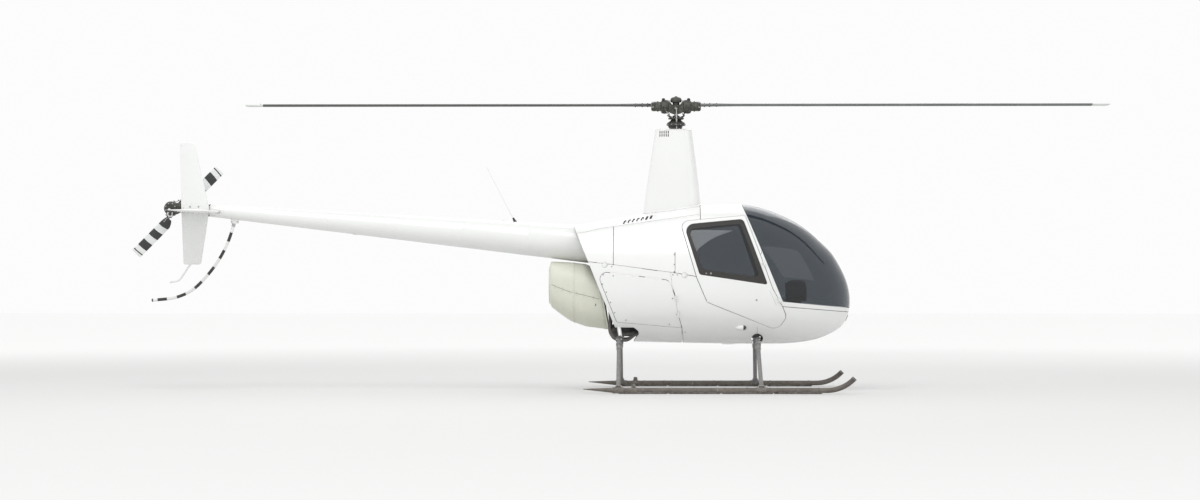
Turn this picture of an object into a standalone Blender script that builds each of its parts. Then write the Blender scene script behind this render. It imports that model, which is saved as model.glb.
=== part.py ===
"""A light two-seat helicopter on skids, parked with its main blades fore and aft.

Metres. X runs forward from the rotor mast, Y to the left and Z up from the ground.
The root empty shifts the finished machine so that its bounding box is centred on the origin.
"""

import math

import bmesh
import bpy
from mathutils import Matrix, Vector

# Clearances
SEAM = 0.0003
DOOR_GAP = 0.009
TUB_DOOR_GAP = 0.010
COWL_DOOR_GAP = 0.014
WELD = 0.000002

# Body shell
WALL = 0.020
GLASS = 0.005
HALF_RING_STEPS = 12

# Body sections: x, roof height, belly height, height of the widest point, half width
SECTIONS = (
    (-0.930, 1.457, 0.440, 1.000, 0.330),
    (-0.740, 1.489, 0.435, 0.975, 0.392),
    (-0.550, 1.521, 0.431, 0.955, 0.444),
    (-0.280, 1.566, 0.427, 0.930, 0.503),
    (0.000, 1.607, 0.420, 0.912, 0.545),
    (0.210, 1.638, 0.416, 0.900, 0.560),
    (0.420, 1.648, 0.413, 0.888, 0.562),
    (0.600, 1.645, 0.411, 0.875, 0.556),
    (0.780, 1.608, 0.411, 0.860, 0.542),
    (0.920, 1.556, 0.412, 0.848, 0.520),
    (1.070, 1.481, 0.422, 0.835, 0.482),
    (1.190, 1.396, 0.440, 0.824, 0.434),
    (1.280, 1.314, 0.464, 0.816, 0.385),
    (1.370, 1.224, 0.503, 0.808, 0.317),
    (1.440, 1.118, 0.546, 0.802, 0.246),
    (1.493, 1.012, 0.603, 0.797, 0.172),
    (1.526, 0.912, 0.680, 0.793, 0.094),
)
NOSE_TIP = (1.541, 0.790)
UPPER_POWER = 2.25
LOWER_POWER = 2.6

# Seen from the side, as (x, z) or (x, z, corner radius): the edges where the panels meet
REAR_EDGE_TOP = (-0.907, 1.456)
REAR_EDGE_FOOT = (-0.538, 0.558)
BELLY_END_X = -0.377
SHOULDER_SEAM = ((-1.000, 1.372), (-0.817, 1.397), (-0.668, 1.432), (0.212, 1.556))
WAIST_SEAM = ((-1.000, 1.165), (-0.745, 1.134), (-0.561, 1.112), (-0.050, 1.043))
SIDE_SEAM = ((-0.011, 1.038), (0.155, 1.011), (0.230, 0.985))
FIREWALL_SEAM = ((-0.037, 0.942), (-0.006, 0.820), (0.015, 0.680), (0.050, 0.558), (0.055, 0.300))
NOSE_SEAM = ((0.880, 0.7483), (1.700, 0.6790))
ROOF_SEAM_X = 0.212
PANE_OUTLINE = (
    (0.577, 1.650),
    (0.931, 0.789),
    (1.529, 0.732),
    (1.700, 0.716),
    (1.700, 1.950),
    (0.500, 1.950),
)
CENTRE_STRIP_HALF = 0.018
DOOR_OUTLINE = (
    (0.033, 1.492, 0.060),
    (0.606, 1.545, 0.025),
    (0.843, 0.898, 0.0),
    (0.931, 0.737, 0.0),
    (0.964, 0.650, 0.060),
    (0.880, 0.536, 0.090),
    (0.268, 0.783, 0.040),
    (0.177, 0.998, 0.0),
)
WINDOW_OUTLINE = (
    (0.067, 1.463, 0.050),
    (0.586, 1.512, 0.030),
    (0.795, 0.938, 0.020),
    (0.205, 1.026, 0.030),
)
ENGINE_DOOR_OUTLINE = (
    (-0.702, 1.056, 0.060),
    (-0.058, 0.975, 0.070),
    (-0.006, 0.820, 0.0),
    (0.015, 0.680, 0.0),
    (0.050, 0.558, 0.012),
    (-0.522, 0.606, 0.020),
)

# The shell is cut away behind this line
REAR_TRIM = (
    (-1.300, 1.950),
    (-1.110, 1.950),
    REAR_EDGE_TOP,
    REAR_EDGE_FOOT,
    (-0.372, 0.558),
    (-0.338, 0.530),
    (-0.330, 0.500),
    (BELLY_END_X, 0.440),
    (BELLY_END_X, 0.200),
    (-1.300, 0.200),
)

# Lines clear of the body, which close the outlines of the panels
ABOVE = 1.950
AHEAD = 1.700
ASTERN = -1.000
UNDER = 0.300
BEAM = 1.000
OFF_CENTRE = 0.020

# Points inside the door opening, where the panels round it meet
INSIDE_DOOR = ((0.60, 0.80), (0.30, 0.90))
INSIDE_ROOF = ((ROOF_SEAM_X, 1.40), (0.55, 1.38), (0.74, 0.90))

# The round notch for each front strut: x, z, radius, then its reach in y
STRUT_NOTCH = (0.710, 0.455, 0.050)
STRUT_NOTCH_Y = (0.12, 0.60)
MAST_HOLE = 0.062

# Slanted vents in each shoulder of the roof: width, height and lean of a slot, rise from one to the next
VENT_X = -0.453
VENT_PITCH = 0.0387
VENT_COUNT = 7
VENT_SIZE = (0.018, 0.026, 0.010)
VENT_HEIGHT = 1.489
VENT_RISE = 0.0073

# Hinge lines of the right-hand doors: foot, head, heights of the two hinges, offsets of the arms to the skin
CABIN_DOOR_AXIS = ((0.9165, -0.5460, 0.7600), (0.7057, -0.5460, 1.2600))
CABIN_HINGES = (0.80, 1.12)
CABIN_KNUCKLE_REACH = (-0.020, 0.044)
CABIN_LUG_REACH = (0.014, 0.044)
ENGINE_DOOR_AXIS = ((0.0300, -0.5160, 0.6000), (-0.0150, -0.5740, 0.9000))
ENGINE_HINGES = (0.68, 0.82)
ENGINE_KNUCKLE_REACH = (-0.020, 0.034)
ENGINE_LUG_REACH = (0.016, 0.034)
KNUCKLE_RADIUS = 0.007
KNUCKLE_LENGTH = 0.022
LUG_LENGTH = 0.012
ARM_SETBACK = 0.001
ARM_HALF = 0.55

# Cabin
INTERIOR_MARGIN = WALL + 0.004
FLOOR_LEVEL = 0.500
FLOOR_THICK = 0.020
FLOOR_X = (0.060, 1.300)
FLOOR_RAIL_X = (0.200, 0.620)
FLOOR_RAIL_Y = (0.090, 0.110)
FLOOR_RAIL_FOOT = 0.428
BULKHEAD_X = (0.030, 0.045)
BULKHEAD_Z = (0.200, 1.900)

# Bench: a hollow box with a leaning shelf behind the backs
SEAT_TOP = 0.700
SEAT_FRONT = 0.640
BENCH_FRONT = 0.610
BENCH_WALL = 0.012
BENCH_ROOM_HALF = 0.300
BENCH_ROOM_FOOT = 0.490
SHELF_TOP = 1.020
SHELF_HALF = 0.460
SHELF_LAP = 0.010
SHELF_GAP = 0.002

# Seat pads: the cushion, and the back that leans on the shelf
SEAT_INNER = 0.035
SEAT_OUTER = 0.480
CUSHION_REAR = 0.275
CUSHION_THICK = 0.090
CUSHION_BEVEL = 0.020
BACK_OUTER = 0.450
BACK_THICK = 0.060
BACK_HEIGHT = 0.560
BACK_BEVEL = 0.018
BACK_LEAN = math.radians(14)
BACK_FOOT = (0.212, 0.716)
BACK_GAP = 0.0005

# Console: low corner, high corner, bevel
CONSOLE = ((0.950, -0.100, FLOOR_LEVEL + SEAM), (1.120, 0.100, 0.810), 0.010)
CONSOLE_POD = ((0.975, -0.170, 0.790), (1.155, 0.170, 0.975), 0.030)

# Control stick between the seats, with a bar across it and a grip hanging at each end
STICK_X = 0.720
STICK_KNEE = 0.860
STICK_HEIGHT = 0.960
STICK_SETBACK = 0.050
STICK_BEND = 0.050
STICK_RADIUS = 0.014
BAR_BEND = 0.030
BAR_RADIUS = 0.011
GRIP_SPAN = 0.300
GRIP_DROP = 0.130
BOOT_HEIGHT = 0.050
BOOT_RADII = (0.045, 0.020)

# Pedals: a bar, four pads and two feet
PEDAL_X = 1.130
PEDAL_BAR_HALF = 0.250
PEDAL_BAR_LEVEL = 0.540
PEDAL_BAR_RADIUS = 0.010
PEDAL_PAD_Y = (-0.225, -0.135, 0.135, 0.225)
PEDAL_PAD_X = (-0.008, 0.016)
PEDAL_PAD_Z = (0.530, 0.640)
PEDAL_PAD_HALF = 0.028
PEDAL_FOOT_Y = (-0.180, 0.180)
PEDAL_FOOT_HALF = (0.020, 0.010)
PEDAL_FOOT_TOP = 0.560

# Engine: a block with four cylinders, a nose, and the shaft of the fan on a riser
ENGINE_X = (-0.600, -0.180)
ENGINE_HALF = 0.140
ENGINE_Z = (0.580, 0.860)
ENGINE_BEVEL = 0.025
CYLINDER_X = (-0.490, -0.290)
CYLINDER_LEVEL = 0.720
CYLINDER_REACH = 0.270
CYLINDER_RADIUS = 0.070
NOSE_X = (-0.580, -0.690)
NOSE_LEVEL = 0.800
NOSE_RADIUS = 0.060
RISER = ((-0.672, 0, 0.780), (-0.672, 0, 0.960))
RISER_RADIUS = 0.018
SHAFT_X = -0.668
SHAFT_RADIUS = 0.016
ENGINE_FOOT_X = (-0.330, -0.270)
ENGINE_FOOT_Y = (0.100, 0.275)
ENGINE_FOOT_Z = (0.525, 0.630)

# Fan shroud
SCROLL_SECTIONS = (
    # x, foot, head, half width
    (-1.116, 0.760, 1.130, 0.185),
    (-1.104, 0.735, 1.140, 0.200),
    (-1.028, 0.676, 1.137, 0.240),
    (-0.937, 0.613, 1.132, 0.280),
    (-0.800, 0.564, 1.118, 0.310),
    (-0.680, 0.538, 1.060, 0.320),
)
SCROLL_WALL = 0.010
SCROLL_LEAN = 0.165
SCROLL_STEPS = 20
SCROLL_POWER = 0.8
INLET_HEIGHT = 0.930
INLET_RADIUS = 0.150
INLET_X = (-1.300, -1.000)
INLET_LIP = ((0.146, -0.011), (0.163, -0.011), (0.168, -0.004), (0.168, 0.004), (0.146, 0.004))
SCROLL_ARM_END = (-0.715, 0.311)
SCROLL_ARM_LEVEL = 0.760
SCROLL_ARM_RADIUS = 0.012
SCROLL_PAD_Y = 0.112
SCROLL_PAD_THICK = 0.012
SCROLL_PAD_HALF = 0.022

# Cooling fan
FAN_X = (-1.080, -1.000)
FAN_HUB_RADIUS = 0.045
FAN_NOSE_REACH = (0.020, 0.010)
FAN_NOSE_RADII = (0.020, 0.040)
FAN_BLADES = 9
FAN_BLADE_TIP = 0.135
FAN_BLADE_LAP = 0.012
FAN_BLADE_HALF = (0.004, 0.028)
FAN_PITCH = math.radians(55)

# Gearbox under the mast
GEARBOX = ((-0.210, -0.120, 1.180), (0.026, 0.120, 1.400))
GEARBOX_BEVEL = 0.020
GEARBOX_NECK_FOOT = 1.380
GEARBOX_NECK = 1.500
GEARBOX_NECK_RADIUS = 0.026

# Steel tubes that carry the engine, the gearbox and the boom
FRAME_RADIUS = 0.014
FRAME_TUBES = (
    # right-hand tubes: from, to
    ((-0.500, -0.300, 0.500), (-0.560, -0.315, 0.900)),
    ((-0.560, -0.315, 0.900), (-0.690, -0.130, 1.300)),
    ((-0.500, -0.300, 0.500), (-0.060, -0.200, 0.550)),
    ((-0.690, -0.130, 1.300), (-0.090, -0.190, 1.430)),
    ((-0.560, -0.315, 0.900), (-0.060, -0.380, 0.980)),
)
ENGINE_RAIL = FRAME_TUBES[2]
FRAME_CROSS = (
    # x, half width, level
    (-0.500, 0.300, 0.500),
    (-0.060, 0.200, 0.550),
)
RING_RADIUS = 0.168
RING_THICK = 0.022
FRAME_SEAT_X = (-0.130, -0.050)
FRAME_SEAT_Y = (0.165, 0.215)
FRAME_SEAT_Z = (1.400, 1.450)
FRAME_ARM = ((-0.090, 0.1205, 1.380), (-0.090, 0.190, 1.420))
FRAME_ARM_RADIUS = 0.012

# Exhaust
EXHAUST_RADIUS = 0.025
EXHAUST_BEND = 0.050
EXHAUST_PATH = (
    (-0.490, 0.240, 0.6497),
    (-0.490, 0.240, 0.590),
    (-0.430, 0.240, 0.530),
)

# Mast fairing
FAIRING_SECTIONS = (
    # height, front, rear, half width
    (1.430, 0.238, -0.300, 0.118),
    (1.700, 0.214, -0.274, 0.106),
    (2.318, 0.138, -0.182, 0.066),
)
FAIRING_PINCH = 0.25
FAIRING_WALL = 0.010
FAIRING_ROOM_Z = (1.400, 1.700, 2.400)
FAIRING_STEPS = 20
FAIRING_TOP = ((-0.150, -0.062, 2.310), (0.128, 0.062, 2.318))
FAIRING_HOLE = 0.034
FAIRING_HOLE_Z = (2.200, 2.500)

# Mast and swashplates, as (radius, height)
MAST_RADIUS = 0.022
MAST_TOP = 2.470
SWASHPLATE_LOWER = (
    (0.034, 2.3183),
    (0.052, 2.3183),
    (0.052, 2.3430),
    (0.083, 2.3430),
    (0.083, 2.3680),
    (0.034, 2.3680),
)
SWASHPLATE_UPPER = (
    (MAST_RADIUS + SEAM, 2.3683),
    (0.076, 2.3683),
    (0.043, 2.3980),
    (0.043, 2.4040),
    (0.070, 2.4040),
    (0.070, 2.4180),
    (MAST_RADIUS + SEAM, 2.4180),
)
LINK = ((0.052, 0.030, 2.414), (0.100, 0.075, 2.500))
LINK_RADIUS = 0.006
LINK_BALL_LEVEL = 2.502
LINK_BALL_RADIUS = 0.011

# Rotor hub
HUB_OUTLINE = (
    (-0.120, 2.560),
    (-0.120, 2.490),
    (-0.050, 2.4703),
    (0.050, 2.4703),
    (0.120, 2.490),
    (0.120, 2.560),
    (0.056, 2.581),
    (0.048, 2.609),
    (-0.048, 2.609),
    (-0.056, 2.581),
)
HUB_HALF = 0.045
SOCKET_X = (0.105, 0.2222)
SOCKET_LEVEL = 2.519
SOCKET_RADIUS = 0.044
GRIP_PLATE_X = (0.190, 0.2222)
GRIP_PLATE_HALF = 0.085
GRIP_PLATE_Z = (2.520, 2.542)
HORN_X = (0.088, 0.112)
HORN_REACH = 0.062
HORN_Z = (2.513, 2.527)
KNOB = (-0.112, 0, 2.590)
KNOB_RADIUS = 0.014
KNOB_STEM_FOOT = 2.550
KNOB_STEM_RADIUS = 0.008

# Main blades
ROTOR_RADIUS = 3.835
BLADE_ROOT = 0.2225
BLADE_CHORD = 0.183
BLADE_THICK = 0.023
BLADE_LEVEL = 2.531
BLADE_TIP_LENGTH = 0.030
BLADE_TIP_SCALE = 0.8

# A symmetric aerofoil, as (share of the chord, share of half the thickness)
AEROFOIL = ((1.00, 0.12), (0.70, 0.60), (0.40, 0.95), (0.20, 1.00), (0.06, 0.70), (0.00, 0.0))
AEROFOIL_LEAD = 0.25

# Tail boom: x, z and radius of each end
BOOM_START = (-0.7123, 1.2870, 0.1660)
BOOM_END = (-4.1510, 1.5960, 0.0556)
BOOM_WALL = 0.008
BOOM_ROOM_LAPS = (0.050, 0.040)
BOOM_ROOM_FLARE = 0.0016

# Tail gearbox: the long housing in line with the boom, then the case across it
TAIL_ARM_LENGTH = 0.345
TAIL_ARM_RADII = (0.052, 0.044)
TAIL_CASE_Y = (-0.050, 0.150)
TAIL_CASE_RADII = (0.062, 0.045)

# Fins
FIN_Y = (-0.092, -0.068)
FIN_OUTLINE = (
    (-4.413, 2.200, 0.012),
    (-4.282, 2.200, 0.020),
    (-4.145, 1.610, 0.0),
    (-4.223, 1.114, 0.015),
    (-4.376, 1.114, 0.015),
    (-4.398, 1.610, 0.0),
)
FIN_MOUNT = ((-4.330, -0.070, 1.580), (-4.230, -0.035, 1.640))
TAIL_SKID_PATH = ((-4.300, 1.116), (-4.415, 0.967), (-4.490, 0.958))
TAIL_SKID_Y = -0.080
TAIL_SKID_BEND = 0.050
TAIL_SKID_RADIUS = 0.009
STABILISER_ROOT = (-4.493, -4.050, 1.590)
STABILISER_SPAN = 0.550
STABILISER_THICK = 0.030
STABILISER_TIP_SCALE = 0.86
STABILISER_DROP = math.radians(1.5)

# Bow guard under the tail
GUARD_PATH = (
    (-3.931, 1.487),
    (-3.997, 1.287),
    (-4.120, 1.076),
    (-4.298, 0.887),
    (-4.453, 0.815),
    (-4.670, 0.796),
)
GUARD_BEND = 0.300
GUARD_RADIUS = 0.014
SADDLE_HALF = (0.035, 0.022)
SADDLE_Z = (-0.012, 0.040)

# Antenna on the boom: foot and tip as (x, z), radii; its boot by its offsets from the foot
ANTENNA = ((-1.436, 1.498), (-1.684, 1.980))
ANTENNA_RADII = (0.006, 0.003)
ANTENNA_BOOT = ((0.004, -0.004), (-0.020, 0.040))
ANTENNA_BOOT_RADII = (0.014, 0.008)

# Tail rotor
TAIL_HUB = (-4.500, 0.220, 1.615)
TAIL_REST = math.radians(45)
TAIL_SHAFT_Y = (0.1503, 0.245)
TAIL_SHAFT_RADIUS = 0.022
TAIL_DISC_Y = (0.165, 0.178)
TAIL_DISC_RADIUS = 0.055
TAIL_BAR_HALF = Vector((0.100, 0.016, 0.024))
TAIL_BAR_BEVEL = 0.006
TAIL_ROOT = 0.1003
TAIL_RADIUS = 0.533
TAIL_CHORD = 0.100
TAIL_THICK = 0.012
TAIL_OFFSET = -0.012

# Landing gear
SKID_Y = 0.965
SKID_RADIUS = 0.0225
SKID_LEVEL = 0.0305
SKID_REAR = (-0.800, 0.040)
SKID_LEVEL_X = -0.560
SKID_BEND_X = 1.290
SKID_BEND_RADIUS = 0.320
SKID_BEND = math.radians(48)
SKID_BEND_STEPS = 6
SHOE_X = (-0.500, 1.250)
SHOE_HALF = 0.014
SHOE_TOP = 0.0185
EAR_X = (-0.390, -0.350)
EAR_Y = 0.010
EAR_HALF = 0.003
EAR_TOP = 0.085
GEAR_LEGS = (
    # name, x at the elbow, x at the foot, height of the cross tube, y of the elbow
    ("rear_cross_tube", -0.500, -0.500, 0.462, 0.430),
    ("front_cross_tube", 0.710, 0.730, 0.462, 0.430),
)
STRUT_RADIUS = 0.0185
STRUT_BEND = 0.090
FLARE_RISE = 0.006
FLARE_LENGTH = 0.070
FLARE_RADIUS = 0.031
COLLAR_BELOW = (0.090, 0.060)
COLLAR_RADIUS = 0.026
SADDLE_BORE_HALF = 0.200

# Lamps
NOSE_LIGHT = ((1.460, 0, 0.640), (1.540, 0, 0.640))
NOSE_LIGHT_RADII = (0.045, 0.040)
NAV_LIGHT = (0.560, 0.470, 0.560)
NAV_LIGHT_RADIUS = 0.030
NAV_LIGHT_STRETCH = (1.8, 1.0, 1.0)

CREASE_ANGLE = math.radians(35)

COLOURS = {
    # name: red, green, blue, roughness, metallic
    "white_paint": (0.86, 0.87, 0.86, 0.30, 0.0),
    "cream_paint": (0.72, 0.73, 0.66, 0.45, 0.0),
    "black_paint": (0.03, 0.03, 0.03, 0.40, 0.0),
    "tinted_glass": (0.04, 0.05, 0.06, 0.05, 0.0),
    "grey_metal": (0.20, 0.20, 0.21, 0.45, 0.6),
    "bare_steel": (0.45, 0.45, 0.44, 0.35, 1.0),
    "olive_metal": (0.07, 0.07, 0.06, 0.50, 0.4),
    "blade_grey": (0.07, 0.075, 0.08, 0.50, 0.0),
    "skid_brown": (0.06, 0.05, 0.05, 0.55, 0.2),
    "dark_leather": (0.03, 0.03, 0.035, 0.60, 0.0),
    "carpet": (0.05, 0.05, 0.05, 0.90, 0.0),
    "lamp": (0.60, 0.60, 0.62, 0.10, 0.0),
    "cast_metal": (0.25, 0.25, 0.25, 0.60, 0.6),
}

# Finish of each node
FINISH = {
    "white_paint": (
        "roof_cowl", "right_upper_panel", "left_upper_panel", "cabin_frame", "cabin_tub", "rear_lower_cowl",
        "right_door", "left_door", "right_engine_door", "left_engine_door", "mast_fairing", "tail_boom",
        "vertical_fin", "horizontal_stabiliser", "antenna", "tail_guard",
    ),
    "cream_paint": ("fan_shroud",),
    "tinted_glass": ("right_windshield", "left_windshield", "right_door_glass", "left_door_glass"),
    "carpet": ("cabin_floor", "rear_bulkhead"),
    "black_paint": ("seat_bench", "instrument_console", "rear_frame", "pedals", "swashplate_lower"),
    "dark_leather": ("right_seat_cushion", "right_seat_back", "left_seat_cushion", "left_seat_back"),
    "bare_steel": ("cyclic_stick", "mast", "exhaust_pipe"),
    "cast_metal": ("engine_block", "main_gearbox", "fan_wheel"),
    "olive_metal": ("swashplate_upper", "rotor_hub", "tail_gearbox", "tail_rotor_hub"),
    "blade_grey": ("main_blade_front", "main_blade_rear", "tail_blade_upper", "tail_blade_lower"),
    "skid_brown": ("right_skid", "left_skid"),
    "grey_metal": ("front_cross_tube", "rear_cross_tube"),
    "lamp": ("nose_light", "right_nav_light", "left_nav_light"),
}


for old in list(bpy.data.objects):
    bpy.data.objects.remove(old, do_unlink=True)
PARTS = bpy.data.collections.new("helicopter")
bpy.context.scene.collection.children.link(PARTS)


def add_object(name, data):
    """An object for this data, in the collection of parts."""
    obj = bpy.data.objects.new(name, data)
    PARTS.objects.link(obj)
    return obj


def vectors(points):
    """The points as vectors."""
    return [Vector(point) for point in points]


def drop(obj):
    """Removes a helper object."""
    bpy.data.objects.remove(obj, do_unlink=True)


def close_slits(work):
    """Closes the hair-thin holes that a Boolean leaves where three points lie almost in line."""
    slits = {edge for edge in work.edges if edge.is_boundary}
    while slits:
        edge = slits.pop()
        loop = edge.link_loops[0]
        rim = [loop.link_loop_next.vert, loop.vert]
        while rim[-1] is not rim[0]:
            onward = next(iter(slits.intersection(rim[-1].link_edges)))
            slits.discard(onward)
            rim.append(onward.other_vert(rim[-1]))
        work.faces.new(rim[:-1])


def bake(obj):
    """Turns an object, with its modifiers or as a curve, into a plain mesh object of the same name."""
    graph = bpy.context.evaluated_depsgraph_get()
    graph.update()
    mesh = bpy.data.meshes.new_from_object(obj.evaluated_get(graph))
    mesh.transform(obj.matrix_world)
    name = obj.name
    work = bmesh.new()
    work.from_mesh(mesh)
    bmesh.ops.remove_doubles(work, verts=work.verts, dist=WELD)
    close_slits(work)
    work.to_mesh(mesh)
    work.free()
    drop(obj)
    return add_object(name, mesh)


def combine(target, tool, operation):
    """The Boolean of two mesh objects, which uses the second one up."""
    name = target.name
    modifier = target.modifiers.new(operation, "BOOLEAN")
    modifier.operation = operation
    modifier.object = tool
    modifier.solver = "EXACT"
    made = bake(target)
    made.name = name
    drop(tool)
    return made


def cut(target, *tools):
    """The target without the tools."""
    for tool in tools:
        target = combine(target, tool, "DIFFERENCE")
    return target


def join(target, *tools):
    """The union of the target and the tools, under the target's name."""
    for tool in tools:
        target = combine(target, tool, "UNION")
    return target


def keep(target, tool):
    """The part of the target that lies inside the tool."""
    return combine(target, tool, "INTERSECT")


def copy_of(obj, name):
    """A mesh object with its own copy of the mesh."""
    return add_object(name, obj.data.copy())


def mirrored(obj, name):
    """The left-hand twin of a right-hand piece."""
    twin = copy_of(obj, name)
    twin.data.transform(Matrix.Scale(-1, 4, (0, 1, 0)))
    twin.data.flip_normals()
    return twin


def from_bmesh(name, work):
    """A mesh object from this bmesh, which it frees."""
    mesh = bpy.data.meshes.new(name)
    work.to_mesh(mesh)
    work.free()
    return add_object(name, mesh)


def box(name, low, high, bevel=0.0):
    """A box between two corners, its edges rounded by the bevel."""
    low = Vector(low)
    high = Vector(high)
    work = bmesh.new()
    bmesh.ops.create_cube(work, size=1.0)
    size = Matrix.Diagonal((*(high - low), 1.0))
    bmesh.ops.transform(work, matrix=Matrix.Translation((low + high) / 2) @ size, verts=work.verts)
    if bevel:
        bmesh.ops.bevel(work, geom=work.edges, offset=bevel, segments=2, affect="EDGES")
    return from_bmesh(name, work)


def rod(name, start, end, radius, end_radius=None, sides=12):
    """A straight bar or cone from one point to another."""
    start = Vector(start)
    end = Vector(end)
    along = end - start
    work = bmesh.new()
    bmesh.ops.create_cone(
        work,
        cap_ends=True,
        segments=sides,
        radius1=radius,
        radius2=radius if end_radius is None else end_radius,
        depth=along.length,
    )
    turn = Vector((0, 0, 1)).rotation_difference(along).to_matrix().to_4x4()
    bmesh.ops.transform(work, matrix=Matrix.Translation((start + end) / 2) @ turn, verts=work.verts)
    return from_bmesh(name, work)


def ball(name, centre, radius, stretch=(1, 1, 1), steps=10):
    """A sphere, or an ellipsoid when it is stretched."""
    work = bmesh.new()
    bmesh.ops.create_uvsphere(work, u_segments=steps + 2, v_segments=steps - 2, radius=radius)
    shape = Matrix.Translation(centre) @ Matrix.Diagonal((*stretch, 1.0))
    bmesh.ops.transform(work, matrix=shape, verts=work.verts)
    return from_bmesh(name, work)


def bent_path(corners, radius, steps=4):
    """The points of a route in space whose corners are rounded to one radius."""
    points = vectors(corners)
    route = [points[0]]
    for before, corner, after in zip(points, points[1:], points[2:]):
        back = (before - corner).normalized()
        on = (after - corner).normalized()
        half = back.angle(on) / 2
        reach = min(radius / math.tan(half), (before - corner).length / 2, (after - corner).length / 2)
        centre = corner + (back + on).normalized() * (reach / math.cos(half))
        first = corner + back * reach - centre
        last = corner + on * reach - centre
        for step in range(steps + 1):
            share = step / steps
            route.append(centre + first.slerp(last, share) * first.length)
    route.append(points[-1])
    return route


def tube(name, points, radius, resolution=2):
    """A round bar along a route: a curve with a bevel and filled caps, made into a mesh."""
    curve = bpy.data.curves.new(name, "CURVE")
    curve.dimensions = "3D"
    curve.bevel_depth = radius
    curve.bevel_resolution = resolution
    curve.use_fill_caps = True
    spline = curve.splines.new("POLY")
    spline.points.add(len(points) - 1)
    for target, place in zip(spline.points, points):
        target.co = (*place, 1.0)
    return bake(add_object(name, curve))


def rounded(outline, steps=4):
    """The points of a flat outline whose corners are (x, z) or (x, z, radius)."""
    points = []
    count = len(outline)
    for index, entry in enumerate(outline):
        corner = Vector(entry[:2])
        radius = entry[2] if len(entry) > 2 else 0.0
        if not radius:
            points.append(corner)
            continue
        back = (Vector(outline[index - 1][:2]) - corner).normalized()
        on = (Vector(outline[(index + 1) % count][:2]) - corner).normalized()
        half = back.angle(on) / 2
        reach = radius / math.tan(half)
        centre = corner + (back + on).normalized() * (radius / math.sin(half))
        first = corner + back * reach - centre
        sweep = first.angle_signed(corner + on * reach - centre)
        for step in range(steps + 1):
            turn = Matrix.Rotation(-sweep * step / steps, 2)
            points.append(centre + turn @ first)
    return points


def inset(points, distance):
    """The outline moved inwards by this distance, or outwards when it is negative."""
    area = sum(a.x * b.y - b.x * a.y for a, b in zip(points, points[1:] + points[:1]))
    side = distance if area > 0 else -distance
    moved = []
    for index, corner in enumerate(points):
        back = (corner - points[index - 1]).normalized()
        on = (points[(index + 1) % len(points)] - corner).normalized()
        normal_back = Vector((-back.y, back.x))
        normal_on = Vector((-on.y, on.x))
        mitre = (normal_back + normal_on).normalized()
        moved.append(corner + mitre * (side / max(mitre.dot(normal_back), 0.3)))
    return moved


def prism(name, points, near, far):
    """A flat outline in x and z, drawn as a filled curve and thickened from near to far in y."""
    curve = bpy.data.curves.new(name, "CURVE")
    curve.dimensions = "2D"
    curve.fill_mode = "BOTH"
    curve.extrude = abs(far - near) / 2
    spline = curve.splines.new("POLY")
    spline.points.add(len(points) - 1)
    for target, place in zip(spline.points, points):
        target.co = (place[0], place[1], 0.0, 1.0)
    spline.use_cyclic_u = True
    obj = add_object(name, curve)
    obj.matrix_world = Matrix.Translation((0, (near + far) / 2, 0)) @ Matrix.Rotation(math.pi / 2, 4, "X")
    bpy.context.view_layer.update()
    return bake(obj)


def turned(name, profile, centre, axis="X", steps=24):
    """A profile of (radius, distance along the axis) turned round that axis with a Screw."""
    mesh = bpy.data.meshes.new(name)
    edges = [(i, (i + 1) % len(profile)) for i in range(len(profile))]
    mesh.from_pydata([(radius, 0, along) for radius, along in profile], edges, [])
    obj = add_object(name, mesh)
    screw = obj.modifiers.new("Turn", "SCREW")
    screw.steps = steps
    screw.render_steps = steps
    screw.use_merge_vertices = True
    screw.merge_threshold = 0.00002
    screw.use_normal_calculate = True
    turn = {"X": Matrix.Rotation(math.pi / 2, 4, "Y"), "Y": Matrix.Rotation(-math.pi / 2, 4, "X")}
    obj.matrix_world = Matrix.Translation(centre) @ turn.get(axis, Matrix.Identity(4))
    bpy.context.view_layer.update()
    made = bake(obj)
    work = bmesh.new()
    work.from_mesh(made.data)
    bmesh.ops.recalc_face_normals(work, faces=work.faces)
    work.to_mesh(made.data)
    work.free()
    return made


def loft(name, rings, capped=True, pole=None):
    """A skin through rings of equal length, each a closed loop of points."""
    work = bmesh.new()
    loops = [[work.verts.new(point) for point in ring] for ring in rings]
    for near, far in zip(loops, loops[1:]):
        for index, vert in enumerate(near):
            after = (index + 1) % len(near)
            work.faces.new((vert, near[after], far[after], far[index]))
    if capped:
        work.faces.new(loops[0])
    if pole is not None:
        tip = work.verts.new(pole)
        for index, vert in enumerate(loops[-1]):
            work.faces.new((vert, loops[-1][(index + 1) % len(loops[-1])], tip))
    elif capped:
        work.faces.new(loops[-1])
    bmesh.ops.recalc_face_normals(work, faces=work.faces)
    return from_bmesh(name, work)


def section_ring(x, top, belly, waist, half, margin=0.0):
    """The loop of one body section, from the belly up the left side and down the right."""
    points = []
    for step in range(2 * HALF_RING_STEPS):
        angle = -math.pi / 2 + math.pi * step / HALF_RING_STEPS
        across = math.cos(angle)
        up = math.sin(angle)
        rise = (top - margin - waist) if up > 0 else (waist - belly - margin)
        power = UPPER_POWER if up > 0 else LOWER_POWER
        y = (half - margin) * math.copysign(abs(across) ** (2 / power), across)
        z = waist + rise * math.copysign(abs(up) ** (2 / power), up)
        points.append((x, y, z))
    return points


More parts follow.
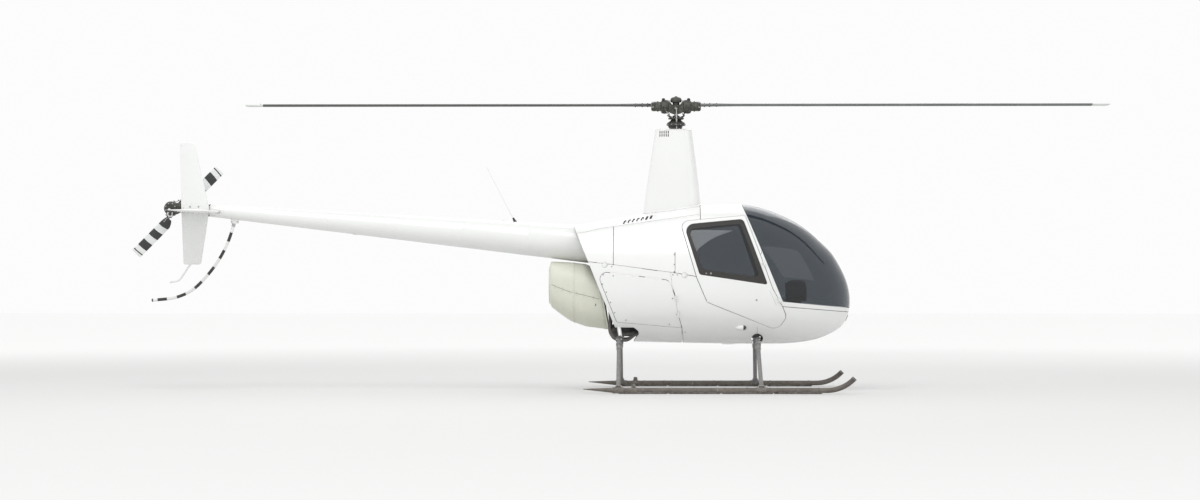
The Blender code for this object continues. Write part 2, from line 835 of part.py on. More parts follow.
def walled(solid, corners, end_x, thickness):
    """A solid made into a wall: open at the end face with this many corners, and thickened inwards."""
    work = bmesh.new()
    work.from_mesh(solid.data)
    ends = [face for face in work.faces if len(face.verts) == corners]
    ends = [face for face in ends if abs(face.calc_center_median().x - end_x) < SEAM]
    bmesh.ops.delete(work, geom=ends, context="FACES_ONLY")
    work.to_mesh(solid.data)
    work.free()
    solidify = solid.modifiers.new("Wall", "SOLIDIFY")
    solidify.thickness = thickness
    solidify.offset = -1.0
    return bake(solid)


def body_volume(name, margin=0.0):
    """The body as a closed solid, drawn in by the margin."""
    rings = [section_ring(*row, margin) for row in SECTIONS]
    return loft(name, rings, pole=(NOSE_TIP[0] - margin, 0.0, NOSE_TIP[1]))


def body_skin(name, thickness):
    """The body's skin, open at the rear and this thick."""
    return walled(body_volume(name), 2 * HALF_RING_STEPS, SECTIONS[0][0], thickness)


def region(source, name, outline, near=-BEAM, far=BEAM):
    """A panel: the part of the skin inside a side-view outline, drawn in by half a seam."""
    panel = copy_of(source, name)
    return keep(panel, prism("region", inset(vectors(outline), SEAM / 2), near, far))


def side_opening(outline, gap):
    """A cutter through both sides of the body for a door outline and the gap around it."""
    return prism("opening", inset(rounded(outline), -gap), -BEAM, BEAM)


def aerofoil(chord, thick):
    """The corner points of a symmetric aerofoil, from the trailing edge over the top and back."""
    upper = [(chord * (AEROFOIL_LEAD - share), thick / 2 * rise) for share, rise in AEROFOIL]
    lower = [(across, -up) for across, up in upper[-2::-1]]
    return upper + lower


def hinge_points(axis, height):
    """The point of a hinge line at this height, and the line's direction."""
    foot = Vector(axis[0])
    along = (Vector(axis[1]) - foot).normalized()
    return foot + along * ((height - foot.z) / along.z), along


def hinge_arm(near, far, reach):
    """A flat arm from the hinge line, towards a point given by its offset in x and y."""
    along = (far - near).normalized()
    near = near + along * ARM_SETBACK
    far = far - along * ARM_SETBACK
    to_skin = Vector((reach[0], reach[1], 0.0))
    to_skin -= along * to_skin.dot(along)
    half = to_skin.normalized().cross(along) * (KNUCKLE_RADIUS * ARM_HALF)
    loops = [[near + half, near - half, far - half, far + half]]
    loops.append([point + to_skin for point in loops[0]])
    return loft("arm", loops)


def hinge_lugs(axis, heights, reach):
    """The fixed lugs of a door's hinges: two short cylinders a hinge, each on an arm into the skin."""
    lugs = []
    for height in heights:
        centre, along = hinge_points(axis, height)
        for side in (-1, 1):
            near = centre + along * side * (KNUCKLE_LENGTH / 2 + SEAM)
            far = centre + along * side * (KNUCKLE_LENGTH / 2 + SEAM + LUG_LENGTH)
            lug = rod("lug", near, far, KNUCKLE_RADIUS, sides=8)
            lugs.append(join(lug, hinge_arm(near, far, reach)))
    return lugs


def hinge_knuckles(axis, heights, reach):
    """The moving knuckles of a door's hinges, each on an arm into the door."""
    knuckles = []
    for height in heights:
        centre, along = hinge_points(axis, height)
        near = centre - along * KNUCKLE_LENGTH / 2
        far = centre + along * KNUCKLE_LENGTH / 2
        knuckle = rod("knuckle", near, far, KNUCKLE_RADIUS, sides=8)
        knuckles.append(join(knuckle, hinge_arm(near, far, reach)))
    return knuckles


def join_lugs(panel, axis, heights, reach):
    """A panel with the fixed lugs of the doors on both sides."""
    panel = join(panel, *hinge_lugs(axis, heights, reach))
    for lug in hinge_lugs(axis, heights, reach):
        twin = mirrored(lug, "twin")
        drop(lug)
        panel = join(panel, twin)
    return panel


def vent_cutters():
    """The slanted vent slots through both shoulders of the roof."""
    width, height, lean = VENT_SIZE
    cutters = []
    for index in range(VENT_COUNT):
        x = VENT_X + VENT_PITCH * index
        z = VENT_HEIGHT + VENT_RISE * index
        slot = [(x, z), (x + width, z), (x + width + lean, z + height), (x + lean, z + height)]
        cutters.append(prism("vent", vectors(slot), -BEAM, BEAM))
    return cutters


def make_upper_panels(shell):
    """The roof cowl and the right-hand panel behind the door."""
    roof = [*SHOULDER_SEAM, (ROOF_SEAM_X, ABOVE), (ASTERN, ABOVE)]
    roof_cowl = region(shell, "roof_cowl", roof)
    hole = rod("hole", (0, 0, GEARBOX_NECK_FOOT), (0, 0, ABOVE), MAST_HOLE, sides=24)
    roof_cowl = cut(roof_cowl, hole, *vent_cutters(), boom_volume("boom", SEAM))
    upper = [*SHOULDER_SEAM, INSIDE_ROOF[0], *SIDE_SEAM[::-1], *WAIST_SEAM[::-1]]
    right_upper = region(shell, "right_upper_panel", upper, far=-OFF_CENTRE)
    right_upper = cut(right_upper, side_opening(DOOR_OUTLINE, DOOR_GAP))
    return [roof_cowl, right_upper]


def make_cabin_frame(shell):
    """The roof and pillars round the windshield, with the lugs of the cabin doors."""
    outline = [(ROOF_SEAM_X, ABOVE), *INSIDE_ROOF, *NOSE_SEAM, (AHEAD, ABOVE)]
    frame = region(shell, "cabin_frame", outline)
    frame = cut(frame, side_opening(DOOR_OUTLINE, DOOR_GAP))
    for near, far in ((-BEAM, -CENTRE_STRIP_HALF), (CENTRE_STRIP_HALF, BEAM)):
        frame = cut(frame, prism("pane", vectors(PANE_OUTLINE), near, far))
    return join_lugs(frame, CABIN_DOOR_AXIS, CABIN_HINGES, CABIN_LUG_REACH)


def make_cabin_tub(shell):
    """The lower shell of the cabin, with the rails of the floor and the lugs of the engine doors."""
    outline = [*NOSE_SEAM[::-1], *INSIDE_DOOR, *SIDE_SEAM[::-1], WAIST_SEAM[-1]]
    outline += [*FIREWALL_SEAM, (AHEAD, UNDER)]
    tub = region(shell, "cabin_tub", outline)
    tub = cut(tub, side_opening(DOOR_OUTLINE, TUB_DOOR_GAP))
    tub = cut(tub, side_opening(ENGINE_DOOR_OUTLINE, DOOR_GAP))
    notch_x, notch_z, notch_radius = STRUT_NOTCH
    rail_top = FLOOR_LEVEL - FLOOR_THICK - SEAM
    for side in (-1, 1):
        ends = [(notch_x, side * y, notch_z) for y in STRUT_NOTCH_Y]
        tub = cut(tub, rod("notch", *ends, notch_radius, sides=20))
        inner, outer = sorted(side * y for y in FLOOR_RAIL_Y)
        rail = box("rail", (FLOOR_RAIL_X[0], inner, FLOOR_RAIL_FOOT), (FLOOR_RAIL_X[1], outer, rail_top))
        tub = join(tub, rail)
    return join_lugs(tub, ENGINE_DOOR_AXIS, ENGINE_HINGES, ENGINE_LUG_REACH)


def make_doors(shell, glass):
    """The right-hand cabin door with its pane, and the right-hand engine door."""
    door = keep(copy_of(shell, "right_door"), prism("door", rounded(DOOR_OUTLINE), -BEAM, -OFF_CENTRE))
    door = cut(door, prism("window", inset(rounded(WINDOW_OUTLINE), -SEAM), -BEAM, BEAM))
    door = join(door, *hinge_knuckles(CABIN_DOOR_AXIS, CABIN_HINGES, CABIN_KNUCKLE_REACH))
    window = prism("window", rounded(WINDOW_OUTLINE), -BEAM, -OFF_CENTRE)
    pane = keep(copy_of(glass, "right_door_glass"), window)
    cover = prism("door", rounded(ENGINE_DOOR_OUTLINE), -BEAM, -OFF_CENTRE)
    engine_door = keep(copy_of(shell, "right_engine_door"), cover)
    knuckles = hinge_knuckles(ENGINE_DOOR_AXIS, ENGINE_HINGES, ENGINE_KNUCKLE_REACH)
    return door, pane, join(engine_door, *knuckles)


def make_body_panels():
    """The skin panels, the doors and their glass; gives the pieces by body."""
    shell = body_skin("shell", WALL)
    shell = cut(shell, prism("trim", vectors(REAR_TRIM), -BEAM, BEAM))
    glass = body_skin("glass", GLASS)

    fixed = make_upper_panels(shell)
    fixed.append(make_cabin_frame(shell))
    fixed.append(make_cabin_tub(shell))
    rear_cowl = region(shell, "rear_lower_cowl", [*WAIST_SEAM, *FIREWALL_SEAM, (ASTERN, UNDER)])
    fixed.append(cut(rear_cowl, side_opening(ENGINE_DOOR_OUTLINE, COWL_DOOR_GAP)))
    right_half = prism("pane", inset(vectors(PANE_OUTLINE), SEAM), -BEAM, -CENTRE_STRIP_HALF - SEAM)
    windshield = keep(copy_of(glass, "right_windshield"), right_half)
    fixed.append(windshield)
    door, pane, engine_door = make_doors(shell, glass)
    drop(shell)
    drop(glass)

    right_upper = fixed[1]
    fixed.append(mirrored(right_upper, "left_upper_panel"))
    fixed.append(mirrored(windshield, "left_windshield"))
    return {
        "airframe": fixed,
        "right_door": [door, pane],
        "left_door": [mirrored(door, "left_door"), mirrored(pane, "left_door_glass")],
        "right_engine_door": [engine_door],
        "left_engine_door": [mirrored(engine_door, "left_engine_door")],
    }


def interior_slice(name, low, high):
    """The part of the body's inside that lies in a box: a floor, bulkhead or deck."""
    return keep(box(name, low, high), body_volume("inside", INTERIOR_MARGIN))


def seat_pads():
    """The cushions and the back pads of both seats."""
    low = (CUSHION_REAR, -SEAT_OUTER, SEAT_TOP + SEAM)
    high = (SEAT_FRONT, -SEAT_INNER, SEAT_TOP + CUSHION_THICK)
    cushion = box("right_seat_cushion", low, high, bevel=CUSHION_BEVEL)
    far_corner = (BACK_THICK, -SEAT_INNER, BACK_HEIGHT)
    back = box("right_seat_back", (0.0, -BACK_OUTER, 0.0), far_corner, bevel=BACK_BEVEL)
    foot_x, foot_z = BACK_FOOT
    back.data.transform(Matrix.Translation((foot_x, 0, foot_z)) @ Matrix.Rotation(-BACK_LEAN, 4, "Y"))
    return [cushion, back, mirrored(cushion, "left_seat_cushion"), mirrored(back, "left_seat_back")]


def make_bench():
    """The hollow bench under the seats, with the leaning shelf behind their backs."""
    bench_low = (BULKHEAD_X[1] + SEAM, -BEAM, FLOOR_LEVEL + SEAM)
    bench = interior_slice("seat_bench", bench_low, (BENCH_FRONT, BEAM, SEAT_TOP))
    behind = BULKHEAD_X[1] + SHELF_GAP
    lean = math.tan(BACK_LEAN)
    rest_x = BACK_FOOT[0] + (BACK_FOOT[1] - SEAT_TOP) * lean - BACK_GAP
    foot_z = SEAT_TOP - SHELF_LAP
    foot, head = [(rest_x - (z - SEAT_TOP) * lean, z) for z in (foot_z, SHELF_TOP)]
    shelf_outline = [(behind, foot_z), foot, head, (behind, SHELF_TOP)]
    bench = join(bench, prism("shelf", vectors(shelf_outline), -SHELF_HALF, SHELF_HALF))
    room_low = (behind + BENCH_WALL, -BENCH_ROOM_HALF, BENCH_ROOM_FOOT)
    room_high = (BENCH_FRONT - BENCH_WALL, BENCH_ROOM_HALF, SEAT_TOP - BENCH_WALL)
    return cut(bench, box("room", room_low, room_high))


def make_stick():
    """The control stick: a post from the floor, a bar across it and the rubber boot at its foot."""
    foot = Vector((STICK_X, 0, FLOOR_LEVEL + SEAM))
    bar_x = STICK_X - STICK_SETBACK
    post = [foot, (STICK_X, 0, STICK_KNEE), (bar_x, 0, STICK_HEIGHT)]
    stick = tube("cyclic_stick", bent_path(post, STICK_BEND), STICK_RADIUS)
    grip_foot = STICK_HEIGHT - GRIP_DROP
    bar = [
        (bar_x, -GRIP_SPAN, grip_foot),
        (bar_x, -GRIP_SPAN, STICK_HEIGHT),
        (bar_x, GRIP_SPAN, STICK_HEIGHT),
        (bar_x, GRIP_SPAN, grip_foot),
    ]
    stick = join(stick, tube("bar", bent_path(bar, BAR_BEND), BAR_RADIUS))
    return join(stick, rod("boot", foot, foot + Vector((0, 0, BOOT_HEIGHT)), *BOOT_RADII))


def make_pedals():
    """Both pairs of pedals on one bar."""
    ends = [(PEDAL_X, side * PEDAL_BAR_HALF, PEDAL_BAR_LEVEL) for side in (-1, 1)]
    pedals = rod("pedals", *ends, PEDAL_BAR_RADIUS, sides=8)
    rear, front = (PEDAL_X + x for x in PEDAL_PAD_X)
    for y in PEDAL_PAD_Y:
        low = (rear, y - PEDAL_PAD_HALF, PEDAL_PAD_Z[0])
        high = (front, y + PEDAL_PAD_HALF, PEDAL_PAD_Z[1])
        pedals = join(pedals, box("pad", low, high))
    half_x, half_y = PEDAL_FOOT_HALF
    for y in PEDAL_FOOT_Y:
        low = (PEDAL_X - half_x, y - half_y, FLOOR_LEVEL + SEAM)
        high = (PEDAL_X + half_x, y + half_y, PEDAL_FOOT_TOP)
        pedals = join(pedals, box("foot", low, high))
    return pedals


def make_cabin():
    """Floor, bulkhead, seats, console and controls."""
    floor_low = (FLOOR_X[0], -BEAM, FLOOR_LEVEL - FLOOR_THICK)
    floor = interior_slice("cabin_floor", floor_low, (FLOOR_X[1], BEAM, FLOOR_LEVEL))
    bulkhead_low = (BULKHEAD_X[0], -BEAM, BULKHEAD_Z[0])
    bulkhead = interior_slice("rear_bulkhead", bulkhead_low, (BULKHEAD_X[1], BEAM, BULKHEAD_Z[1]))
    console = join(box("instrument_console", *CONSOLE), box("pod", *CONSOLE_POD))
    return [floor, bulkhead, make_bench(), *seat_pads(), console, make_stick(), make_pedals()]


def scroll_ring(x, foot, head, half, lean=0.0):
    """One loop of the fan shroud: a rounded box seen from behind. A lean puts its foot ahead of its head."""
    middle = (foot + head) / 2
    points = []
    for step in range(SCROLL_STEPS):
        angle = 2 * math.pi * (step + 0.5) / SCROLL_STEPS
        across = math.copysign(abs(math.cos(angle)) ** SCROLL_POWER, math.cos(angle))
        up = math.copysign(abs(math.sin(angle)) ** SCROLL_POWER, math.sin(angle))
        height = middle + (head - foot) / 2 * up
        points.append((x + lean * (head - height), half * across, height))
    return points


def make_fan_shroud():
    """The shroud round the cooling fan: a thin shell, open in front, with a round inlet behind."""
    front = SCROLL_SECTIONS[-1]
    rings = [scroll_ring(*row) for row in SCROLL_SECTIONS[:-1]]
    rings.append(scroll_ring(*front, SCROLL_LEAN))
    middle_x = front[0] + SCROLL_LEAN * (front[2] - front[1]) / 2
    shroud = walled(loft("fan_shroud", rings), SCROLL_STEPS, middle_x, SCROLL_WALL)
    inlet_ends = [(x, 0, INLET_HEIGHT) for x in INLET_X]
    shroud = cut(shroud, rod("inlet", *inlet_ends, INLET_RADIUS, sides=24))
    shroud = join(shroud, turned("lip", INLET_LIP, (SCROLL_SECTIONS[0][0], 0, INLET_HEIGHT), "X"))
    pad_x = ENGINE_X[0] - SEAM
    arm_x, arm_y = SCROLL_ARM_END
    for side in (-1, 1):
        y = side * SCROLL_PAD_Y
        near = (pad_x - SCROLL_PAD_THICK / 2, y, SCROLL_ARM_LEVEL)
        far = (arm_x, side * arm_y, SCROLL_ARM_LEVEL)
        shroud = join(shroud, rod("arm", near, far, SCROLL_ARM_RADIUS, sides=8))
        low = (pad_x - SCROLL_PAD_THICK, y - SCROLL_PAD_HALF, SCROLL_ARM_LEVEL - SCROLL_PAD_HALF)
        high = (pad_x, y + SCROLL_PAD_HALF, SCROLL_ARM_LEVEL + SCROLL_PAD_HALF)
        shroud = join(shroud, box("pad", low, high))
    return shroud


def make_fan():
    """The cooling fan on the engine's shaft: a hub and its blades."""
    rear, front = (Vector((x, 0, INLET_HEIGHT)) for x in FAN_X)
    ahead = Vector((1, 0, 0))
    fan = rod("fan_wheel", rear, front, FAN_HUB_RADIUS, sides=18)
    back, lap = FAN_NOSE_REACH
    fan = join(fan, rod("nose", rear - ahead * back, rear + ahead * lap, *FAN_NOSE_RADII))
    half_thick, half_chord = FAN_BLADE_HALF
    for index in range(FAN_BLADES):
        low = (-half_thick, -half_chord, FAN_HUB_RADIUS - FAN_BLADE_LAP)
        blade = box("blade", low, (half_thick, half_chord, FAN_BLADE_TIP))
        pitch = Matrix.Rotation(FAN_PITCH, 4, "Z")
        place = Matrix.Rotation(2 * math.pi * index / FAN_BLADES, 4, "X")
        blade.data.transform(Matrix.Translation((rear + front) / 2) @ place @ pitch)
        fan = join(fan, blade)
    return fan


def make_engine():
    """The engine with its cylinders, its shaft, and the feet that sit on the frame's lower rails."""
    low = (ENGINE_X[0], -ENGINE_HALF, ENGINE_Z[0])
    engine = box("engine_block", low, (ENGINE_X[1], ENGINE_HALF, ENGINE_Z[1]), bevel=ENGINE_BEVEL)
    for x in CYLINDER_X:
        ends = [(x, side * CYLINDER_REACH, CYLINDER_LEVEL) for side in (-1, 1)]
        engine = join(engine, rod("cylinder", *ends, CYLINDER_RADIUS, sides=16))
    nose_ends = [(x, 0, NOSE_LEVEL) for x in NOSE_X]
    engine = join(engine, rod("nose", *nose_ends, NOSE_RADIUS, sides=16))
    engine = join(engine, rod("riser", *RISER, RISER_RADIUS))
    shaft_end = (FAN_X[1] + SEAM, 0, INLET_HEIGHT)
    engine = join(engine, rod("shaft", (SHAFT_X, 0, INLET_HEIGHT), shaft_end, SHAFT_RADIUS))
    for side in (-1, 1):
        inner, outer = sorted(side * y for y in ENGINE_FOOT_Y)
        foot_low = (ENGINE_FOOT_X[0], inner, ENGINE_FOOT_Z[0])
        engine = join(engine, box("foot", foot_low, (ENGINE_FOOT_X[1], outer, ENGINE_FOOT_Z[1])))
        rail = [(x, side * abs(y), z) for x, y, z in ENGINE_RAIL]
        engine = cut(engine, rod("rail", *rail, FRAME_RADIUS + SEAM, sides=8))
    return engine


def make_frame():
    """The steel tubes behind the cabin, the plate that carries the boom and the gearbox's seats."""
    bars = [rod("bar", (x, -half, z), (x, half, z), FRAME_RADIUS, sides=8) for x, half, z in FRAME_CROSS]
    frame = bars[0]
    frame.name = "rear_frame"
    for start, end in FRAME_TUBES:
        for side in (1, -1):
            ends = [(x, y * side, z) for x, y, z in (start, end)]
            frame = join(frame, rod("tube", *ends, FRAME_RADIUS, sides=8))
    frame = join(frame, bars[1])
    boom_start, boom_axis = boom_line()
    near = boom_start - boom_axis * SEAM
    frame = join(frame, rod("plate", near, near - boom_axis * RING_THICK, RING_RADIUS, sides=24))
    for side in (-1, 1):
        inner, outer = sorted(side * y for y in FRAME_SEAT_Y)
        seat_low = (FRAME_SEAT_X[0], inner, FRAME_SEAT_Z[0])
        frame = join(frame, box("seat", seat_low, (FRAME_SEAT_X[1], outer, FRAME_SEAT_Z[1])))
        arm = [(x, side * y, z) for x, y, z in FRAME_ARM]
        frame = join(frame, rod("arm", *arm, FRAME_ARM_RADIUS, sides=8))
    return frame


def make_drive():
    """Engine, fan shroud, gearbox, exhaust and the frame that carries them."""
    gearbox = box("main_gearbox", *GEARBOX, bevel=GEARBOX_BEVEL)
    neck = rod("neck", (0, 0, GEARBOX_NECK_FOOT), (0, 0, GEARBOX_NECK), GEARBOX_NECK_RADIUS, sides=20)
    gearbox = join(gearbox, neck)
    exhaust = tube("exhaust_pipe", bent_path(EXHAUST_PATH, EXHAUST_BEND, steps=3), EXHAUST_RADIUS)
    return [make_engine(), make_fan_shroud(), gearbox, exhaust, make_frame()]


def fairing_ring(z, front, rear, half):
    """One loop of the mast fairing: round in front, drawn out behind."""
    middle = front - half
    ring = []
    for step in range(FAIRING_STEPS):
        angle = 2 * math.pi * step / FAIRING_STEPS
        ahead = math.cos(angle) > 0
        length = half if ahead else middle - rear
        pinch = 1.0 if ahead else 1.0 - FAIRING_PINCH * abs(math.cos(angle)) ** 2
        ring.append((middle + length * math.cos(angle), half * pinch * math.sin(angle), z))
    return ring


def make_fairing():
    """The hollow fairing round the mast, cut to the roof below and closed by a plate with a hole."""
    rings = [fairing_ring(*row) for row in FAIRING_SECTIONS]
    fairing = loft("mast_fairing", rings)
    inner_rings = []
    for z, ring in zip(FAIRING_ROOM_Z, rings):
        centre = sum(vectors(ring), Vector((0, 0, 0))) / len(ring)
        shrunk = []
        for p in ring:
            spoke = Vector(p) - centre
            shrunk.append((*(centre + spoke * (1 - FAIRING_WALL / spoke.length)).xy, z))
        inner_rings.append(shrunk)
    fairing = cut(fairing, loft("inner", inner_rings))
    fairing = join(fairing, box("top", *FAIRING_TOP))
    hole_ends = [(0, 0, z) for z in FAIRING_HOLE_Z]
    fairing = cut(fairing, rod("hole", *hole_ends, FAIRING_HOLE, sides=20))
    return cut(fairing, body_volume("roof", -SEAM))


def make_upper_swashplate():
    """The half of the swashplate that turns, with its two pitch links."""
    upper = turned("swashplate_upper", SWASHPLATE_UPPER, (0, 0, 0), "Z")
    for side in (-1, 1):
        foot, head = [(side * x, side * y, z) for x, y, z in LINK]
        upper = join(upper, rod("link", foot, head, LINK_RADIUS, sides=8))
        upper = join(upper, ball("joint", (*head[:2], LINK_BALL_LEVEL), LINK_BALL_RADIUS, steps=6))
    return upper


def make_hub():
    """The rotor hub with the sockets, plates and horns of both blades."""
    hub = prism("rotor_hub", vectors(HUB_OUTLINE), -HUB_HALF, HUB_HALF)
    for side in (-1, 1):
        ends = sorted((side * x, 0, SOCKET_LEVEL) for x in SOCKET_X)
        hub = join(hub, rod("socket", *ends, SOCKET_RADIUS, sides=16))
        near, far = sorted(side * x for x in GRIP_PLATE_X)
        plate_low = (near, -GRIP_PLATE_HALF, GRIP_PLATE_Z[0])
        hub = join(hub, box("plate", plate_low, (far, GRIP_PLATE_HALF, GRIP_PLATE_Z[1])))
        near, far = sorted(side * x for x in HORN_X)
        inner, outer = sorted((0, side * HORN_REACH))
        hub = join(hub, box("horn", (near, inner, HORN_Z[0]), (far, outer, HORN_Z[1])))
    stem = rod("stem", (*KNOB[:2], KNOB_STEM_FOOT), KNOB, KNOB_STEM_RADIUS)
    return join(hub, ball("knob", KNOB, KNOB_RADIUS, steps=8), stem)


def make_main_blade(name, side):
    """One main blade, forward when the side is 1 and aft when it is -1."""
    foil = aerofoil(BLADE_CHORD, BLADE_THICK)
    stations = ((BLADE_ROOT, 1.0), (ROTOR_RADIUS - BLADE_TIP_LENGTH, 1.0), (ROTOR_RADIUS, BLADE_TIP_SCALE))
    loops = []
    for x, scale in stations:
        loops.append([(side * x, side * along * scale, BLADE_LEVEL + up * scale) for along, up in foil])
    return loft(name, loops)


def make_mast_group():
    """The fairing and the fixed swashplate; then the mast, hub and blades that turn."""
    lower = turned("swashplate_lower", SWASHPLATE_LOWER, (0, 0, 0), "Z")
    mast = rod("mast", (0, 0, GEARBOX_NECK + SEAM), (0, 0, MAST_TOP), MAST_RADIUS, sides=16)
    blades = [make_main_blade("main_blade_front", 1), make_main_blade("main_blade_rear", -1)]
    return [make_fairing(), lower], [mast, make_upper_swashplate(), make_hub(), *blades]


def boom_line():
    """The front end of the boom's axis and its direction, aft."""
    start = Vector((BOOM_START[0], 0, BOOM_START[1]))
    return start, (Vector((BOOM_END[0], 0, BOOM_END[1])) - start).normalized()


def boom_volume(name, margin):
    """The tail boom as a solid cone, grown by the margin."""
    start, axis = boom_line()
    end = (BOOM_END[0], 0, BOOM_END[1])
    return rod(name, start, end, BOOM_START[2] + margin, BOOM_END[2] + margin, sides=24)


def tail_arm(name, margin):
    """The tail gearbox's long housing, in line with the boom and grown by the margin."""
    axis = boom_line()[1]
    start = Vector((BOOM_END[0], 0, BOOM_END[1])) + axis * SEAM
    near, far = (radius + margin for radius in TAIL_ARM_RADII)
    return rod(name, start, start + axis * TAIL_ARM_LENGTH, near, far, sides=16)


def on_tail_axis(*reach):
    """Points on the axis of the tail rotor, at these places in y."""
    return [(TAIL_HUB[0], y, TAIL_HUB[2]) for y in reach]


def make_boom():
    """The hollow tail boom, open at both ends."""
    start, axis = boom_line()
    end = Vector((BOOM_END[0], 0, BOOM_END[1]))
    ahead, short = BOOM_ROOM_LAPS
    near_radius = BOOM_START[2] - BOOM_WALL + BOOM_ROOM_FLARE
    far_radius = BOOM_END[2] - BOOM_WALL
    core = rod("core", start - axis * ahead, end - axis * short, near_radius, far_radius, sides=24)
    return cut(boom_volume("tail_boom", 0.0), core)


def make_fin():
    """The upright fin with the small skid under it, fixed on the tail gearbox."""
    fin = prism("vertical_fin", rounded(FIN_OUTLINE), *FIN_Y)
    skid_path = bent_path([(x, TAIL_SKID_Y, z) for x, z in TAIL_SKID_PATH], TAIL_SKID_BEND)
    fin = join(fin, tube("skid", skid_path, TAIL_SKID_RADIUS), box("mount", *FIN_MOUNT))
    return cut(fin, tail_arm("arm", SEAM))


def make_stabiliser():
    """The level fin on the right of the upright one."""
    rear, front, level = STABILISER_ROOT
    chord = front - rear
    root_y = FIN_Y[0] - SEAM
    tip_y = FIN_Y[0] - STABILISER_SPAN
    loops = []
    for y, scale in ((root_y, 1.0), (tip_y, STABILISER_TIP_SCALE)):
        loop = []
        for along, up in aerofoil(chord, STABILISER_THICK):
            x = front - chord * AEROFOIL_LEAD + along * scale
            loop.append((x, y, level + up * scale - (x - rear) * math.tan(STABILISER_DROP)))
        loops.append(loop)
    return loft("horizontal_stabiliser", loops)


def make_guard():
    """The bow guard under the tail, with its saddle on the boom."""
    points = bent_path([(x, 0, z) for x, z in GUARD_PATH], GUARD_BEND, steps=3)
    guard = tube("tail_guard", points, GUARD_RADIUS, resolution=3)
    x, z = GUARD_PATH[0]
    half_x, half_y = SADDLE_HALF
    low, high = SADDLE_Z
    saddle = box("saddle", (x - half_x, -half_y, z + low), (x + half_x, half_y, z + high))
    return cut(join(guard, saddle), boom_volume("boom", SEAM))


def make_antenna():
    """The leaning antenna on top of the boom."""
    (x, z), (tip_x, tip_z) = ANTENNA
    antenna = rod("antenna", (x, 0, z), (tip_x, 0, tip_z), *ANTENNA_RADII, sides=8)
    boot_ends = [(x + dx, 0, z + dz) for dx, dz in ANTENNA_BOOT]
    antenna = join(antenna, rod("boot", *boot_ends, *ANTENNA_BOOT_RADII, sides=8))
    return cut(antenna, boom_volume("boom", SEAM))


def make_tail_rotor():
    """The tail rotor: its shaft, disc and bar, and two blades at 45 degrees."""
    hub = rod("tail_rotor_hub", *on_tail_axis(*TAIL_SHAFT_Y), TAIL_SHAFT_RADIUS, sides=14)
    hub = join(hub, rod("disc", *on_tail_axis(*TAIL_DISC_Y), TAIL_DISC_RADIUS, sides=18))
    turn = Matrix.Translation(TAIL_HUB) @ Matrix.Rotation(-TAIL_REST, 4, "Y")
    bar = box("bar", -TAIL_BAR_HALF, TAIL_BAR_HALF, bevel=TAIL_BAR_BEVEL)
    bar.data.transform(turn)
    pieces = [join(hub, bar)]
    foil = aerofoil(TAIL_CHORD, TAIL_THICK)
    for name, side in (("tail_blade_upper", 1), ("tail_blade_lower", -1)):
        loops = []
        for x in (TAIL_ROOT, TAIL_RADIUS):
            loops.append([(side * x, up, along + TAIL_OFFSET) for along, up in foil])
        blade = loft(name, loops)
        blade.data.transform(turn)
        pieces.append(blade)
    return pieces


def make_tail():
    """Tail boom, gearbox, fins, guard and antenna."""
    case = rod("case", *on_tail_axis(*TAIL_CASE_Y), *TAIL_CASE_RADII, sides=16)
    gearbox = join(tail_arm("tail_gearbox", 0.0), case)
    return [make_boom(), gearbox, make_fin(), make_stabiliser(), make_guard(), make_antenna()]


def make_skid():
    """The right-hand skid with its wear shoe and the two ears for a handling wheel."""
    bend_centre = Vector((SKID_BEND_X, -SKID_Y, SKID_LEVEL + SKID_BEND_RADIUS))
    points = [(SKID_REAR[0], -SKID_Y, SKID_REAR[1]), (SKID_LEVEL_X, -SKID_Y, SKID_LEVEL)]
    for step in range(SKID_BEND_STEPS + 1):
        angle = SKID_BEND * step / SKID_BEND_STEPS
        points.append(bend_centre + Vector((math.sin(angle), 0, -math.cos(angle))) * SKID_BEND_RADIUS)
    skid = tube("right_skid", points, SKID_RADIUS, resolution=3)
    shoe = box("shoe", (SHOE_X[0], -SKID_Y - SHOE_HALF, 0.0), (SHOE_X[1], -SKID_Y + SHOE_HALF, SHOE_TOP))
    skid = join(skid, shoe)
    for y in (-SKID_Y - EAR_Y, -SKID_Y + EAR_Y):
        ear = box("ear", (EAR_X[0], y - EAR_HALF, SKID_LEVEL), (EAR_X[1], y + EAR_HALF, EAR_TOP))
        skid = join(skid, ear)
    return skid


def make_leg(name, elbow_x, foot_x, level, elbow_y):
    """One bent cross tube, with a collar near each elbow and flared feet cut to the skids."""
    route = [
        (foot_x, -SKID_Y, SKID_LEVEL),
        (elbow_x, -elbow_y, level),
        (elbow_x, elbow_y, level),
        (foot_x, SKID_Y, SKID_LEVEL),
    ]
    leg = tube(name, bent_path(route, STRUT_BEND), STRUT_RADIUS, resolution=3)
    for side in (-1, 1):
        foot = Vector((foot_x, side * SKID_Y, SKID_LEVEL + FLARE_RISE))
        knee = Vector((elbow_x, side * elbow_y, level))
        up = (knee - foot).normalized()
        leg = join(leg, rod("flare", foot, foot + up * FLARE_LENGTH, FLARE_RADIUS, STRUT_RADIUS, sides=14))
        collar_ends = [knee - up * below for below in COLLAR_BELOW]
        leg = join(leg, rod("collar", *collar_ends, COLLAR_RADIUS, sides=14))
        bore_ends = [(foot_x + dx, side * SKID_Y, SKID_LEVEL) for dx in (-SADDLE_BORE_HALF, SADDLE_BORE_HALF)]
        leg = cut(leg, rod("bore", *bore_ends, SKID_RADIUS + SEAM, sides=10))
    return leg


def make_landing_gear():
    """Two skids and the two bent cross tubes that stand on them."""
    skid = make_skid()
    return [skid, mirrored(skid, "left_skid"), *[make_leg(*row) for row in GEAR_LEGS]]


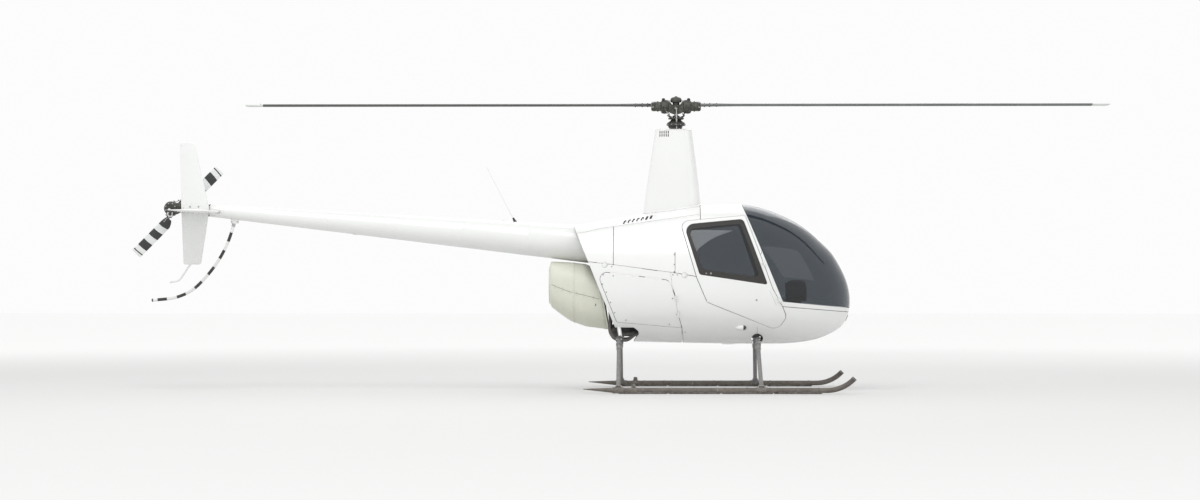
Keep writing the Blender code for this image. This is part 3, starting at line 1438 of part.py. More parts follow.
def make_lamps():
    """The nose light and the position lights on the sides of the tub."""
    nose = rod("nose_light", *NOSE_LIGHT, *NOSE_LIGHT_RADII, sides=20)
    lamps = [cut(nose, body_volume("tub", -SEAM))]
    x, y, z = NAV_LIGHT
    for name, side in (("right_nav_light", -1), ("left_nav_light", 1)):
        lamp = ball(name, (x, side * y, z), NAV_LIGHT_RADIUS, stretch=NAV_LIGHT_STRETCH)
        lamps.append(cut(lamp, body_volume("tub", -SEAM)))
    return lamps


def make_materials():
    """One Principled material for each colour in the table."""
    made = {}
    for name, (red, green, blue, roughness, metallic) in COLOURS.items():
        material = bpy.data.materials.new(name)
        material.use_nodes = True
        surface = material.node_tree.nodes["Principled BSDF"]
        surface.inputs["Base Color"].default_value = (red, green, blue, 1.0)
        surface.inputs["Roughness"].default_value = roughness
        surface.inputs["Metallic"].default_value = metallic
        made[name] = material
    return made


def axis_empty(name, place, parent):
    """An empty on a joint's axis, which carries the pieces that move about it."""
    empty = bpy.data.objects.new(name, None)
    empty.location = place
    empty.parent = parent
    PARTS.objects.link(empty)
    return empty


def joint_places():
    """The point on its axis at which each body hangs."""
    places = {
        "airframe": Vector((0, 0, 0)),
        "main_rotor": Vector((0, 0, BLADE_LEVEL)),
        "tail_rotor": Vector(TAIL_HUB),
        "cooling_fan": Vector((FAN_X[0], 0, INLET_HEIGHT)),
        "right_door": Vector(CABIN_DOOR_AXIS[0]),
        "right_engine_door": Vector(ENGINE_DOOR_AXIS[0]),
    }
    mirror = Matrix.Scale(-1, 3, (0, 1, 0))
    places["left_door"] = mirror @ places["right_door"]
    places["left_engine_door"] = mirror @ places["right_engine_door"]
    return places


def main():
    """Builds every piece, hangs the moving ones on their axes and centres the whole."""
    bodies = make_body_panels()
    fairing_pieces, rotor = make_mast_group()
    bodies["airframe"] += [*make_cabin(), *make_drive(), *fairing_pieces]
    bodies["airframe"] += [*make_tail(), *make_landing_gear(), *make_lamps()]
    bodies["main_rotor"] = rotor
    bodies["tail_rotor"] = make_tail_rotor()
    bodies["cooling_fan"] = [make_fan()]

    reach = [vert.co.x for pieces in bodies.values() for obj in pieces for vert in obj.data.vertices]
    root = axis_empty("root", (round(-(min(reach) + max(reach)) / 2, 4), 0, 0), None)
    materials = make_materials()
    finish_of = {node: finish for finish, nodes in FINISH.items() for node in nodes}
    places = joint_places()
    for body, pieces in bodies.items():
        place = places[body]
        carrier = root if body == "airframe" else axis_empty(f"{body}_axis", place, root)
        for obj in pieces:
            obj.data.transform(Matrix.Translation(-place))
            obj.parent = carrier
            obj.data.materials.clear()
            obj.data.materials.append(materials[finish_of[obj.name]])
            obj.data.shade_smooth()
            obj.data.set_sharp_from_angle(angle=CREASE_ANGLE)


main()
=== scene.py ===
"""A white two-seat helicopter on skids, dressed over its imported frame.

Sizes are metres measured from the rotor mast: X forward, Y to the left, Z up from the ground.
Every mesh is made in that measure and shifted by MAST_X into the frame's own measure.
"""

import logging
import math
from dataclasses import dataclass, field
from enum import Enum
from typing import Callable, Iterable, Sequence

import bmesh
import bpy
import numpy as np
from mathutils import Matrix, Vector
from mathutils.bvhtree import BVHTree
from mathutils.geometry import delaunay_2d_cdt
from mathutils.kdtree import KDTree


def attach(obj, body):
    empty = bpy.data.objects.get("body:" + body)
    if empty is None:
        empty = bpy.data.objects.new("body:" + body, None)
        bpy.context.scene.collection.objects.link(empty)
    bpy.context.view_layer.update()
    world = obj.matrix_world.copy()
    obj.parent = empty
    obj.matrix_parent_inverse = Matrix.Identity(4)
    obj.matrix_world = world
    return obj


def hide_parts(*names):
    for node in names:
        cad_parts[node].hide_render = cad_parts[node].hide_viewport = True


Point = Sequence[float]
Colour = tuple[float, float, float]

LOG = logging.getLogger("helicopter")
MAST_X = 0.5255
SIDES = (-1, 1)

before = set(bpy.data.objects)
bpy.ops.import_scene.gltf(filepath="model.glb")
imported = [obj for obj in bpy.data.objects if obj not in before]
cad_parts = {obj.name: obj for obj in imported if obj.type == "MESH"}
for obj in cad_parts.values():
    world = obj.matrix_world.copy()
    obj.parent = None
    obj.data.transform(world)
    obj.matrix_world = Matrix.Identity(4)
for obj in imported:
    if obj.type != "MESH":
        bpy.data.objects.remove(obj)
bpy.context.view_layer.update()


class Ride(Enum):
    """The bodies that the pieces ride on."""

    AIRFRAME = "airframe"
    RIGHT_DOOR = "right_door"
    LEFT_DOOR = "left_door"
    RIGHT_ENGINE_DOOR = "right_engine_door"
    LEFT_ENGINE_DOOR = "left_engine_door"
    MAIN_ROTOR = "main_rotor"
    TAIL_ROTOR = "tail_rotor"
    FAN = "cooling_fan"


class Axis(Enum):
    """A direction that a turned or extruded shape runs in."""

    X = (1.0, 0.0, 0.0)
    Y = (0.0, 1.0, 0.0)
    Z = (0.0, 0.0, 1.0)


DOOR_RIDES = {-1: (Ride.RIGHT_DOOR, Ride.RIGHT_ENGINE_DOOR), 1: (Ride.LEFT_DOOR, Ride.LEFT_ENGINE_DOOR)}


def side_word(side: int) -> str:
    """Gives "right" for -1 and "left" for 1."""
    return "right" if side < 0 else "left"


def sided(side: int, *points: Point) -> list[Vector]:
    """Gives points of the left side, or their mirror image on the right side."""
    return [Vector((x, side * y, z)) for x, y, z in points]


def smooth_path(points: Sequence[Point], steps: int = 8) -> list[Vector]:
    """Runs a smooth curve through some points.

    Args:
        points: The points that the curve passes.
        steps: How many stretches lie between two of them.

    Returns:
        The points of the curve, ends included.
    """
    knots = [Vector(p) for p in points]
    ends = [2 * knots[0] - knots[1], *knots, 2 * knots[-1] - knots[-2]]
    curve = []
    for before, start, stop, after in zip(ends, ends[1:], ends[2:], ends[3:]):
        for step in range(steps):
            t = step / steps
            curve.append(
                0.5 * (2 * start + (stop - before) * t + (2 * before - 5 * start + 4 * stop - after) * t * t
                       + (3 * start - before - 3 * stop + after) * t ** 3)
            )
    return [*curve, knots[-1]]


def bent_path(corners: Sequence[Point], radius: float, steps: int = 8) -> list[Vector]:
    """Rounds the inner corners of a bent line, as a tube bender does.

    Args:
        corners: The ends and corners of the line.
        radius: How far from each corner the bend starts.
        steps: How many stretches make one bend.

    Returns:
        The points of the bent line.
    """
    places = [Vector(c) for c in corners]
    path = [places[0]]
    for before, corner, after in zip(places, places[1:], places[2:]):
        back, on = before - corner, after - corner
        reach = min(radius, back.length / 2.01, on.length / 2.01)
        first, last = corner + back.normalized() * reach, corner + on.normalized() * reach
        for step in range(steps + 1):
            t = step / steps
            path.append(first * (1 - t) ** 2 + corner * 2 * t * (1 - t) + last * t * t)
    return [*path, places[-1]]


def rounded_outline(outline: Sequence[Point], steps: int = 8) -> list[Vector]:
    """Rounds the corners of a flat outline.

    Args:
        outline: Corners as (x, z) or (x, z, radius).
        steps: How many stretches make one rounded corner.

    Returns:
        The points of the outline.
    """
    points = []
    for index, entry in enumerate(outline):
        corner = Vector(entry[:2])
        radius = entry[2] if len(entry) > 2 else 0.0
        if not radius:
            points.append(corner)
            continue
        back = (Vector(outline[index - 1][:2]) - corner).normalized()
        on = (Vector(outline[(index + 1) % len(outline)][:2]) - corner).normalized()
        half = back.angle(on) / 2
        centre = corner + (back + on).normalized() * (radius / math.sin(half))
        first = corner + back * (radius / math.tan(half)) - centre
        sweep = first.angle_signed(corner + on * (radius / math.tan(half)) - centre)
        points += [centre + Matrix.Rotation(-sweep * step / steps, 2) @ first for step in range(steps + 1)]
    return points


def rounded_box(low: Point, high: Point, radius: float, steps: int) -> list[Vector]:
    """Gives a flat rectangle's outline with rounded corners, from its lowest and its highest corner."""
    left, bottom = low
    right, top = high
    corners = ((left, bottom), (right, bottom), (right, top), (left, top))
    return rounded_outline([(*corner, radius) for corner in corners], steps)


def grown(points: Sequence[Vector], distance: float) -> list[Vector]:
    """Moves a flat outline outwards, or inwards where the distance is negative."""
    area = sum(a.x * b.y - b.x * a.y for a, b in zip(points, [*points[1:], points[0]]))
    side = -distance if area > 0 else distance
    moved = []
    for index, corner in enumerate(points):
        back = (corner - points[index - 1]).normalized()
        on = (points[(index + 1) % len(points)] - corner).normalized()
        normals = Vector((-back.y, back.x)), Vector((-on.y, on.x))
        mitre = (normals[0] + normals[1]).normalized()
        moved.append(corner + mitre * (side / max(mitre.dot(normals[0]), 0.3)))
    return moved


def dense(points: Sequence[Vector], step: float, closed: bool = True) -> list[Vector]:
    """Adds points to a line, so that none lie further apart than the step."""
    ends = [*points, points[0]] if closed else list(points)
    result = []
    for start, stop in zip(ends, ends[1:]):
        count = max(1, math.ceil((stop - start).length / step))
        result += [start.lerp(stop, i / count) for i in range(count)]
    return result if closed else [*result, ends[-1]]


def frame_along(direction: Vector) -> Matrix:
    """Gives the turn that takes the Z axis to a direction."""
    return direction.to_track_quat("Z", "Y").to_matrix()


@dataclass
class Sketch:
    """One piece in the making: shapes are added to it one by one, then it is built as a single object."""

    work: bmesh.types.BMesh = field(default_factory=bmesh.new)

    def loft(self, rings: Sequence[Sequence[Point]], finish: int = 0, caps: bool = True,
             loop: bool = False) -> None:
        """Adds a skin through closed rings of equal length.

        Args:
            rings: The rings, each a list of points.
            finish: Which of the piece's finishes it takes.
            caps: Whether the first and last rings are filled.
            loop: Whether the last ring joins the first.
        """
        loops = [[self.work.verts.new(p) for p in ring] for ring in rings]
        pairs = list(zip(loops, loops[1:])) + ([(loops[-1], loops[0])] if loop else [])
        for near, far in pairs:
            for i, vert in enumerate(near):
                j = (i + 1) % len(near)
                self.work.faces.new((vert, near[j], far[j], far[i])).material_index = finish
        if caps and not loop:
            self.work.faces.new(loops[0][::-1]).material_index = finish
            self.work.faces.new(loops[-1]).material_index = finish

    def turned(self, profile: Sequence[Point], centre: Point, axis: Vector | Axis = Axis.Z, steps: int = 32,
               finish: int = 0, loop: bool = False) -> None:
        """Adds a profile turned round an axis.

        Args:
            profile: Points as (distance along the axis, radius), from one end to the other.
            centre: Where distance 0 lies.
            axis: The axis's direction.
            steps: How many sides the turned shape has.
            finish: Which of the piece's finishes it takes.
            loop: Whether the profile closes on itself, as for a ring, so that the middle stays open.
        """
        direction = Vector(axis.value if isinstance(axis, Axis) else axis).normalized()
        turn = frame_along(direction)
        rings = []
        for along, radius in profile:
            ring = [Vector((math.cos(a), math.sin(a), 0)) * max(radius, 1e-5) for a in angles(steps)]
            rings.append([Vector(centre) + turn @ (p + Vector((0, 0, along))) for p in ring])
        self.loft(rings, finish, loop=loop)

    def collar(self, ends: Point, middle: Point, centre: Point, axis: Vector | Axis = Axis.Z, steps: int = 32,
               finish: int = 0) -> None:
        """Adds a ring with sloping ends, the same before and behind its middle.

        Args:
            ends: Half its length, and its radius there.
            middle: Half the length of its level part, and its radius there.
            centre: Its middle point.
            axis: The axis that it goes round.
            steps: How many sides it has.
            finish: Which of the piece's finishes it takes.
        """
        (far, low), (near, high) = ends, middle
        self.turned([(-far, low), (-near, high), (near, high), (far, low)], centre, axis, steps, finish)

    def rod(self, start: Point, end: Point, radius: float, end_radius: float | None = None, steps: int = 24,
            finish: int = 0) -> None:
        """Adds a round bar, or a taper where the end's radius differs."""
        line = Vector(end) - Vector(start)
        last = radius if end_radius is None else end_radius
        self.turned([(0, radius), (line.length, last)], start, line, steps, finish)

    def tube(self, path: Sequence[Vector], radius: float | Callable[[float], float], steps: int = 16,
             finish: int = 0) -> None:
        """Adds a round bar along a path.

        Args:
            path: The points of the middle line.
            radius: The radius, or a function that gives it for a share of the path from 0 to 1.
            steps: How many sides it has.
            finish: Which of the piece's finishes it takes.
        """
        points = [Vector(p) for p in path]
        tangents = [(b - a).normalized() for a, b in zip([points[0], *points[:-1]],
                                                         [*points[1:], points[-1]])]
        up = Vector((0, 0, 1)) if abs(tangents[0].z) < 0.9 else Vector((1, 0, 0))
        across = tangents[0].cross(up).normalized()
        rings = []
        for index, (place, tangent) in enumerate(zip(points, tangents)):
            across = (across - tangent * across.dot(tangent)).normalized()
            second = tangent.cross(across)
            size = radius(index / (len(points) - 1)) if callable(radius) else radius
            rings.append([place + across * size * math.cos(a) + second * size * math.sin(a)
                          for a in angles(steps)])
        self.loft(rings, finish)

    def block(self, low: Point, high: Point, edge: float = 0.004, finish: int = 0, turn: Matrix | None = None,
              pivot: Point = (0, 0, 0)) -> None:
        """Adds a box with rounded edges.

        Args:
            low: Its lowest corner.
            high: Its highest corner.
            edge: The radius of its edges.
            finish: Which of the piece's finishes it takes.
            turn: A turn about the pivot.
            pivot: The point that the turn keeps in place.
        """
        made = bmesh.new()
        bmesh.ops.create_cube(made, size=1.0)
        low, high = Vector(map(min, low, high)), Vector(map(max, low, high))
        for vert in made.verts:
            vert.co = Vector(l + (h - l) * (c + 0.5) for l, h, c in zip(low, high, vert.co))
        room = min(high - low) * 0.45
        bmesh.ops.bevel(made, geom=made.edges[:], offset=min(edge, room), segments=2, profile=0.5,
                        affect="EDGES")
        if turn is not None:
            place = Matrix.Translation(pivot) @ turn.to_4x4() @ Matrix.Translation(-Vector(pivot))
            bmesh.ops.transform(made, matrix=place, verts=made.verts)
        self.add(made, finish)

    def plate(self, outline: Sequence[Point], near: float, far: float, axis: Axis = Axis.Y,
              finish: int = 0) -> None:
        """Adds a flat plate: an outline drawn across the axis and thickened along it.

        Args:
            outline: The outline's points, as (x, z) across Y, (y, z) across X or (x, y) across Z.
            near: Where it starts along the axis.
            far: Where it ends.
            axis: The axis that it is thick along.
            finish: Which of the piece's finishes it takes.
        """
        put = {
            Axis.X: lambda p, d: Vector((d, p[0], p[1])),
            Axis.Y: lambda p, d: Vector((p[0], d, p[1])),
            Axis.Z: lambda p, d: Vector((p[0], p[1], d)),
        }[axis]
        self.loft([[put(p, near) for p in outline], [put(p, far) for p in outline]], finish)

    def bolt(self, place: Point, axis: Point, size: float = 0.006, finish: int = 0) -> None:
        """Adds a hexagon bolt head on its washer, standing out along an axis."""
        out = Vector(axis).normalized()
        start = Vector(place) - out * size * 0.3
        self.turned([(0, size * 1.35), (size * 0.45, size * 1.35), (size * 0.5, size * 1.2)], start, out, 14,
                    finish)
        head = [(size * 0.5, size), (size * 1.1, size), (size * 1.25, size * 0.8)]
        self.turned(head, start, out, 6, finish)

    def add(self, made: bmesh.types.BMesh, finish: int | None = 0) -> None:
        """Takes in another mesh and frees it. With no finish given, its faces keep theirs."""
        mesh = bpy.data.meshes.new("taken")
        for face in made.faces if finish is not None else ():
            face.material_index = finish
        made.to_mesh(mesh)
        made.free()
        self.work.from_mesh(mesh)
        bpy.data.meshes.remove(mesh)

    def mirror(self) -> None:
        """Adds the mirror image of all that is there, across the middle of the machine."""
        copy = self.work.copy()
        for vert in copy.verts:
            vert.co.y = -vert.co.y
        self.add(copy, None)

    def build(self, name: str, ride: Ride, finishes: Sequence["Finish"], replaces: Iterable[str] = (),
              bevel: float = 0.0, angle: float = 35.0) -> bpy.types.Object:
        """Makes the object, sets its finishes and lets it ride.

        Args:
            name: The piece's name.
            ride: The body that it moves with.
            finishes: The finishes that the shapes' numbers pick from.
            replaces: The solids that it stands for.
            bevel: The radius of a small round on every sharp edge.
            angle: Edges sharper than this many degrees stay crisp.

        Returns:
            The object.
        """
        bmesh.ops.recalc_face_normals(self.work, faces=self.work.faces)
        mesh = bpy.data.meshes.new(name)
        self.work.to_mesh(mesh)
        self.work.free()
        return dress(mesh, name, ride, finishes, replaces, bevel, angle)


def angles(steps: int, shift: float = 0.0) -> list[float]:
    """Gives equal angles round a whole turn, shifted by a share of one step."""
    return [2 * math.pi * (step + shift) / steps for step in range(steps)]


def round_about(steps: int, shift: float = 0.0) -> list[tuple[float, float]]:
    """Gives the cosines and sines of equal angles round a whole turn."""
    return [(math.cos(angle), math.sin(angle)) for angle in angles(steps, shift)]


def dress(mesh: bpy.types.Mesh, name: str, ride: Ride, finishes: Sequence["Finish"],
          replaces: Iterable[str] = (), bevel: float = 0.0, angle: float = 35.0) -> bpy.types.Object:
    """Makes a finished, riding object of a mesh that is measured from the mast."""
    mesh.transform(Matrix.Translation((MAST_X, 0, 0)))
    for finish in finishes:
        mesh.materials.append(finish.material())
    if angle:
        mesh.shade_smooth()
        mesh.set_sharp_from_angle(angle=math.radians(angle))
    obj = bpy.data.objects.new(name, mesh)
    bpy.context.scene.collection.objects.link(obj)
    if bevel:
        rounding = obj.modifiers.new("Edges", "BEVEL")
        rounding.width = bevel
        rounding.segments = 2
        rounding.limit_method = "ANGLE"
        rounding.angle_limit = math.radians(angle)
        rounding.harden_normals = True
    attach(obj, ride.value)
    if replaces:
        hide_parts(*replaces)
    LOG.info("%s: %d faces on %s", name, len(mesh.polygons), ride.value)
    return obj


@dataclass
class Graph:
    """A short way to place shader nodes and join them."""

    tree: bpy.types.NodeTree

    def node(self, kind: str, **settings: object) -> bpy.types.Node:
        """Places a node and sets its own properties."""
        made = self.tree.nodes.new(kind)
        for key, value in settings.items():
            setattr(made, key, value)
        return made

    def put(self, socket: bpy.types.NodeSocket, value: object) -> None:
        """Joins a socket to another one, or sets it to a plain value."""
        if isinstance(value, bpy.types.NodeSocket):
            self.tree.links.new(value, socket)
        elif isinstance(value, tuple) and len(value) == 3 and socket.type == "RGBA":
            socket.default_value = (*value, 1.0)
        else:
            socket.default_value = value

    def math(self, operation: str, first: object, second: object = 0.0,
             clamp: bool = False) -> bpy.types.NodeSocket:
        """Gives the result of one sum."""
        made = self.node("ShaderNodeMath", operation=operation, use_clamp=clamp)
        self.put(made.inputs[0], first)
        self.put(made.inputs[1], second)
        return made.outputs[0]

    def mix(self, share: object, first: object, second: object) -> bpy.types.NodeSocket:
        """Gives a colour between two others."""
        made = self.node("ShaderNodeMix", data_type="RGBA")
        self.put(made.inputs["Factor"], share)
        self.put(made.inputs[6], first)
        self.put(made.inputs[7], second)
        return made.outputs[2]

    def between(self, value: object, low: float, high: float, start: float = 0.0, stop: float = 1.0
                ) -> bpy.types.NodeSocket:
        """Spreads a value from one range over another, held at its ends."""
        made = self.node("ShaderNodeMapRange")
        for socket, given in zip(made.inputs, (value, low, high, start, stop)):
            self.put(socket, given)
        return made.outputs[0]

    def noise(self, place: object, scale: object, detail: float = 3.0,
              rough: float = 0.55) -> bpy.types.NodeSocket:
        """Gives a cloudy value from 0 to 1."""
        made = self.node("ShaderNodeTexNoise")
        self.put(made.inputs["Vector"], place)
        self.put(made.inputs["Scale"], scale)
        self.put(made.inputs["Detail"], detail)
        self.put(made.inputs["Roughness"], rough)
        return made.outputs["Fac"]

    def group(self, tree: bpy.types.NodeTree, **inputs: object) -> bpy.types.Node:
        """Places a shared effect with its own values."""
        made = self.node("ShaderNodeGroup", node_tree=tree)
        for name, value in inputs.items():
            self.put(made.inputs[name.replace("_", " ").title()], value)
        return made


class Effect(Enum):
    """The effects that several finishes share, each a node group."""

    MOTTLE = "mottle"
    WEAR = "edge_wear"
    DUST = "settled_dust"
    GRAIN = "fine_grain"

    def tree(self) -> bpy.types.NodeTree:
        """Gives the effect's node group, made when it is first asked for."""
        return bpy.data.node_groups.get(self.value) or self.make()

    def make(self) -> bpy.types.NodeTree:
        """Builds the node group.

        Returns:
            The group, with its named sockets.
        """
        sockets = {
            Effect.MOTTLE: (("Scale", "Strength", "Colour", "Second"), ("Colour", "Mask")),
            Effect.WEAR: (("Amount", "Scale"), ("Mask",)),
            Effect.DUST: (("Amount", "Level"), ("Mask",)),
            Effect.GRAIN: (("Scale", "Stretch"), ("Height", "Mask")),
        }[self]
        tree = bpy.data.node_groups.new(self.value, "ShaderNodeTree")
        for name in sockets[0]:
            kind = "NodeSocketColor" if name in ("Colour", "Second") else "NodeSocketFloat"
            tree.interface.new_socket(name, in_out="INPUT", socket_type=kind)
        for name in sockets[1]:
            kind = "NodeSocketColor" if name == "Colour" else "NodeSocketFloat"
            tree.interface.new_socket(name, in_out="OUTPUT", socket_type=kind)
        graph = Graph(tree)
        given = graph.node("NodeGroupInput").outputs
        result = graph.node("NodeGroupOutput").inputs
        place = graph.node("ShaderNodeTexCoord").outputs["Object"]
        if self is Effect.MOTTLE:
            broad = graph.noise(place, given["Scale"], 4.0, 0.6)
            mask = graph.between(broad, 0.35, 0.65)
            share = graph.math("MULTIPLY", mask, given["Strength"], clamp=True)
            graph.put(result["Mask"], mask)
            graph.put(result["Colour"], graph.mix(share, given["Colour"], given["Second"]))
        elif self is Effect.WEAR:
            bend = graph.node("ShaderNodeNewGeometry").outputs["Pointiness"]
            edge = graph.between(bend, 0.505, 0.56)
            patchy = graph.between(graph.noise(place, given["Scale"], 5.0, 0.7), 0.42, 0.62)
            share = graph.math("MULTIPLY", edge, patchy)
            graph.put(result["Mask"], graph.math("MULTIPLY", share, given["Amount"], clamp=True))
        elif self is Effect.DUST:
            split = graph.node("ShaderNodeSeparateXYZ")
            graph.put(split.inputs[0], place)
            low = graph.math("SUBTRACT", 1.0, graph.math("DIVIDE", split.outputs["Z"], given["Level"]),
                             clamp=True)
            patchy = graph.between(graph.noise(place, 9.0, 6.0, 0.65), 0.35, 0.75)
            share = graph.math("MULTIPLY", low, graph.math("ADD", patchy, 0.35))
            graph.put(result["Mask"], graph.math("MULTIPLY", share, given["Amount"], clamp=True))
        else:
            size = graph.node("ShaderNodeCombineXYZ")
            for socket, value in zip(size.inputs, (given["Stretch"], 1.0, 1.0)):
                graph.put(socket, value)
            drawn = graph.node("ShaderNodeVectorMath", operation="MULTIPLY")
            graph.put(drawn.inputs[0], place)
            graph.put(drawn.inputs[1], size.outputs[0])
            fine = graph.noise(drawn.outputs[0], given["Scale"], 2.0, 0.5)
            graph.put(result["Height"], fine)
            graph.put(result["Mask"], graph.between(fine, 0.35, 0.65))
        return tree


@dataclass(frozen=True)
class Finish:
    """How a surface is painted, cast, moulded or woven.

    The colours are linear. A second colour shows through the first in broad patches, the worn colour on
    edges, and dust lies below the dust level.
    """

    name: str
    slot: str
    colour: Colour
    second: Colour
    roughness: float = 0.4
    spread: float = 0.08
    metallic: float = 0.0
    coat: float = 0.0
    mottle: float = 0.5
    mottle_scale: float = 3.0
    grain: float = 300.0
    stretch: float = 1.0
    depth: float = 0.05
    worn: Colour = (0.35, 0.35, 0.34)
    wear: float = 0.3
    dust: Colour = (0.30, 0.27, 0.22)
    dust_amount: float = 0.15
    dust_level: float = 1.5

    def material(self) -> bpy.types.Material:
        """Gives the finish's material, made when it is first asked for."""
        return bpy.data.materials.get(self.name) or self.make()

    def pattern(self, graph: Graph) -> tuple[object, object]:
        """Gives the two colours that the surface is mottled from."""
        return self.colour, self.second

    def relief(self, graph: Graph, height: bpy.types.NodeSocket) -> bpy.types.NodeSocket:
        """Gives the height that the surface's bump follows."""
        return height

    def dress_shader(self, graph: Graph, shader: bpy.types.Node) -> None:
        """Sets what only this kind of finish has."""

    def make(self) -> bpy.types.Material:
        """Builds the material's nodes.

        Returns:
            The material.
        """
        material = bpy.data.materials.new(self.name)
        material.use_nodes = True
        graph = Graph(material.node_tree)
        shader = material.node_tree.nodes["Principled BSDF"]
        first, second = self.pattern(graph)
        mottled = graph.group(Effect.MOTTLE.tree(), scale=self.mottle_scale, strength=self.mottle,
                              colour=first, second=second)
        worn = graph.group(Effect.WEAR.tree(), amount=self.wear, scale=40.0).outputs["Mask"]
        dusty = graph.group(Effect.DUST.tree(), amount=self.dust_amount,
                            level=self.dust_level).outputs["Mask"]
        grain = graph.group(Effect.GRAIN.tree(), scale=self.grain, stretch=self.stretch)
        colour = graph.mix(worn, mottled.outputs["Colour"], self.worn)
        graph.put(shader.inputs["Base Color"], graph.mix(dusty, colour, self.dust))
        rough = graph.between(mottled.outputs["Mask"], 0.0, 1.0, self.roughness, self.roughness + self.spread)
        graph.put(shader.inputs["Roughness"], graph.math("ADD", rough, graph.math("MULTIPLY", dusty, 0.4),
                                                         True))
        shader.inputs["Metallic"].default_value = self.metallic
        shader.inputs["Coat Weight"].default_value = self.coat
        bump = graph.node("ShaderNodeBump")
        bump.inputs["Strength"].default_value = min(1.0, self.depth * 10)
        bump.inputs["Distance"].default_value = 0.0005
        graph.put(bump.inputs["Height"], self.relief(graph, grain.outputs["Height"]))
        graph.put(shader.inputs["Normal"], bump.outputs[0])
        self.dress_shader(graph, shader)
        return material


@dataclass(frozen=True)
class Banded(Finish):
    """Paint in bands, whose edges are distances from a hub, as on rotor blades.

    The first colour lies inside the first edge. From there on a band runs from each edge to the next, in
    the light colour and the first by turns.
    """

    centre: tuple[float, float, float] = (0.0, 0.0, 0.0)
    spread_axes: tuple[float, float, float] = (1.0, 0.0, 0.0)
    edges: tuple[float, ...] = ()
    light: Colour = (0.75, 0.76, 0.74)

    def pattern(self, graph: Graph) -> tuple[object, object]:
        """Gives the banded colour, and the same a little darker."""
        place = graph.node("ShaderNodeTexCoord").outputs["Object"]
        off = graph.node("ShaderNodeVectorMath", operation="SUBTRACT")
        graph.put(off.inputs[0], place)
        graph.put(off.inputs[1], (self.centre[0] + MAST_X, self.centre[1], self.centre[2]))
        kept = graph.node("ShaderNodeVectorMath", operation="MULTIPLY")
        graph.put(kept.inputs[0], off.outputs[0])
        graph.put(kept.inputs[1], self.spread_axes)
        length = graph.node("ShaderNodeVectorMath", operation="LENGTH")
        graph.put(length.inputs[0], kept.outputs[0])
        ramp = graph.node("ShaderNodeValToRGB")
        ramp.color_ramp.interpolation = "CONSTANT"
        reach = self.edges[-1] * 1.01
        ramp.color_ramp.elements[0].color = (*self.colour, 1.0)
        ramp.color_ramp.elements.remove(ramp.color_ramp.elements[1])
        for index, edge in enumerate(self.edges[:-1]):
            stop = ramp.color_ramp.elements.new(edge / reach)
            stop.color = (*(self.colour if index % 2 else self.light), 1.0)
        graph.put(ramp.inputs[0], graph.math("DIVIDE", length.outputs["Value"], reach))
        return ramp.outputs["Color"], graph.mix(0.12, ramp.outputs["Color"], self.second)


@dataclass(frozen=True)
class Glass(Finish):
    """Tinted glass or a clear lens."""

    through: float = 1.0

    def dress_shader(self, graph: Graph, shader: bpy.types.Node) -> None:
        """Lets light through."""
        shader.inputs["Transmission Weight"].default_value = self.through
        shader.inputs["IOR"].default_value = 1.49


@dataclass(frozen=True)
class Woven(Finish):
    """Cloth or carpet, woven from two sets of threads."""

    threads: float = 500.0

    def relief(self, graph: Graph, height: bpy.types.NodeSocket) -> bpy.types.NodeSocket:
        """Gives the threads' height over the fine grain's."""
        place = graph.node("ShaderNodeTexCoord").outputs["Object"]
        total = height
        for direction in ("X", "Y", "Z"):
            wave = graph.node("ShaderNodeTexWave", wave_type="BANDS", bands_direction=direction)
            graph.put(wave.inputs["Vector"], place)
            wave.inputs["Scale"].default_value = self.threads / 6.283
            total = graph.math("ADD", total, wave.outputs["Fac"])
        return total

    def dress_shader(self, graph: Graph, shader: bpy.types.Node) -> None:
        """Gives the cloth its soft sheen."""
        shader.inputs["Sheen Weight"].default_value = 0.35
        shader.inputs["Sheen Roughness"].default_value = 0.5


@dataclass(frozen=True)
class Hide(Finish):
    """Leather, with its pebbled grain."""

    pebbles: float = 420.0

    def relief(self, graph: Graph, height: bpy.types.NodeSocket) -> bpy.types.NodeSocket:
        """Gives the creases between the pebbles."""
        cells = graph.node("ShaderNodeTexVoronoi", feature="DISTANCE_TO_EDGE")
        graph.put(cells.inputs["Vector"], graph.node("ShaderNodeTexCoord").outputs["Object"])
        cells.inputs["Scale"].default_value = self.pebbles
        crease = graph.between(cells.outputs["Distance"], 0.0, 0.25)
        return graph.math("ADD", crease, graph.math("MULTIPLY", height, 0.4))


@dataclass(frozen=True)
class Lit(Finish):
    """A lens with a faint painted glow in it, for lamps and for sight glasses alike."""

    glow: float = 0.15

    def dress_shader(self, graph: Graph, shader: bpy.types.Node) -> None:
        """Paints a faint glow into the lens, which no lamp in the scene gives it."""
        shader.inputs["Transmission Weight"].default_value = 0.5
        shader.inputs["Emission Color"].default_value = (*self.colour, 1.0)
        shader.inputs["Emission Strength"].default_value = self.glow


WHITE = Finish("white_gloss_paint", "white_paint", (0.80, 0.81, 0.80), (0.77, 0.78, 0.765), roughness=0.16,
               spread=0.06, coat=0.6, mottle_scale=1.4, grain=190.0, depth=0.012, worn=(0.55, 0.55, 0.53),
               wear=0.25, dust_amount=0.10, dust_level=0.9)
CREAM = Finish("cream_shroud_paint", "cream_paint", (0.67, 0.68, 0.585), (0.61, 0.625, 0.52), roughness=0.38,
               mottle_scale=4.0, grain=140.0, depth=0.03, worn=(0.45, 0.45, 0.38), wear=0.3, dust_amount=0.12)
BLACK = Finish("satin_black_paint", "black_paint", (0.022, 0.022, 0.022), (0.035, 0.034, 0.032),
               roughness=0.42, grain=260.0, depth=0.03, worn=(0.16, 0.16, 0.155), wear=0.5, dust_amount=0.1)
RUBBER = Finish("window_rubber", "black_paint", (0.020, 0.019, 0.018), (0.034, 0.032, 0.030), roughness=0.55,
                grain=400.0, depth=0.05, worn=(0.06, 0.06, 0.06), wear=0.2, dust_amount=0.05)
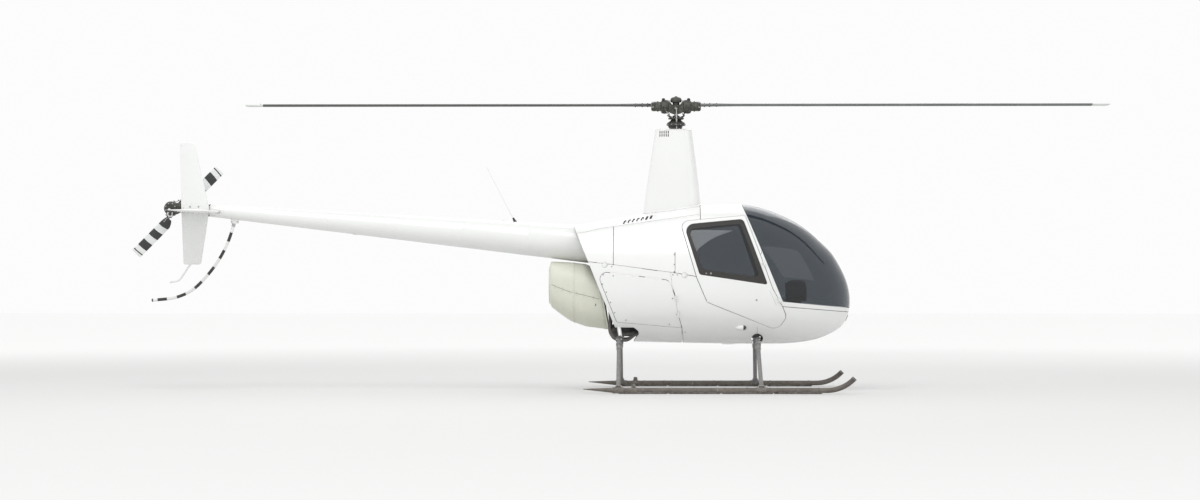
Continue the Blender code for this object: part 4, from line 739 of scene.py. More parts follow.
# Grey for dark joints and seams. It is also painted shade for the screws' dimples and cross slots and for the
# latches' finger notches.
GREY_JOINT_AND_SHADE = Finish("grey_door_seal", "black_paint", (0.20, 0.20, 0.195), (0.16, 0.16, 0.155), roughness=0.7,
              grain=350.0, depth=0.04, wear=0.0)
FRAME_BLACK = Finish("black_frame_paint", "frame_steel", (0.025, 0.025, 0.026), (0.045, 0.044, 0.042),
                     roughness=0.36, grain=200.0, depth=0.04, worn=(0.20, 0.19, 0.18), wear=0.5,
                     dust_amount=0.2)
OLIVE = Finish("dark_olive_hub_paint", "olive_metal", (0.040, 0.040, 0.034), (0.058, 0.056, 0.048),
               roughness=0.40, metallic=0.35, mottle_scale=14.0, grain=240.0, depth=0.05,
               worn=(0.17, 0.17, 0.155), wear=0.5)
STEEL = Finish("turned_steel", "bare_steel", (0.46, 0.46, 0.45), (0.36, 0.36, 0.35), roughness=0.24,
               spread=0.14, metallic=1.0, mottle_scale=18.0, grain=700.0, stretch=0.12, depth=0.05,
               worn=(0.62, 0.62, 0.61), wear=0.5)
SCORCHED = Finish("scorched_exhaust_steel", "bare_steel", (0.20, 0.165, 0.13), (0.10, 0.085, 0.075),
                  roughness=0.5, spread=0.2, metallic=0.85, mottle=0.9, mottle_scale=9.0, grain=160.0,
                  depth=0.08, wear=0.3)
CASTING = Finish("cast_aluminium", "cast_metal", (0.30, 0.30, 0.29), (0.22, 0.215, 0.205), roughness=0.55,
                 metallic=0.8, mottle_scale=12.0, grain=110.0, depth=0.14, worn=(0.50, 0.50, 0.48), wear=0.6)
ENGINE_GREY = Finish("engine_case_paint", "engine_iron", (0.17, 0.175, 0.18), (0.10, 0.10, 0.10),
                     roughness=0.5, metallic=0.3, mottle=0.8, mottle_scale=8.0, grain=130.0, depth=0.12,
                     wear=0.6)
BLADE = Banded("main_blade_paint", "blade_grey", (0.062, 0.067, 0.070), (0.090, 0.094, 0.096), roughness=0.42,
               grain=150.0, stretch=0.1, depth=0.02, wear=0.15, dust_amount=0.0, mottle_scale=5.0,
               centre=(0.0, 0.0, 2.531), edges=(3.675, 3.90), light=(0.72, 0.74, 0.72))
TAIL_BLADE = Banded("tail_blade_stripes", "blade_grey", (0.026, 0.029, 0.027), (0.20, 0.20, 0.19),
                    roughness=0.40, grain=150.0, stretch=0.2, depth=0.02, wear=0.2, dust_amount=0.0,
                    mottle_scale=8.0, centre=(-4.500, 0.220, 1.615), spread_axes=(1.0, 0.0, 1.0),
                    edges=(0.195, 0.254, 0.323, 0.382, 0.457, 0.501, 0.513, 0.540), light=(0.76, 0.78, 0.77))
BLADE_ROOT = Finish("blade_root_metal", "blade_grey", (0.070, 0.072, 0.070), (0.11, 0.11, 0.105),
                    roughness=0.36, metallic=0.5, grain=260.0, depth=0.04, worn=(0.17, 0.17, 0.16), wear=0.3)
STRUT = Finish("grey_strut_paint", "grey_metal", (0.165, 0.165, 0.170), (0.125, 0.125, 0.128), roughness=0.40,
               grain=210.0, depth=0.04, worn=(0.34, 0.34, 0.33), wear=0.7, dust_amount=0.35, dust_level=0.6)
SKID = Finish("brown_grey_skid_paint", "skid_brown", (0.062, 0.052, 0.050), (0.10, 0.086, 0.076),
              roughness=0.46, spread=0.18, mottle=0.8, mottle_scale=7.0, grain=120.0, depth=0.07,
              worn=(0.30, 0.28, 0.26), wear=0.9, dust_amount=0.5, dust_level=0.12)
SHOE = Finish("worn_shoe_steel", "skid_brown", (0.16, 0.15, 0.14), (0.09, 0.075, 0.06), roughness=0.42,
              spread=0.25, metallic=0.8, mottle=0.9, mottle_scale=16.0, grain=180.0, stretch=0.1, depth=0.12,
              wear=0.9)
TINT = Glass("tinted_pane", "tinted_glass", (0.20, 0.225, 0.25), (0.18, 0.20, 0.225), roughness=0.01,
             spread=0.015, mottle_scale=0.8, grain=2.5, depth=0.002, wear=0.0, dust_amount=0.02,
             dust_level=2.0)
HIDE = Hide("dark_seat_leather", "dark_leather", (0.032, 0.032, 0.036), (0.050, 0.048, 0.050), roughness=0.46,
            spread=0.15, mottle_scale=9.0, grain=900.0, depth=0.06, worn=(0.12, 0.115, 0.11), wear=0.5)
PIPING = Finish("seam_piping", "dark_leather", (0.07, 0.07, 0.075), (0.05, 0.05, 0.052), roughness=0.5,
                grain=800.0, depth=0.06)
THREAD = Finish("seam_thread", "dark_leather", (0.16, 0.16, 0.165), (0.12, 0.12, 0.12), roughness=0.7,
                grain=900.0, depth=0.04, wear=0.0)
CARPET = Woven("cabin_carpet", "carpet", (0.045, 0.047, 0.052), (0.07, 0.07, 0.075), roughness=0.92,
               spread=0.05, mottle_scale=30.0, grain=1400.0, depth=0.1, wear=0.0, threads=900.0)
TRIM = Finish("moulded_cabin_trim", "black_paint", (0.075, 0.078, 0.085), (0.055, 0.057, 0.062),
              roughness=0.62, grain=300.0, depth=0.03, worn=(0.15, 0.15, 0.15), wear=0.4)
DIAL = Finish("dial_face", "black_paint", (0.012, 0.012, 0.012), (0.02, 0.02, 0.02), roughness=0.25,
              grain=300.0, depth=0.01, wear=0.0)
MARKING = Finish("dial_marking", "black_paint", (0.75, 0.75, 0.72), (0.68, 0.68, 0.64), roughness=0.5,
                 wear=0.0)
# Clear lens with a faint painted glow, used for the landing lamp's bulb and both gearboxes' sight glasses.
GLOWING_LENS = Lit("clear_lens", "lamp", (0.82, 0.84, 0.86), (0.76, 0.79, 0.82), roughness=0.05, spread=0.04,
           grain=90.0, depth=0.04, wear=0.0)
DARK_LENS = Lit("dark_lens", "lamp", (0.06, 0.06, 0.07), (0.04, 0.04, 0.05), roughness=0.07, grain=90.0,
                depth=0.04, wear=0.0, glow=0.0)
CHROME = Finish("polished_fitting", "bare_steel", (0.62, 0.62, 0.62), (0.55, 0.55, 0.55), roughness=0.12,
                metallic=1.0, grain=500.0, depth=0.02, wear=0.2)
# Near-black painted shade for the fairing's louvre slits, which are blocks and not openings.
SLIT_PAINTED_SHADE = Finish("dark_inside", "black_paint", (0.010, 0.010, 0.010), (0.016, 0.016, 0.015), roughness=0.8,
                   grain=200.0, depth=0.05, wear=0.0)
BOOM_WHITE = Finish("boom_gloss_paint", "boom_paint", (0.80, 0.81, 0.80), (0.765, 0.775, 0.76),
                    roughness=0.18, spread=0.07, coat=0.5, mottle_scale=1.6, grain=190.0, depth=0.012,
                    worn=(0.5, 0.5, 0.48), wear=0.25)


def spline_through(places: np.ndarray, values: np.ndarray) -> Callable[[np.ndarray], np.ndarray]:
    """Fits a natural cubic spline.

    Args:
        places: Rising places of the knots.
        values: The knots' values, one row for each.

    Returns:
        A function from places to values.
    """
    count = len(places)
    gap = np.diff(places)
    system = np.eye(count)
    right = np.zeros_like(values)
    for i in range(1, count - 1):
        system[i, i - 1:i + 2] = gap[i - 1], 2 * (gap[i - 1] + gap[i]), gap[i]
        right[i] = 6 * ((values[i + 1] - values[i]) / gap[i] - (values[i] - values[i - 1]) / gap[i - 1])
    bend = np.linalg.solve(system, right)

    def value(at: np.ndarray) -> np.ndarray:
        """Gives the spline's values at some places."""
        at = np.atleast_1d(np.clip(at, places[0], places[-1]))
        i = np.clip(np.searchsorted(places, at, side="right") - 1, 0, count - 2)
        h = gap[i][:, None]
        a = (places[i + 1] - at)[:, None] / h
        b = 1 - a
        curl = (a ** 3 - a) * bend[i] + (b ** 3 - b) * bend[i + 1]
        return a * values[i] + b * values[i + 1] + curl * h * h / 6

    return value


@dataclass
class BodySurface:
    """The smooth outer surface of the cabin and cowls.

    A place on it is (u, turn): u runs forward to the nose, and turn goes round a section, from -pi/2 at
    the belly over the left side to pi/2 at the roof, and on down the right side to 3*pi/2.
    """

    sections: tuple[tuple[float, ...], ...] = (
        # x, roof height, belly height, height of the widest point, half width
        (-0.930, 1.457, 0.440, 1.000, 0.330),
        (-0.740, 1.489, 0.435, 0.975, 0.392),
        (-0.550, 1.521, 0.431, 0.955, 0.444),
        (-0.280, 1.566, 0.427, 0.930, 0.503),
        (0.000, 1.607, 0.420, 0.912, 0.545),
        (0.210, 1.638, 0.416, 0.900, 0.560),
        (0.420, 1.648, 0.413, 0.888, 0.562),
        (0.600, 1.645, 0.411, 0.875, 0.556),
        (0.780, 1.608, 0.411, 0.860, 0.542),
        (0.920, 1.556, 0.412, 0.848, 0.520),
        (1.070, 1.481, 0.422, 0.835, 0.482),
        (1.190, 1.396, 0.440, 0.824, 0.434),
        (1.280, 1.314, 0.464, 0.816, 0.385),
        (1.370, 1.224, 0.503, 0.808, 0.317),
        (1.440, 1.118, 0.546, 0.802, 0.246),
        (1.493, 1.012, 0.603, 0.797, 0.172),
        (1.526, 0.912, 0.680, 0.793, 0.094),
    )
    nose: tuple[float, float] = (1.541, 0.790)
    upper_power: float = 2.25
    lower_power: float = 2.6

    def __post_init__(self) -> None:
        """Fits the sections' spline, carried on past the nose so that the nose is round."""
        rows = np.array(self.sections)
        x, z = self.nose
        tip = np.array([[x, z, z, z, 0.0]])
        beyond = rows[-3:][::-1].copy()
        beyond[:, [1, 2]] = 2 * z - beyond[:, [1, 2]]
        beyond[:, 4] *= -1
        table = np.vstack([rows, tip, beyond])
        steps = np.linalg.norm(np.diff(table[:, [0, 1, 4]], axis=0), axis=1)
        self.places = np.concatenate([[0.0], np.cumsum(steps)])
        self.length = float(self.places[len(rows)])
        self.row = spline_through(self.places, table)
        self.fine = np.linspace(0, self.length, 4000)
        self.fine_x = np.maximum.accumulate(self.row(self.fine)[:, 0])

    def points(self, u: np.ndarray, turn: np.ndarray) -> np.ndarray:
        """Gives the surface's points at some places.

        Args:
            u: Places along the body.
            turn: Angles round it.

        Returns:
            One row of x, y and z for each place.
        """
        x, roof, belly, waist, half = self.row(u).T
        across, up = np.cos(turn), np.sin(turn)
        power = np.where(up > 0, self.upper_power, self.lower_power)
        rise = np.where(up > 0, roof - waist, waist - belly)
        y = half * np.sign(across) * np.abs(across) ** (2 / power)
        return np.stack([x, y, waist + rise * np.sign(up) * np.abs(up) ** (2 / power)], axis=1)

    def normals(self, u: np.ndarray, turn: np.ndarray) -> np.ndarray:
        """Gives the directions that the surface faces at some places."""
        small = 0.004
        low, high = np.clip(u - small, 0, self.length - 1e-3), np.clip(u + small, 0, self.length - 5e-4)
        u = np.clip(u, 0, self.length - 1e-3)
        along = self.points(high, turn) - self.points(low, turn)
        round_it = self.points(u, turn + small) - self.points(u, turn - small)
        cross = np.cross(round_it, along)
        return cross / np.maximum(np.linalg.norm(cross, axis=1), 1e-12)[:, None]

    def u_at(self, x: float) -> float:
        """Gives the place along the body where it reaches x."""
        return float(np.interp(x, self.fine_x, self.fine))

    def turn_at(self, u: float, height: float, side: int) -> float:
        """Gives the angle where one side of the section at u is as high as this."""
        _, roof, belly, waist, _ = self.row(np.array([u]))[0]
        if height >= waist:
            share = min(1.0, (height - waist) / max(roof - waist, 1e-6))
            turn = math.asin(share ** (self.upper_power / 2))
        else:
            share = min(1.0, (waist - height) / max(waist - belly, 1e-6))
            turn = -math.asin(share ** (self.lower_power / 2))
        return turn if side > 0 else math.pi - turn

    def place(self, x: float, height: float, side: int) -> tuple[float, float]:
        """Gives (u, turn) of the point seen at x and a height from one side."""
        u = self.u_at(x)
        return u, self.turn_at(u, height, side)

    def at(self, x: float, height: float, side: int, out: float = 0.0) -> tuple[Vector, Vector]:
        """Gives a point on the surface, moved out along its normal, and that normal."""
        u, turn = self.place(x, height, side)
        normal = Vector(self.normals(np.array([u]), np.array([turn]))[0])
        return Vector(self.points(np.array([u]), np.array([turn]))[0]) + normal * out, normal


BODY = BodySurface()


def inside(outline: np.ndarray, x: np.ndarray, z: np.ndarray) -> np.ndarray:
    """Says which of some flat points lie inside an outline.

    Args:
        outline: The outline's corners, one row each.
        x: First coordinates of the points.
        z: Second coordinates.

    Returns:
        True for each point inside.
    """
    hit = np.zeros(len(x), bool)
    for (x0, z0), (x1, z1) in zip(outline, np.roll(outline, -1, axis=0)):
        crosses = (z0 > z) != (z1 > z)
        slope = (x1 - x0) / (z1 - z0) if z1 != z0 else 0.0
        hit ^= crosses & (x < x0 + (z - z0) * slope)
    return hit


@dataclass
class Panel:
    """One panel of the body: the part of the surface inside a side-view outline."""

    name: str
    ride: Ride
    replaces: tuple[str, ...]
    finish: Finish
    thick: float = 0.020
    gap: float = 0.0022
    edge: float = 0.0016
    lining: Finish | None = None


@dataclass
class PatchMesh:
    """A patch of surface turned into a panel with rounded rims and a back."""

    points: np.ndarray
    normals: np.ndarray
    faces: np.ndarray
    panel: Panel

    def rims(self) -> tuple[np.ndarray, np.ndarray, np.ndarray]:
        """Finds the patch's outer edges.

        Returns:
            The edges as pairs of points in the faces' own sense, the points on them, and the direction
            out of the patch at each.
        """
        edges = np.concatenate([self.faces[:, [0, 1]], self.faces[:, [1, 2]], self.faces[:, [2, 0]]])
        key = np.sort(edges, axis=1)
        _, index, count = np.unique(key, axis=0, return_inverse=True, return_counts=True)
        rim = edges[count[index.reshape(-1)] == 1]
        along = self.points[rim[:, 1]] - self.points[rim[:, 0]]
        out = np.cross(along, (self.normals[rim[:, 0]] + self.normals[rim[:, 1]]) / 2)
        out /= np.maximum(np.linalg.norm(out, axis=1), 1e-9)[:, None]
        total = np.zeros_like(self.points)
        np.add.at(total, rim[:, 0], out)
        np.add.at(total, rim[:, 1], out)
        on_rim = np.unique(rim)
        size = np.linalg.norm(total[on_rim], axis=1)
        total[on_rim] /= np.maximum(size, 0.8)[:, None]
        return rim, on_rim, total

    def build(self, name: str) -> bpy.types.Mesh:
        """Makes the panel's mesh.

        Args:
            name: The mesh's name.

        Returns:
            The mesh, with its own normals set.
        """
        rim, on_rim, out = self.rims()
        panel = self.panel
        moved = self.points - out * panel.gap
        front = moved - out * panel.edge
        count = len(self.points)
        layers = [front]
        normals = [self.normals]
        slot = np.full(count, -1)
        slot[on_rim] = np.arange(len(on_rim))
        spread = out[on_rim] / np.maximum(np.linalg.norm(out[on_rim], axis=1), 1e-9)[:, None]
        up = self.normals[on_rim]
        for across, down in ((0.29, 0.29), (0.0, 1.0)):
            layers.append(moved[on_rim] - spread * panel.edge * across - up * panel.edge * down)
            mixed = up * (0.7 if across else 0.0) + spread * (0.7 if across else 1.0)
            normals.append(mixed)
        layers.append(moved[on_rim] - up * panel.thick)
        normals.append(spread)
        layers.append(front - self.normals * panel.thick)
        normals.append(-self.normals)
        starts = np.cumsum([0] + [len(layer) for layer in layers])
        faces = [tuple(f) for f in self.faces]
        kinds = [0] * len(faces)
        back = starts[4]
        faces += [(back + a, back + c, back + b) for a, b, c in self.faces]
        kinds += [2] * len(self.faces)
        for a, b in rim:
            i, j = slot[a], slot[b]
            chain_a = [a, starts[1] + i, starts[2] + i, starts[3] + i, back + a]
            chain_b = [b, starts[1] + j, starts[2] + j, starts[3] + j, back + b]
            for level in range(4):
                faces.append((chain_b[level], chain_a[level], chain_a[level + 1], chain_b[level + 1]))
                kinds.append(1)
        mesh = bpy.data.meshes.new(name)
        mesh.from_pydata(np.vstack(layers).tolist(), [], faces)
        every = np.vstack(normals)
        loop_vertex = np.zeros(len(mesh.loops), int)
        mesh.loops.foreach_get("vertex_index", loop_vertex)
        loop_normal = every[loop_vertex]
        kind = np.array(kinds)
        loop_kind = np.repeat(kind, [len(f) for f in faces])
        flip = (loop_kind == 1) & (loop_vertex >= back)
        owner = loop_vertex[flip] - back
        loop_normal[flip] = spread[slot[owner]]
        mesh.shade_smooth()
        mesh.normals_split_custom_set(loop_normal.tolist())
        if panel.lining is not None:
            mesh.polygons.foreach_set("material_index", (kind == 2).astype(np.int32))
        return mesh


@dataclass
class BodyShell:
    """The cabin and cowls: one smooth surface, parted along the seams into panels, doors and panes."""

    surface: BodySurface = field(default_factory=lambda: BODY)
    grid: float = 0.021
    radius: float = 0.5
    strip_half: float = 0.018
    hole: float = 0.062
    roof_front: float = 0.212
    split_x: float = -0.551
    shoulder: tuple[Point, ...] = ((-1.000, 1.372), (-0.817, 1.397), (-0.668, 1.432), (0.212, 1.556))
    waist: tuple[Point, ...] = ((-1.000, 1.165), (-0.745, 1.134), (-0.561, 1.112), (-0.050, 1.043))
    side_seam: tuple[Point, ...] = ((-0.011, 1.038), (0.155, 1.011), (0.230, 0.985))
    firewall: tuple[Point, ...] = ((-0.037, 0.942), (-0.006, 0.820), (0.015, 0.680), (0.050, 0.558),
                                   (0.055, 0.300))
    nose_seam: tuple[Point, ...] = ((0.880, 0.7483), (1.700, 0.6790))
    windshield: tuple[Point, ...] = (
        (0.577, 1.650), (0.931, 0.789), (1.529, 0.732), (1.700, 0.716), (1.700, 1.950), (0.500, 1.950),
    )
    door: tuple[Point, ...] = (
        (0.033, 1.492, 0.060), (0.606, 1.545, 0.025), (0.843, 0.898), (0.931, 0.737), (0.964, 0.650, 0.060),
        (0.880, 0.536, 0.090), (0.268, 0.783, 0.040), (0.177, 0.998),
    )
    window: tuple[Point, ...] = (
        (0.067, 1.463, 0.070), (0.586, 1.512, 0.040), (0.795, 0.938, 0.012), (0.205, 1.026, 0.025),
    )
    pane: tuple[Point, ...] = (
        (0.106, 1.424, 0.050), (0.563, 1.470, 0.035), (0.728, 1.000, 0.028), (0.231, 1.070, 0.030),
    )
    engine_door: tuple[Point, ...] = ((-0.702, 1.056, 0.060), (-0.058, 0.975, 0.070), (-0.006, 0.820),
                                      (0.015, 0.680), (0.050, 0.558, 0.012), (-0.522, 0.606, 0.020))
    rear_edge: tuple[Point, ...] = (
        (-1.110, 1.950), (-0.907, 1.456), (-0.538, 0.558), (-0.372, 0.558), (-0.338, 0.530), (-0.330, 0.500),
        (-0.377, 0.440), (-0.377, 0.200),
    )
    notch: tuple[float, float, float] = (0.710, 0.455, 0.050)
    vent_start: tuple[float, float] = (-0.453, 1.489)
    vent_step: tuple[float, float] = (0.0387, 0.0073)
    vent_count: int = 7
    vent_size: tuple[float, float, float] = (0.017, 0.034, -0.009)
    slits: tuple[tuple[Point, Point], ...] = (((-0.011, 1.2207), (-0.011, 1.041)),)

    def closed_lines(self) -> dict[str, list[Vector]]:
        """Gives the outlines seen from the side that enclose something."""
        lines = {
            "door": rounded_outline(self.door),
            "window": rounded_outline(self.window),
            "pane": rounded_outline(self.pane),
            "engine_door": rounded_outline(self.engine_door),
            "windshield": [Vector(p) for p in self.windshield],
            "rear": [Vector((-1.3, 1.95)), *[Vector(p) for p in self.rear_edge], Vector((-1.3, 0.2))],
        }
        x, z, radius = self.notch
        lines["notch"] = [Vector((x + radius * math.cos(a), z + radius * math.sin(a))) for a in angles(28)]
        width, height, lean = self.vent_size
        for index in range(self.vent_count):
            x, z = (start + index * step for start, step in zip(self.vent_start, self.vent_step))
            corners = [(x - width / 2 - lean, z + height / 2), (x + width / 2 - lean, z + height / 2),
                       (x + width / 2 + lean, z - height / 2), (x - width / 2 + lean, z - height / 2)]
            lines[f"vent{index}"] = rounded_outline([(*c, 0.006) for c in corners], 3)
        for index, (start, stop) in enumerate(self.slits):
            across = (Vector(stop) - Vector(start)).orthogonal().normalized() * 0.0004
            lines[f"slit{index}"] = [Vector(start) + across, Vector(start) - across, Vector(stop) - across,
                                     Vector(stop) + across]
        return lines

    def open_lines(self) -> list[list[Vector]]:
        """Gives the seams seen from the side that run from edge to edge."""
        over_roof = ((self.roof_front, self.shoulder[-1][1]), (self.roof_front, 1.95))
        down = ((self.roof_front, self.shoulder[-1][1]), (self.roof_front, 1.40))
        cowl = ((self.split_x, 1.4463), (self.split_x, 1.1105))
        joined = (*self.waist, *self.side_seam)
        fire = ((-0.0500, 1.0430), *self.firewall)
        return [[Vector(p) for p in line] for line in
                (self.shoulder, over_roof, down, cowl, joined, fire, self.nose_seam)]

    def chains(self) -> list[list[tuple[float, float]]]:
        """Gives every seam as a chain of places on the unrolled surface."""
        chains = []
        step = self.grid * 0.8
        for side in SIDES:
            closed = [(dense(line, step), True) for line in self.closed_lines().values()]
            opened = [(dense(line, step, False), False) for line in self.open_lines()]
            for line, loop in closed + opened:
                chain = []
                for p in [*line, line[0]] if loop else line:
                    u, turn = self.surface.place(p.x, p.y, side)
                    spot = (u, turn * self.radius)
                    if not chain or math.dist(chain[-1], spot) > 1e-4:
                        chain.append(spot)
                chains.append(chain)
            chains.append(self.strip_chain(side))
        return [*chains, self.hole_chain()]

    def turn_for_y(self, u: float, y: float, upper: bool) -> float:
        """Gives the angle on the left side where the section at u is this far out."""
        half = self.surface.row(np.array([u]))[0][4]
        power = self.surface.upper_power if upper else self.surface.lower_power
        turn = math.acos(min(1.0, (y / max(half, y)) ** (power / 2)))
        return turn if upper else -turn

    def strip_chain(self, side: int) -> list[tuple[float, float]]:
        """Gives the edge of the strip between the windshield's panes, on one side."""
        half = self.surface.row(self.surface.fine)[:, 4]
        ahead = self.surface.fine > self.surface.u_at(1.4)
        last = float(np.interp(-self.strip_half, -half[ahead], self.surface.fine[ahead]))
        start, stop = self.surface.u_at(0.55), self.surface.u_at(1.533)
        count = int((last - start) / (self.grid * 0.8))
        upper = [(start + (last - start) * math.sin(i / count * math.pi / 2), True) for i in range(count + 1)]
        lower = [(last + (stop - last) * i / 12, False) for i in range(1, 13)]
        chain = []
        for u, above in upper + lower:
            turn = self.turn_for_y(u, self.strip_half, above)
            chain.append((u, (turn if side > 0 else math.pi - turn) * self.radius))
        return chain

    def hole_chain(self) -> list[tuple[float, float]]:
        """Gives the hole in the roof that the mast passes."""
        chain = []
        for angle in [*angles(32), 0.0]:
            u = self.surface.u_at(self.hole * math.cos(angle))
            y = self.hole * math.sin(angle)
            turn = self.turn_for_y(u, abs(y), True)
            chain.append((u, (turn if y > 0 else math.pi - turn) * self.radius))
        return chain

    def triangulate(self) -> tuple[np.ndarray, np.ndarray, np.ndarray]:
        """Parts the unrolled surface into triangles whose edges follow every seam.

        Returns:
            The corners' places as (u, turn), the triangles, and the triangles' middles as points.
        """
        chains = self.chains()
        fixed = [spot for chain in chains for spot in chain]
        tree = KDTree(len(fixed))
        for index, (a, b) in enumerate(fixed):
            tree.insert((a, b, 0), index)
        tree.balance()
        low, high = -math.pi / 2 * self.radius, 1.5 * math.pi * self.radius
        columns = np.linspace(0, self.surface.length, round(self.surface.length / self.grid) + 1)
        rows = np.linspace(low, high, round((high - low) / self.grid) + 1)
        free = []
        for i, a in enumerate(columns):
            for b in rows if i % 2 == 0 else [low, *((rows[1:] + rows[:-1]) / 2), high]:
                edge = a in (columns[0], columns[-1]) or b in (low, high)
                if edge or tree.find((a, b, 0))[2] > self.grid * 0.45:
                    free.append(Vector((a, b)))
        spots, edges = list(free), []
        for chain in chains:
            first = len(spots)
            spots += [Vector((a, min(max(b, low), high))) for a, b in chain]
            edges += [(i, i + 1) for i in range(first, len(spots) - 1)]
        flat, _, faces, *_ = delaunay_2d_cdt(spots, edges, [], 0, 1e-5)
        flat = np.array([tuple(p) for p in flat])
        faces = np.array([f for f in faces if len(f) == 3])
        flat[:, 1] /= self.radius
        middle = flat[faces].mean(axis=1)
        return flat, faces, self.surface.points(middle[:, 0], middle[:, 1])

    def owners(self, middle: np.ndarray) -> np.ndarray:
        """Says which patch each triangle belongs to.

        Args:
            middle: The triangles' middles.

        Returns:
            The patches' names; an empty name is an opening.
        """
        x, y, z = middle.T
        side = np.where(y < 0, "right", "left").astype(object)
        shapes = {name: inside(np.array([tuple(p) for p in line]), x, z) for name,
                  line in self.closed_lines().items()}
        owner = np.full(len(x), "cabin_tub", object)
        rear = [*self.waist, *self.firewall, (-1.0, 0.300)]
        owner[inside(np.array(rear), x, z)] = "rear_lower_cowl"
        upper = [*self.shoulder, (self.roof_front, 1.40), *self.side_seam[::-1], *self.waist[::-1]]
        above = inside(np.array(upper), x, z)
        owner[above] = (side + "_upper_panel")[above]
        owner[above & (x < self.split_x)] = (side + "_upper_panel.rear")[above & (x < self.split_x)]
        line_x, line_z = np.array(self.nose_seam).T
        seam = line_z[0] + (x - line_x[0]) * (line_z[1] - line_z[0]) / (line_x[1] - line_x[0])
        front = (x > self.roof_front) & (z > seam) & (shapes["door"] | (z > 1.40) | (x > 0.74))
        owner[front] = "cabin_frame"
        roof = [*self.shoulder, (self.roof_front, 1.95), (-1.0, 1.95)]
        owner[inside(np.array(roof), x, z)] = "roof_cowl"
        for shape, name in (("engine_door", "_engine_door"), ("door", "_door"), ("window", "_window_rubber"),
                            ("pane", "_door_glass")):
            owner[shapes[shape]] = (side + name)[shapes[shape]]
        glazed = shapes["windshield"] & (np.abs(y) > self.strip_half)
        owner[glazed] = (side + "_windshield")[glazed]
        for name, shape in shapes.items():
            if name.startswith(("vent", "slit", "rear", "notch")):
                owner[shape] = ""
        owner[(x * x + y * y < self.hole ** 2) & (z > 1.2)] = ""
        return owner

    def panels(self) -> list[Panel]:
        """Lists the panels, with their finishes and what each stands for."""
        made = [
            Panel("roof_cowl_skin", Ride.AIRFRAME, ("roof_cowl",), WHITE, thick=0.008),
            Panel("cabin_frame_skin", Ride.AIRFRAME, ("cabin_frame",), WHITE, lining=TRIM),
            Panel("cabin_tub_skin", Ride.AIRFRAME, ("cabin_tub",), WHITE, lining=TRIM),
            Panel("rear_lower_cowl_skin", Ride.AIRFRAME, ("rear_lower_cowl",), WHITE, thick=0.008),
        ]
        for side in SIDES:
            word = side_word(side)
            door, hatch = DOOR_RIDES[side]
            made += [
                Panel(f"{word}_upper_skin", Ride.AIRFRAME, (f"{word}_upper_panel",), WHITE, thick=0.008),
                Panel(f"{word}_door_skin", door, (f"{word}_door",), WHITE, lining=TRIM),
                Panel(f"{word}_window_rubber", door, (), RUBBER, thick=0.008, gap=0.0, edge=0.002),
                Panel(f"{word}_door_pane", door, (f"{word}_door_glass",), TINT, thick=0.004, gap=0.0,
                      edge=0.0006),
                Panel(f"{word}_engine_door_skin", hatch, (f"{word}_engine_door",), WHITE, thick=0.010),
                Panel(f"{word}_windshield_pane", Ride.AIRFRAME, (f"{word}_windshield",), TINT, thick=0.004,
                      gap=0.0006, edge=0.0006),
            ]
        return made

    def build(self) -> None:
        """Makes every panel of the shell."""
        flat, faces, middle = self.triangulate()
        points = self.surface.points(flat[:, 0], flat[:, 1])
        normals = self.surface.normals(flat[:, 0], flat[:, 1])
        at_nose = flat[:, 0] > self.surface.length - 0.002
        normals[at_nose] = (1, 0, 0)
        _, first, same = np.unique(np.round(points, 5), axis=0, return_index=True, return_inverse=True)
        points, normals, faces = points[first], normals[first], same.reshape(-1)[faces]
        whole = (faces[:, 0] != faces[:, 1]) & (faces[:, 1] != faces[:, 2]) & (faces[:, 2] != faces[:, 0])
        faces, middle = faces[whole], middle[whole]
        facing = np.cross(points[faces[:, 1]] - points[faces[:, 0]],
                          points[faces[:, 2]] - points[faces[:, 0]])
        wrong = np.einsum("ij,ij->i", facing, normals[faces].sum(axis=1)) < 0
        faces[wrong] = faces[wrong][:, ::-1]
        owner = self.owners(middle)
        keys = {"upper_skin": "upper_panel", "door_pane": "door_glass", "windshield_pane": "windshield"}
        for panel in self.panels():
            key = panel.name.removesuffix("_skin")
            for end, name in keys.items():
                if panel.name.endswith(end):
                    key = panel.name.replace(end, name)
            patches = [p for p in np.unique(owner) if p == key or p.startswith(key + ".")]
            chosen, kept = [], []
            for patch in patches:
                part = faces[owner == patch]
                used, renumbered = np.unique(part, return_inverse=True)
                chosen.append(renumbered.reshape(-1, 3) + sum(len(k) for k in kept))
                kept.append(used)
            index = np.concatenate(kept)
            mesh = PatchMesh(points[index], normals[index], np.vstack(chosen), panel).build(panel.name)
            finishes = [panel.finish] + ([panel.lining] if panel.lining else [])
            dress(mesh, panel.name, panel.ride, finishes, panel.replaces, angle=0.0)


def top_of_body(x: float, y: float) -> float:
    """Gives the height of the body's upper surface over a place seen from above."""
    u = BODY.u_at(x)
    turn = BodyShell().turn_for_y(u, abs(y), True)
    return BODY.points(np.array([u]), np.array([turn]))[0][2]


def aerofoil(chord: float, thick: float, lead: float = 0.25, count: int = 14) -> list[tuple[float, float]]:
    """Gives a symmetric aerofoil's outline.

    Args:
        chord: Its length.
        thick: Its greatest thickness.
        lead: The share of the chord that lies ahead of 0.
        count: Points on each face.

    Returns:
        Points as (along, up), from the trailing edge over the top to the nose and back below.
    """
    shares = [0.5 * (1 + math.cos(math.pi * i / count)) for i in range(count + 1)]

    def half(s: float) -> float:
        """Gives half the thickness at a share of the chord."""
        return 5 * thick * (0.2969 * math.sqrt(s) - 0.126 * s - 0.3516 * s * s + 0.2843 * s ** 3
                            - 0.1015 * s ** 4)

    upper = [(chord * (lead - s), half(s) + 0.0004) for s in shares]
    return upper + [(a, -u) for a, u in upper[-2:0:-1]] + [(upper[0][0], -upper[0][1])]


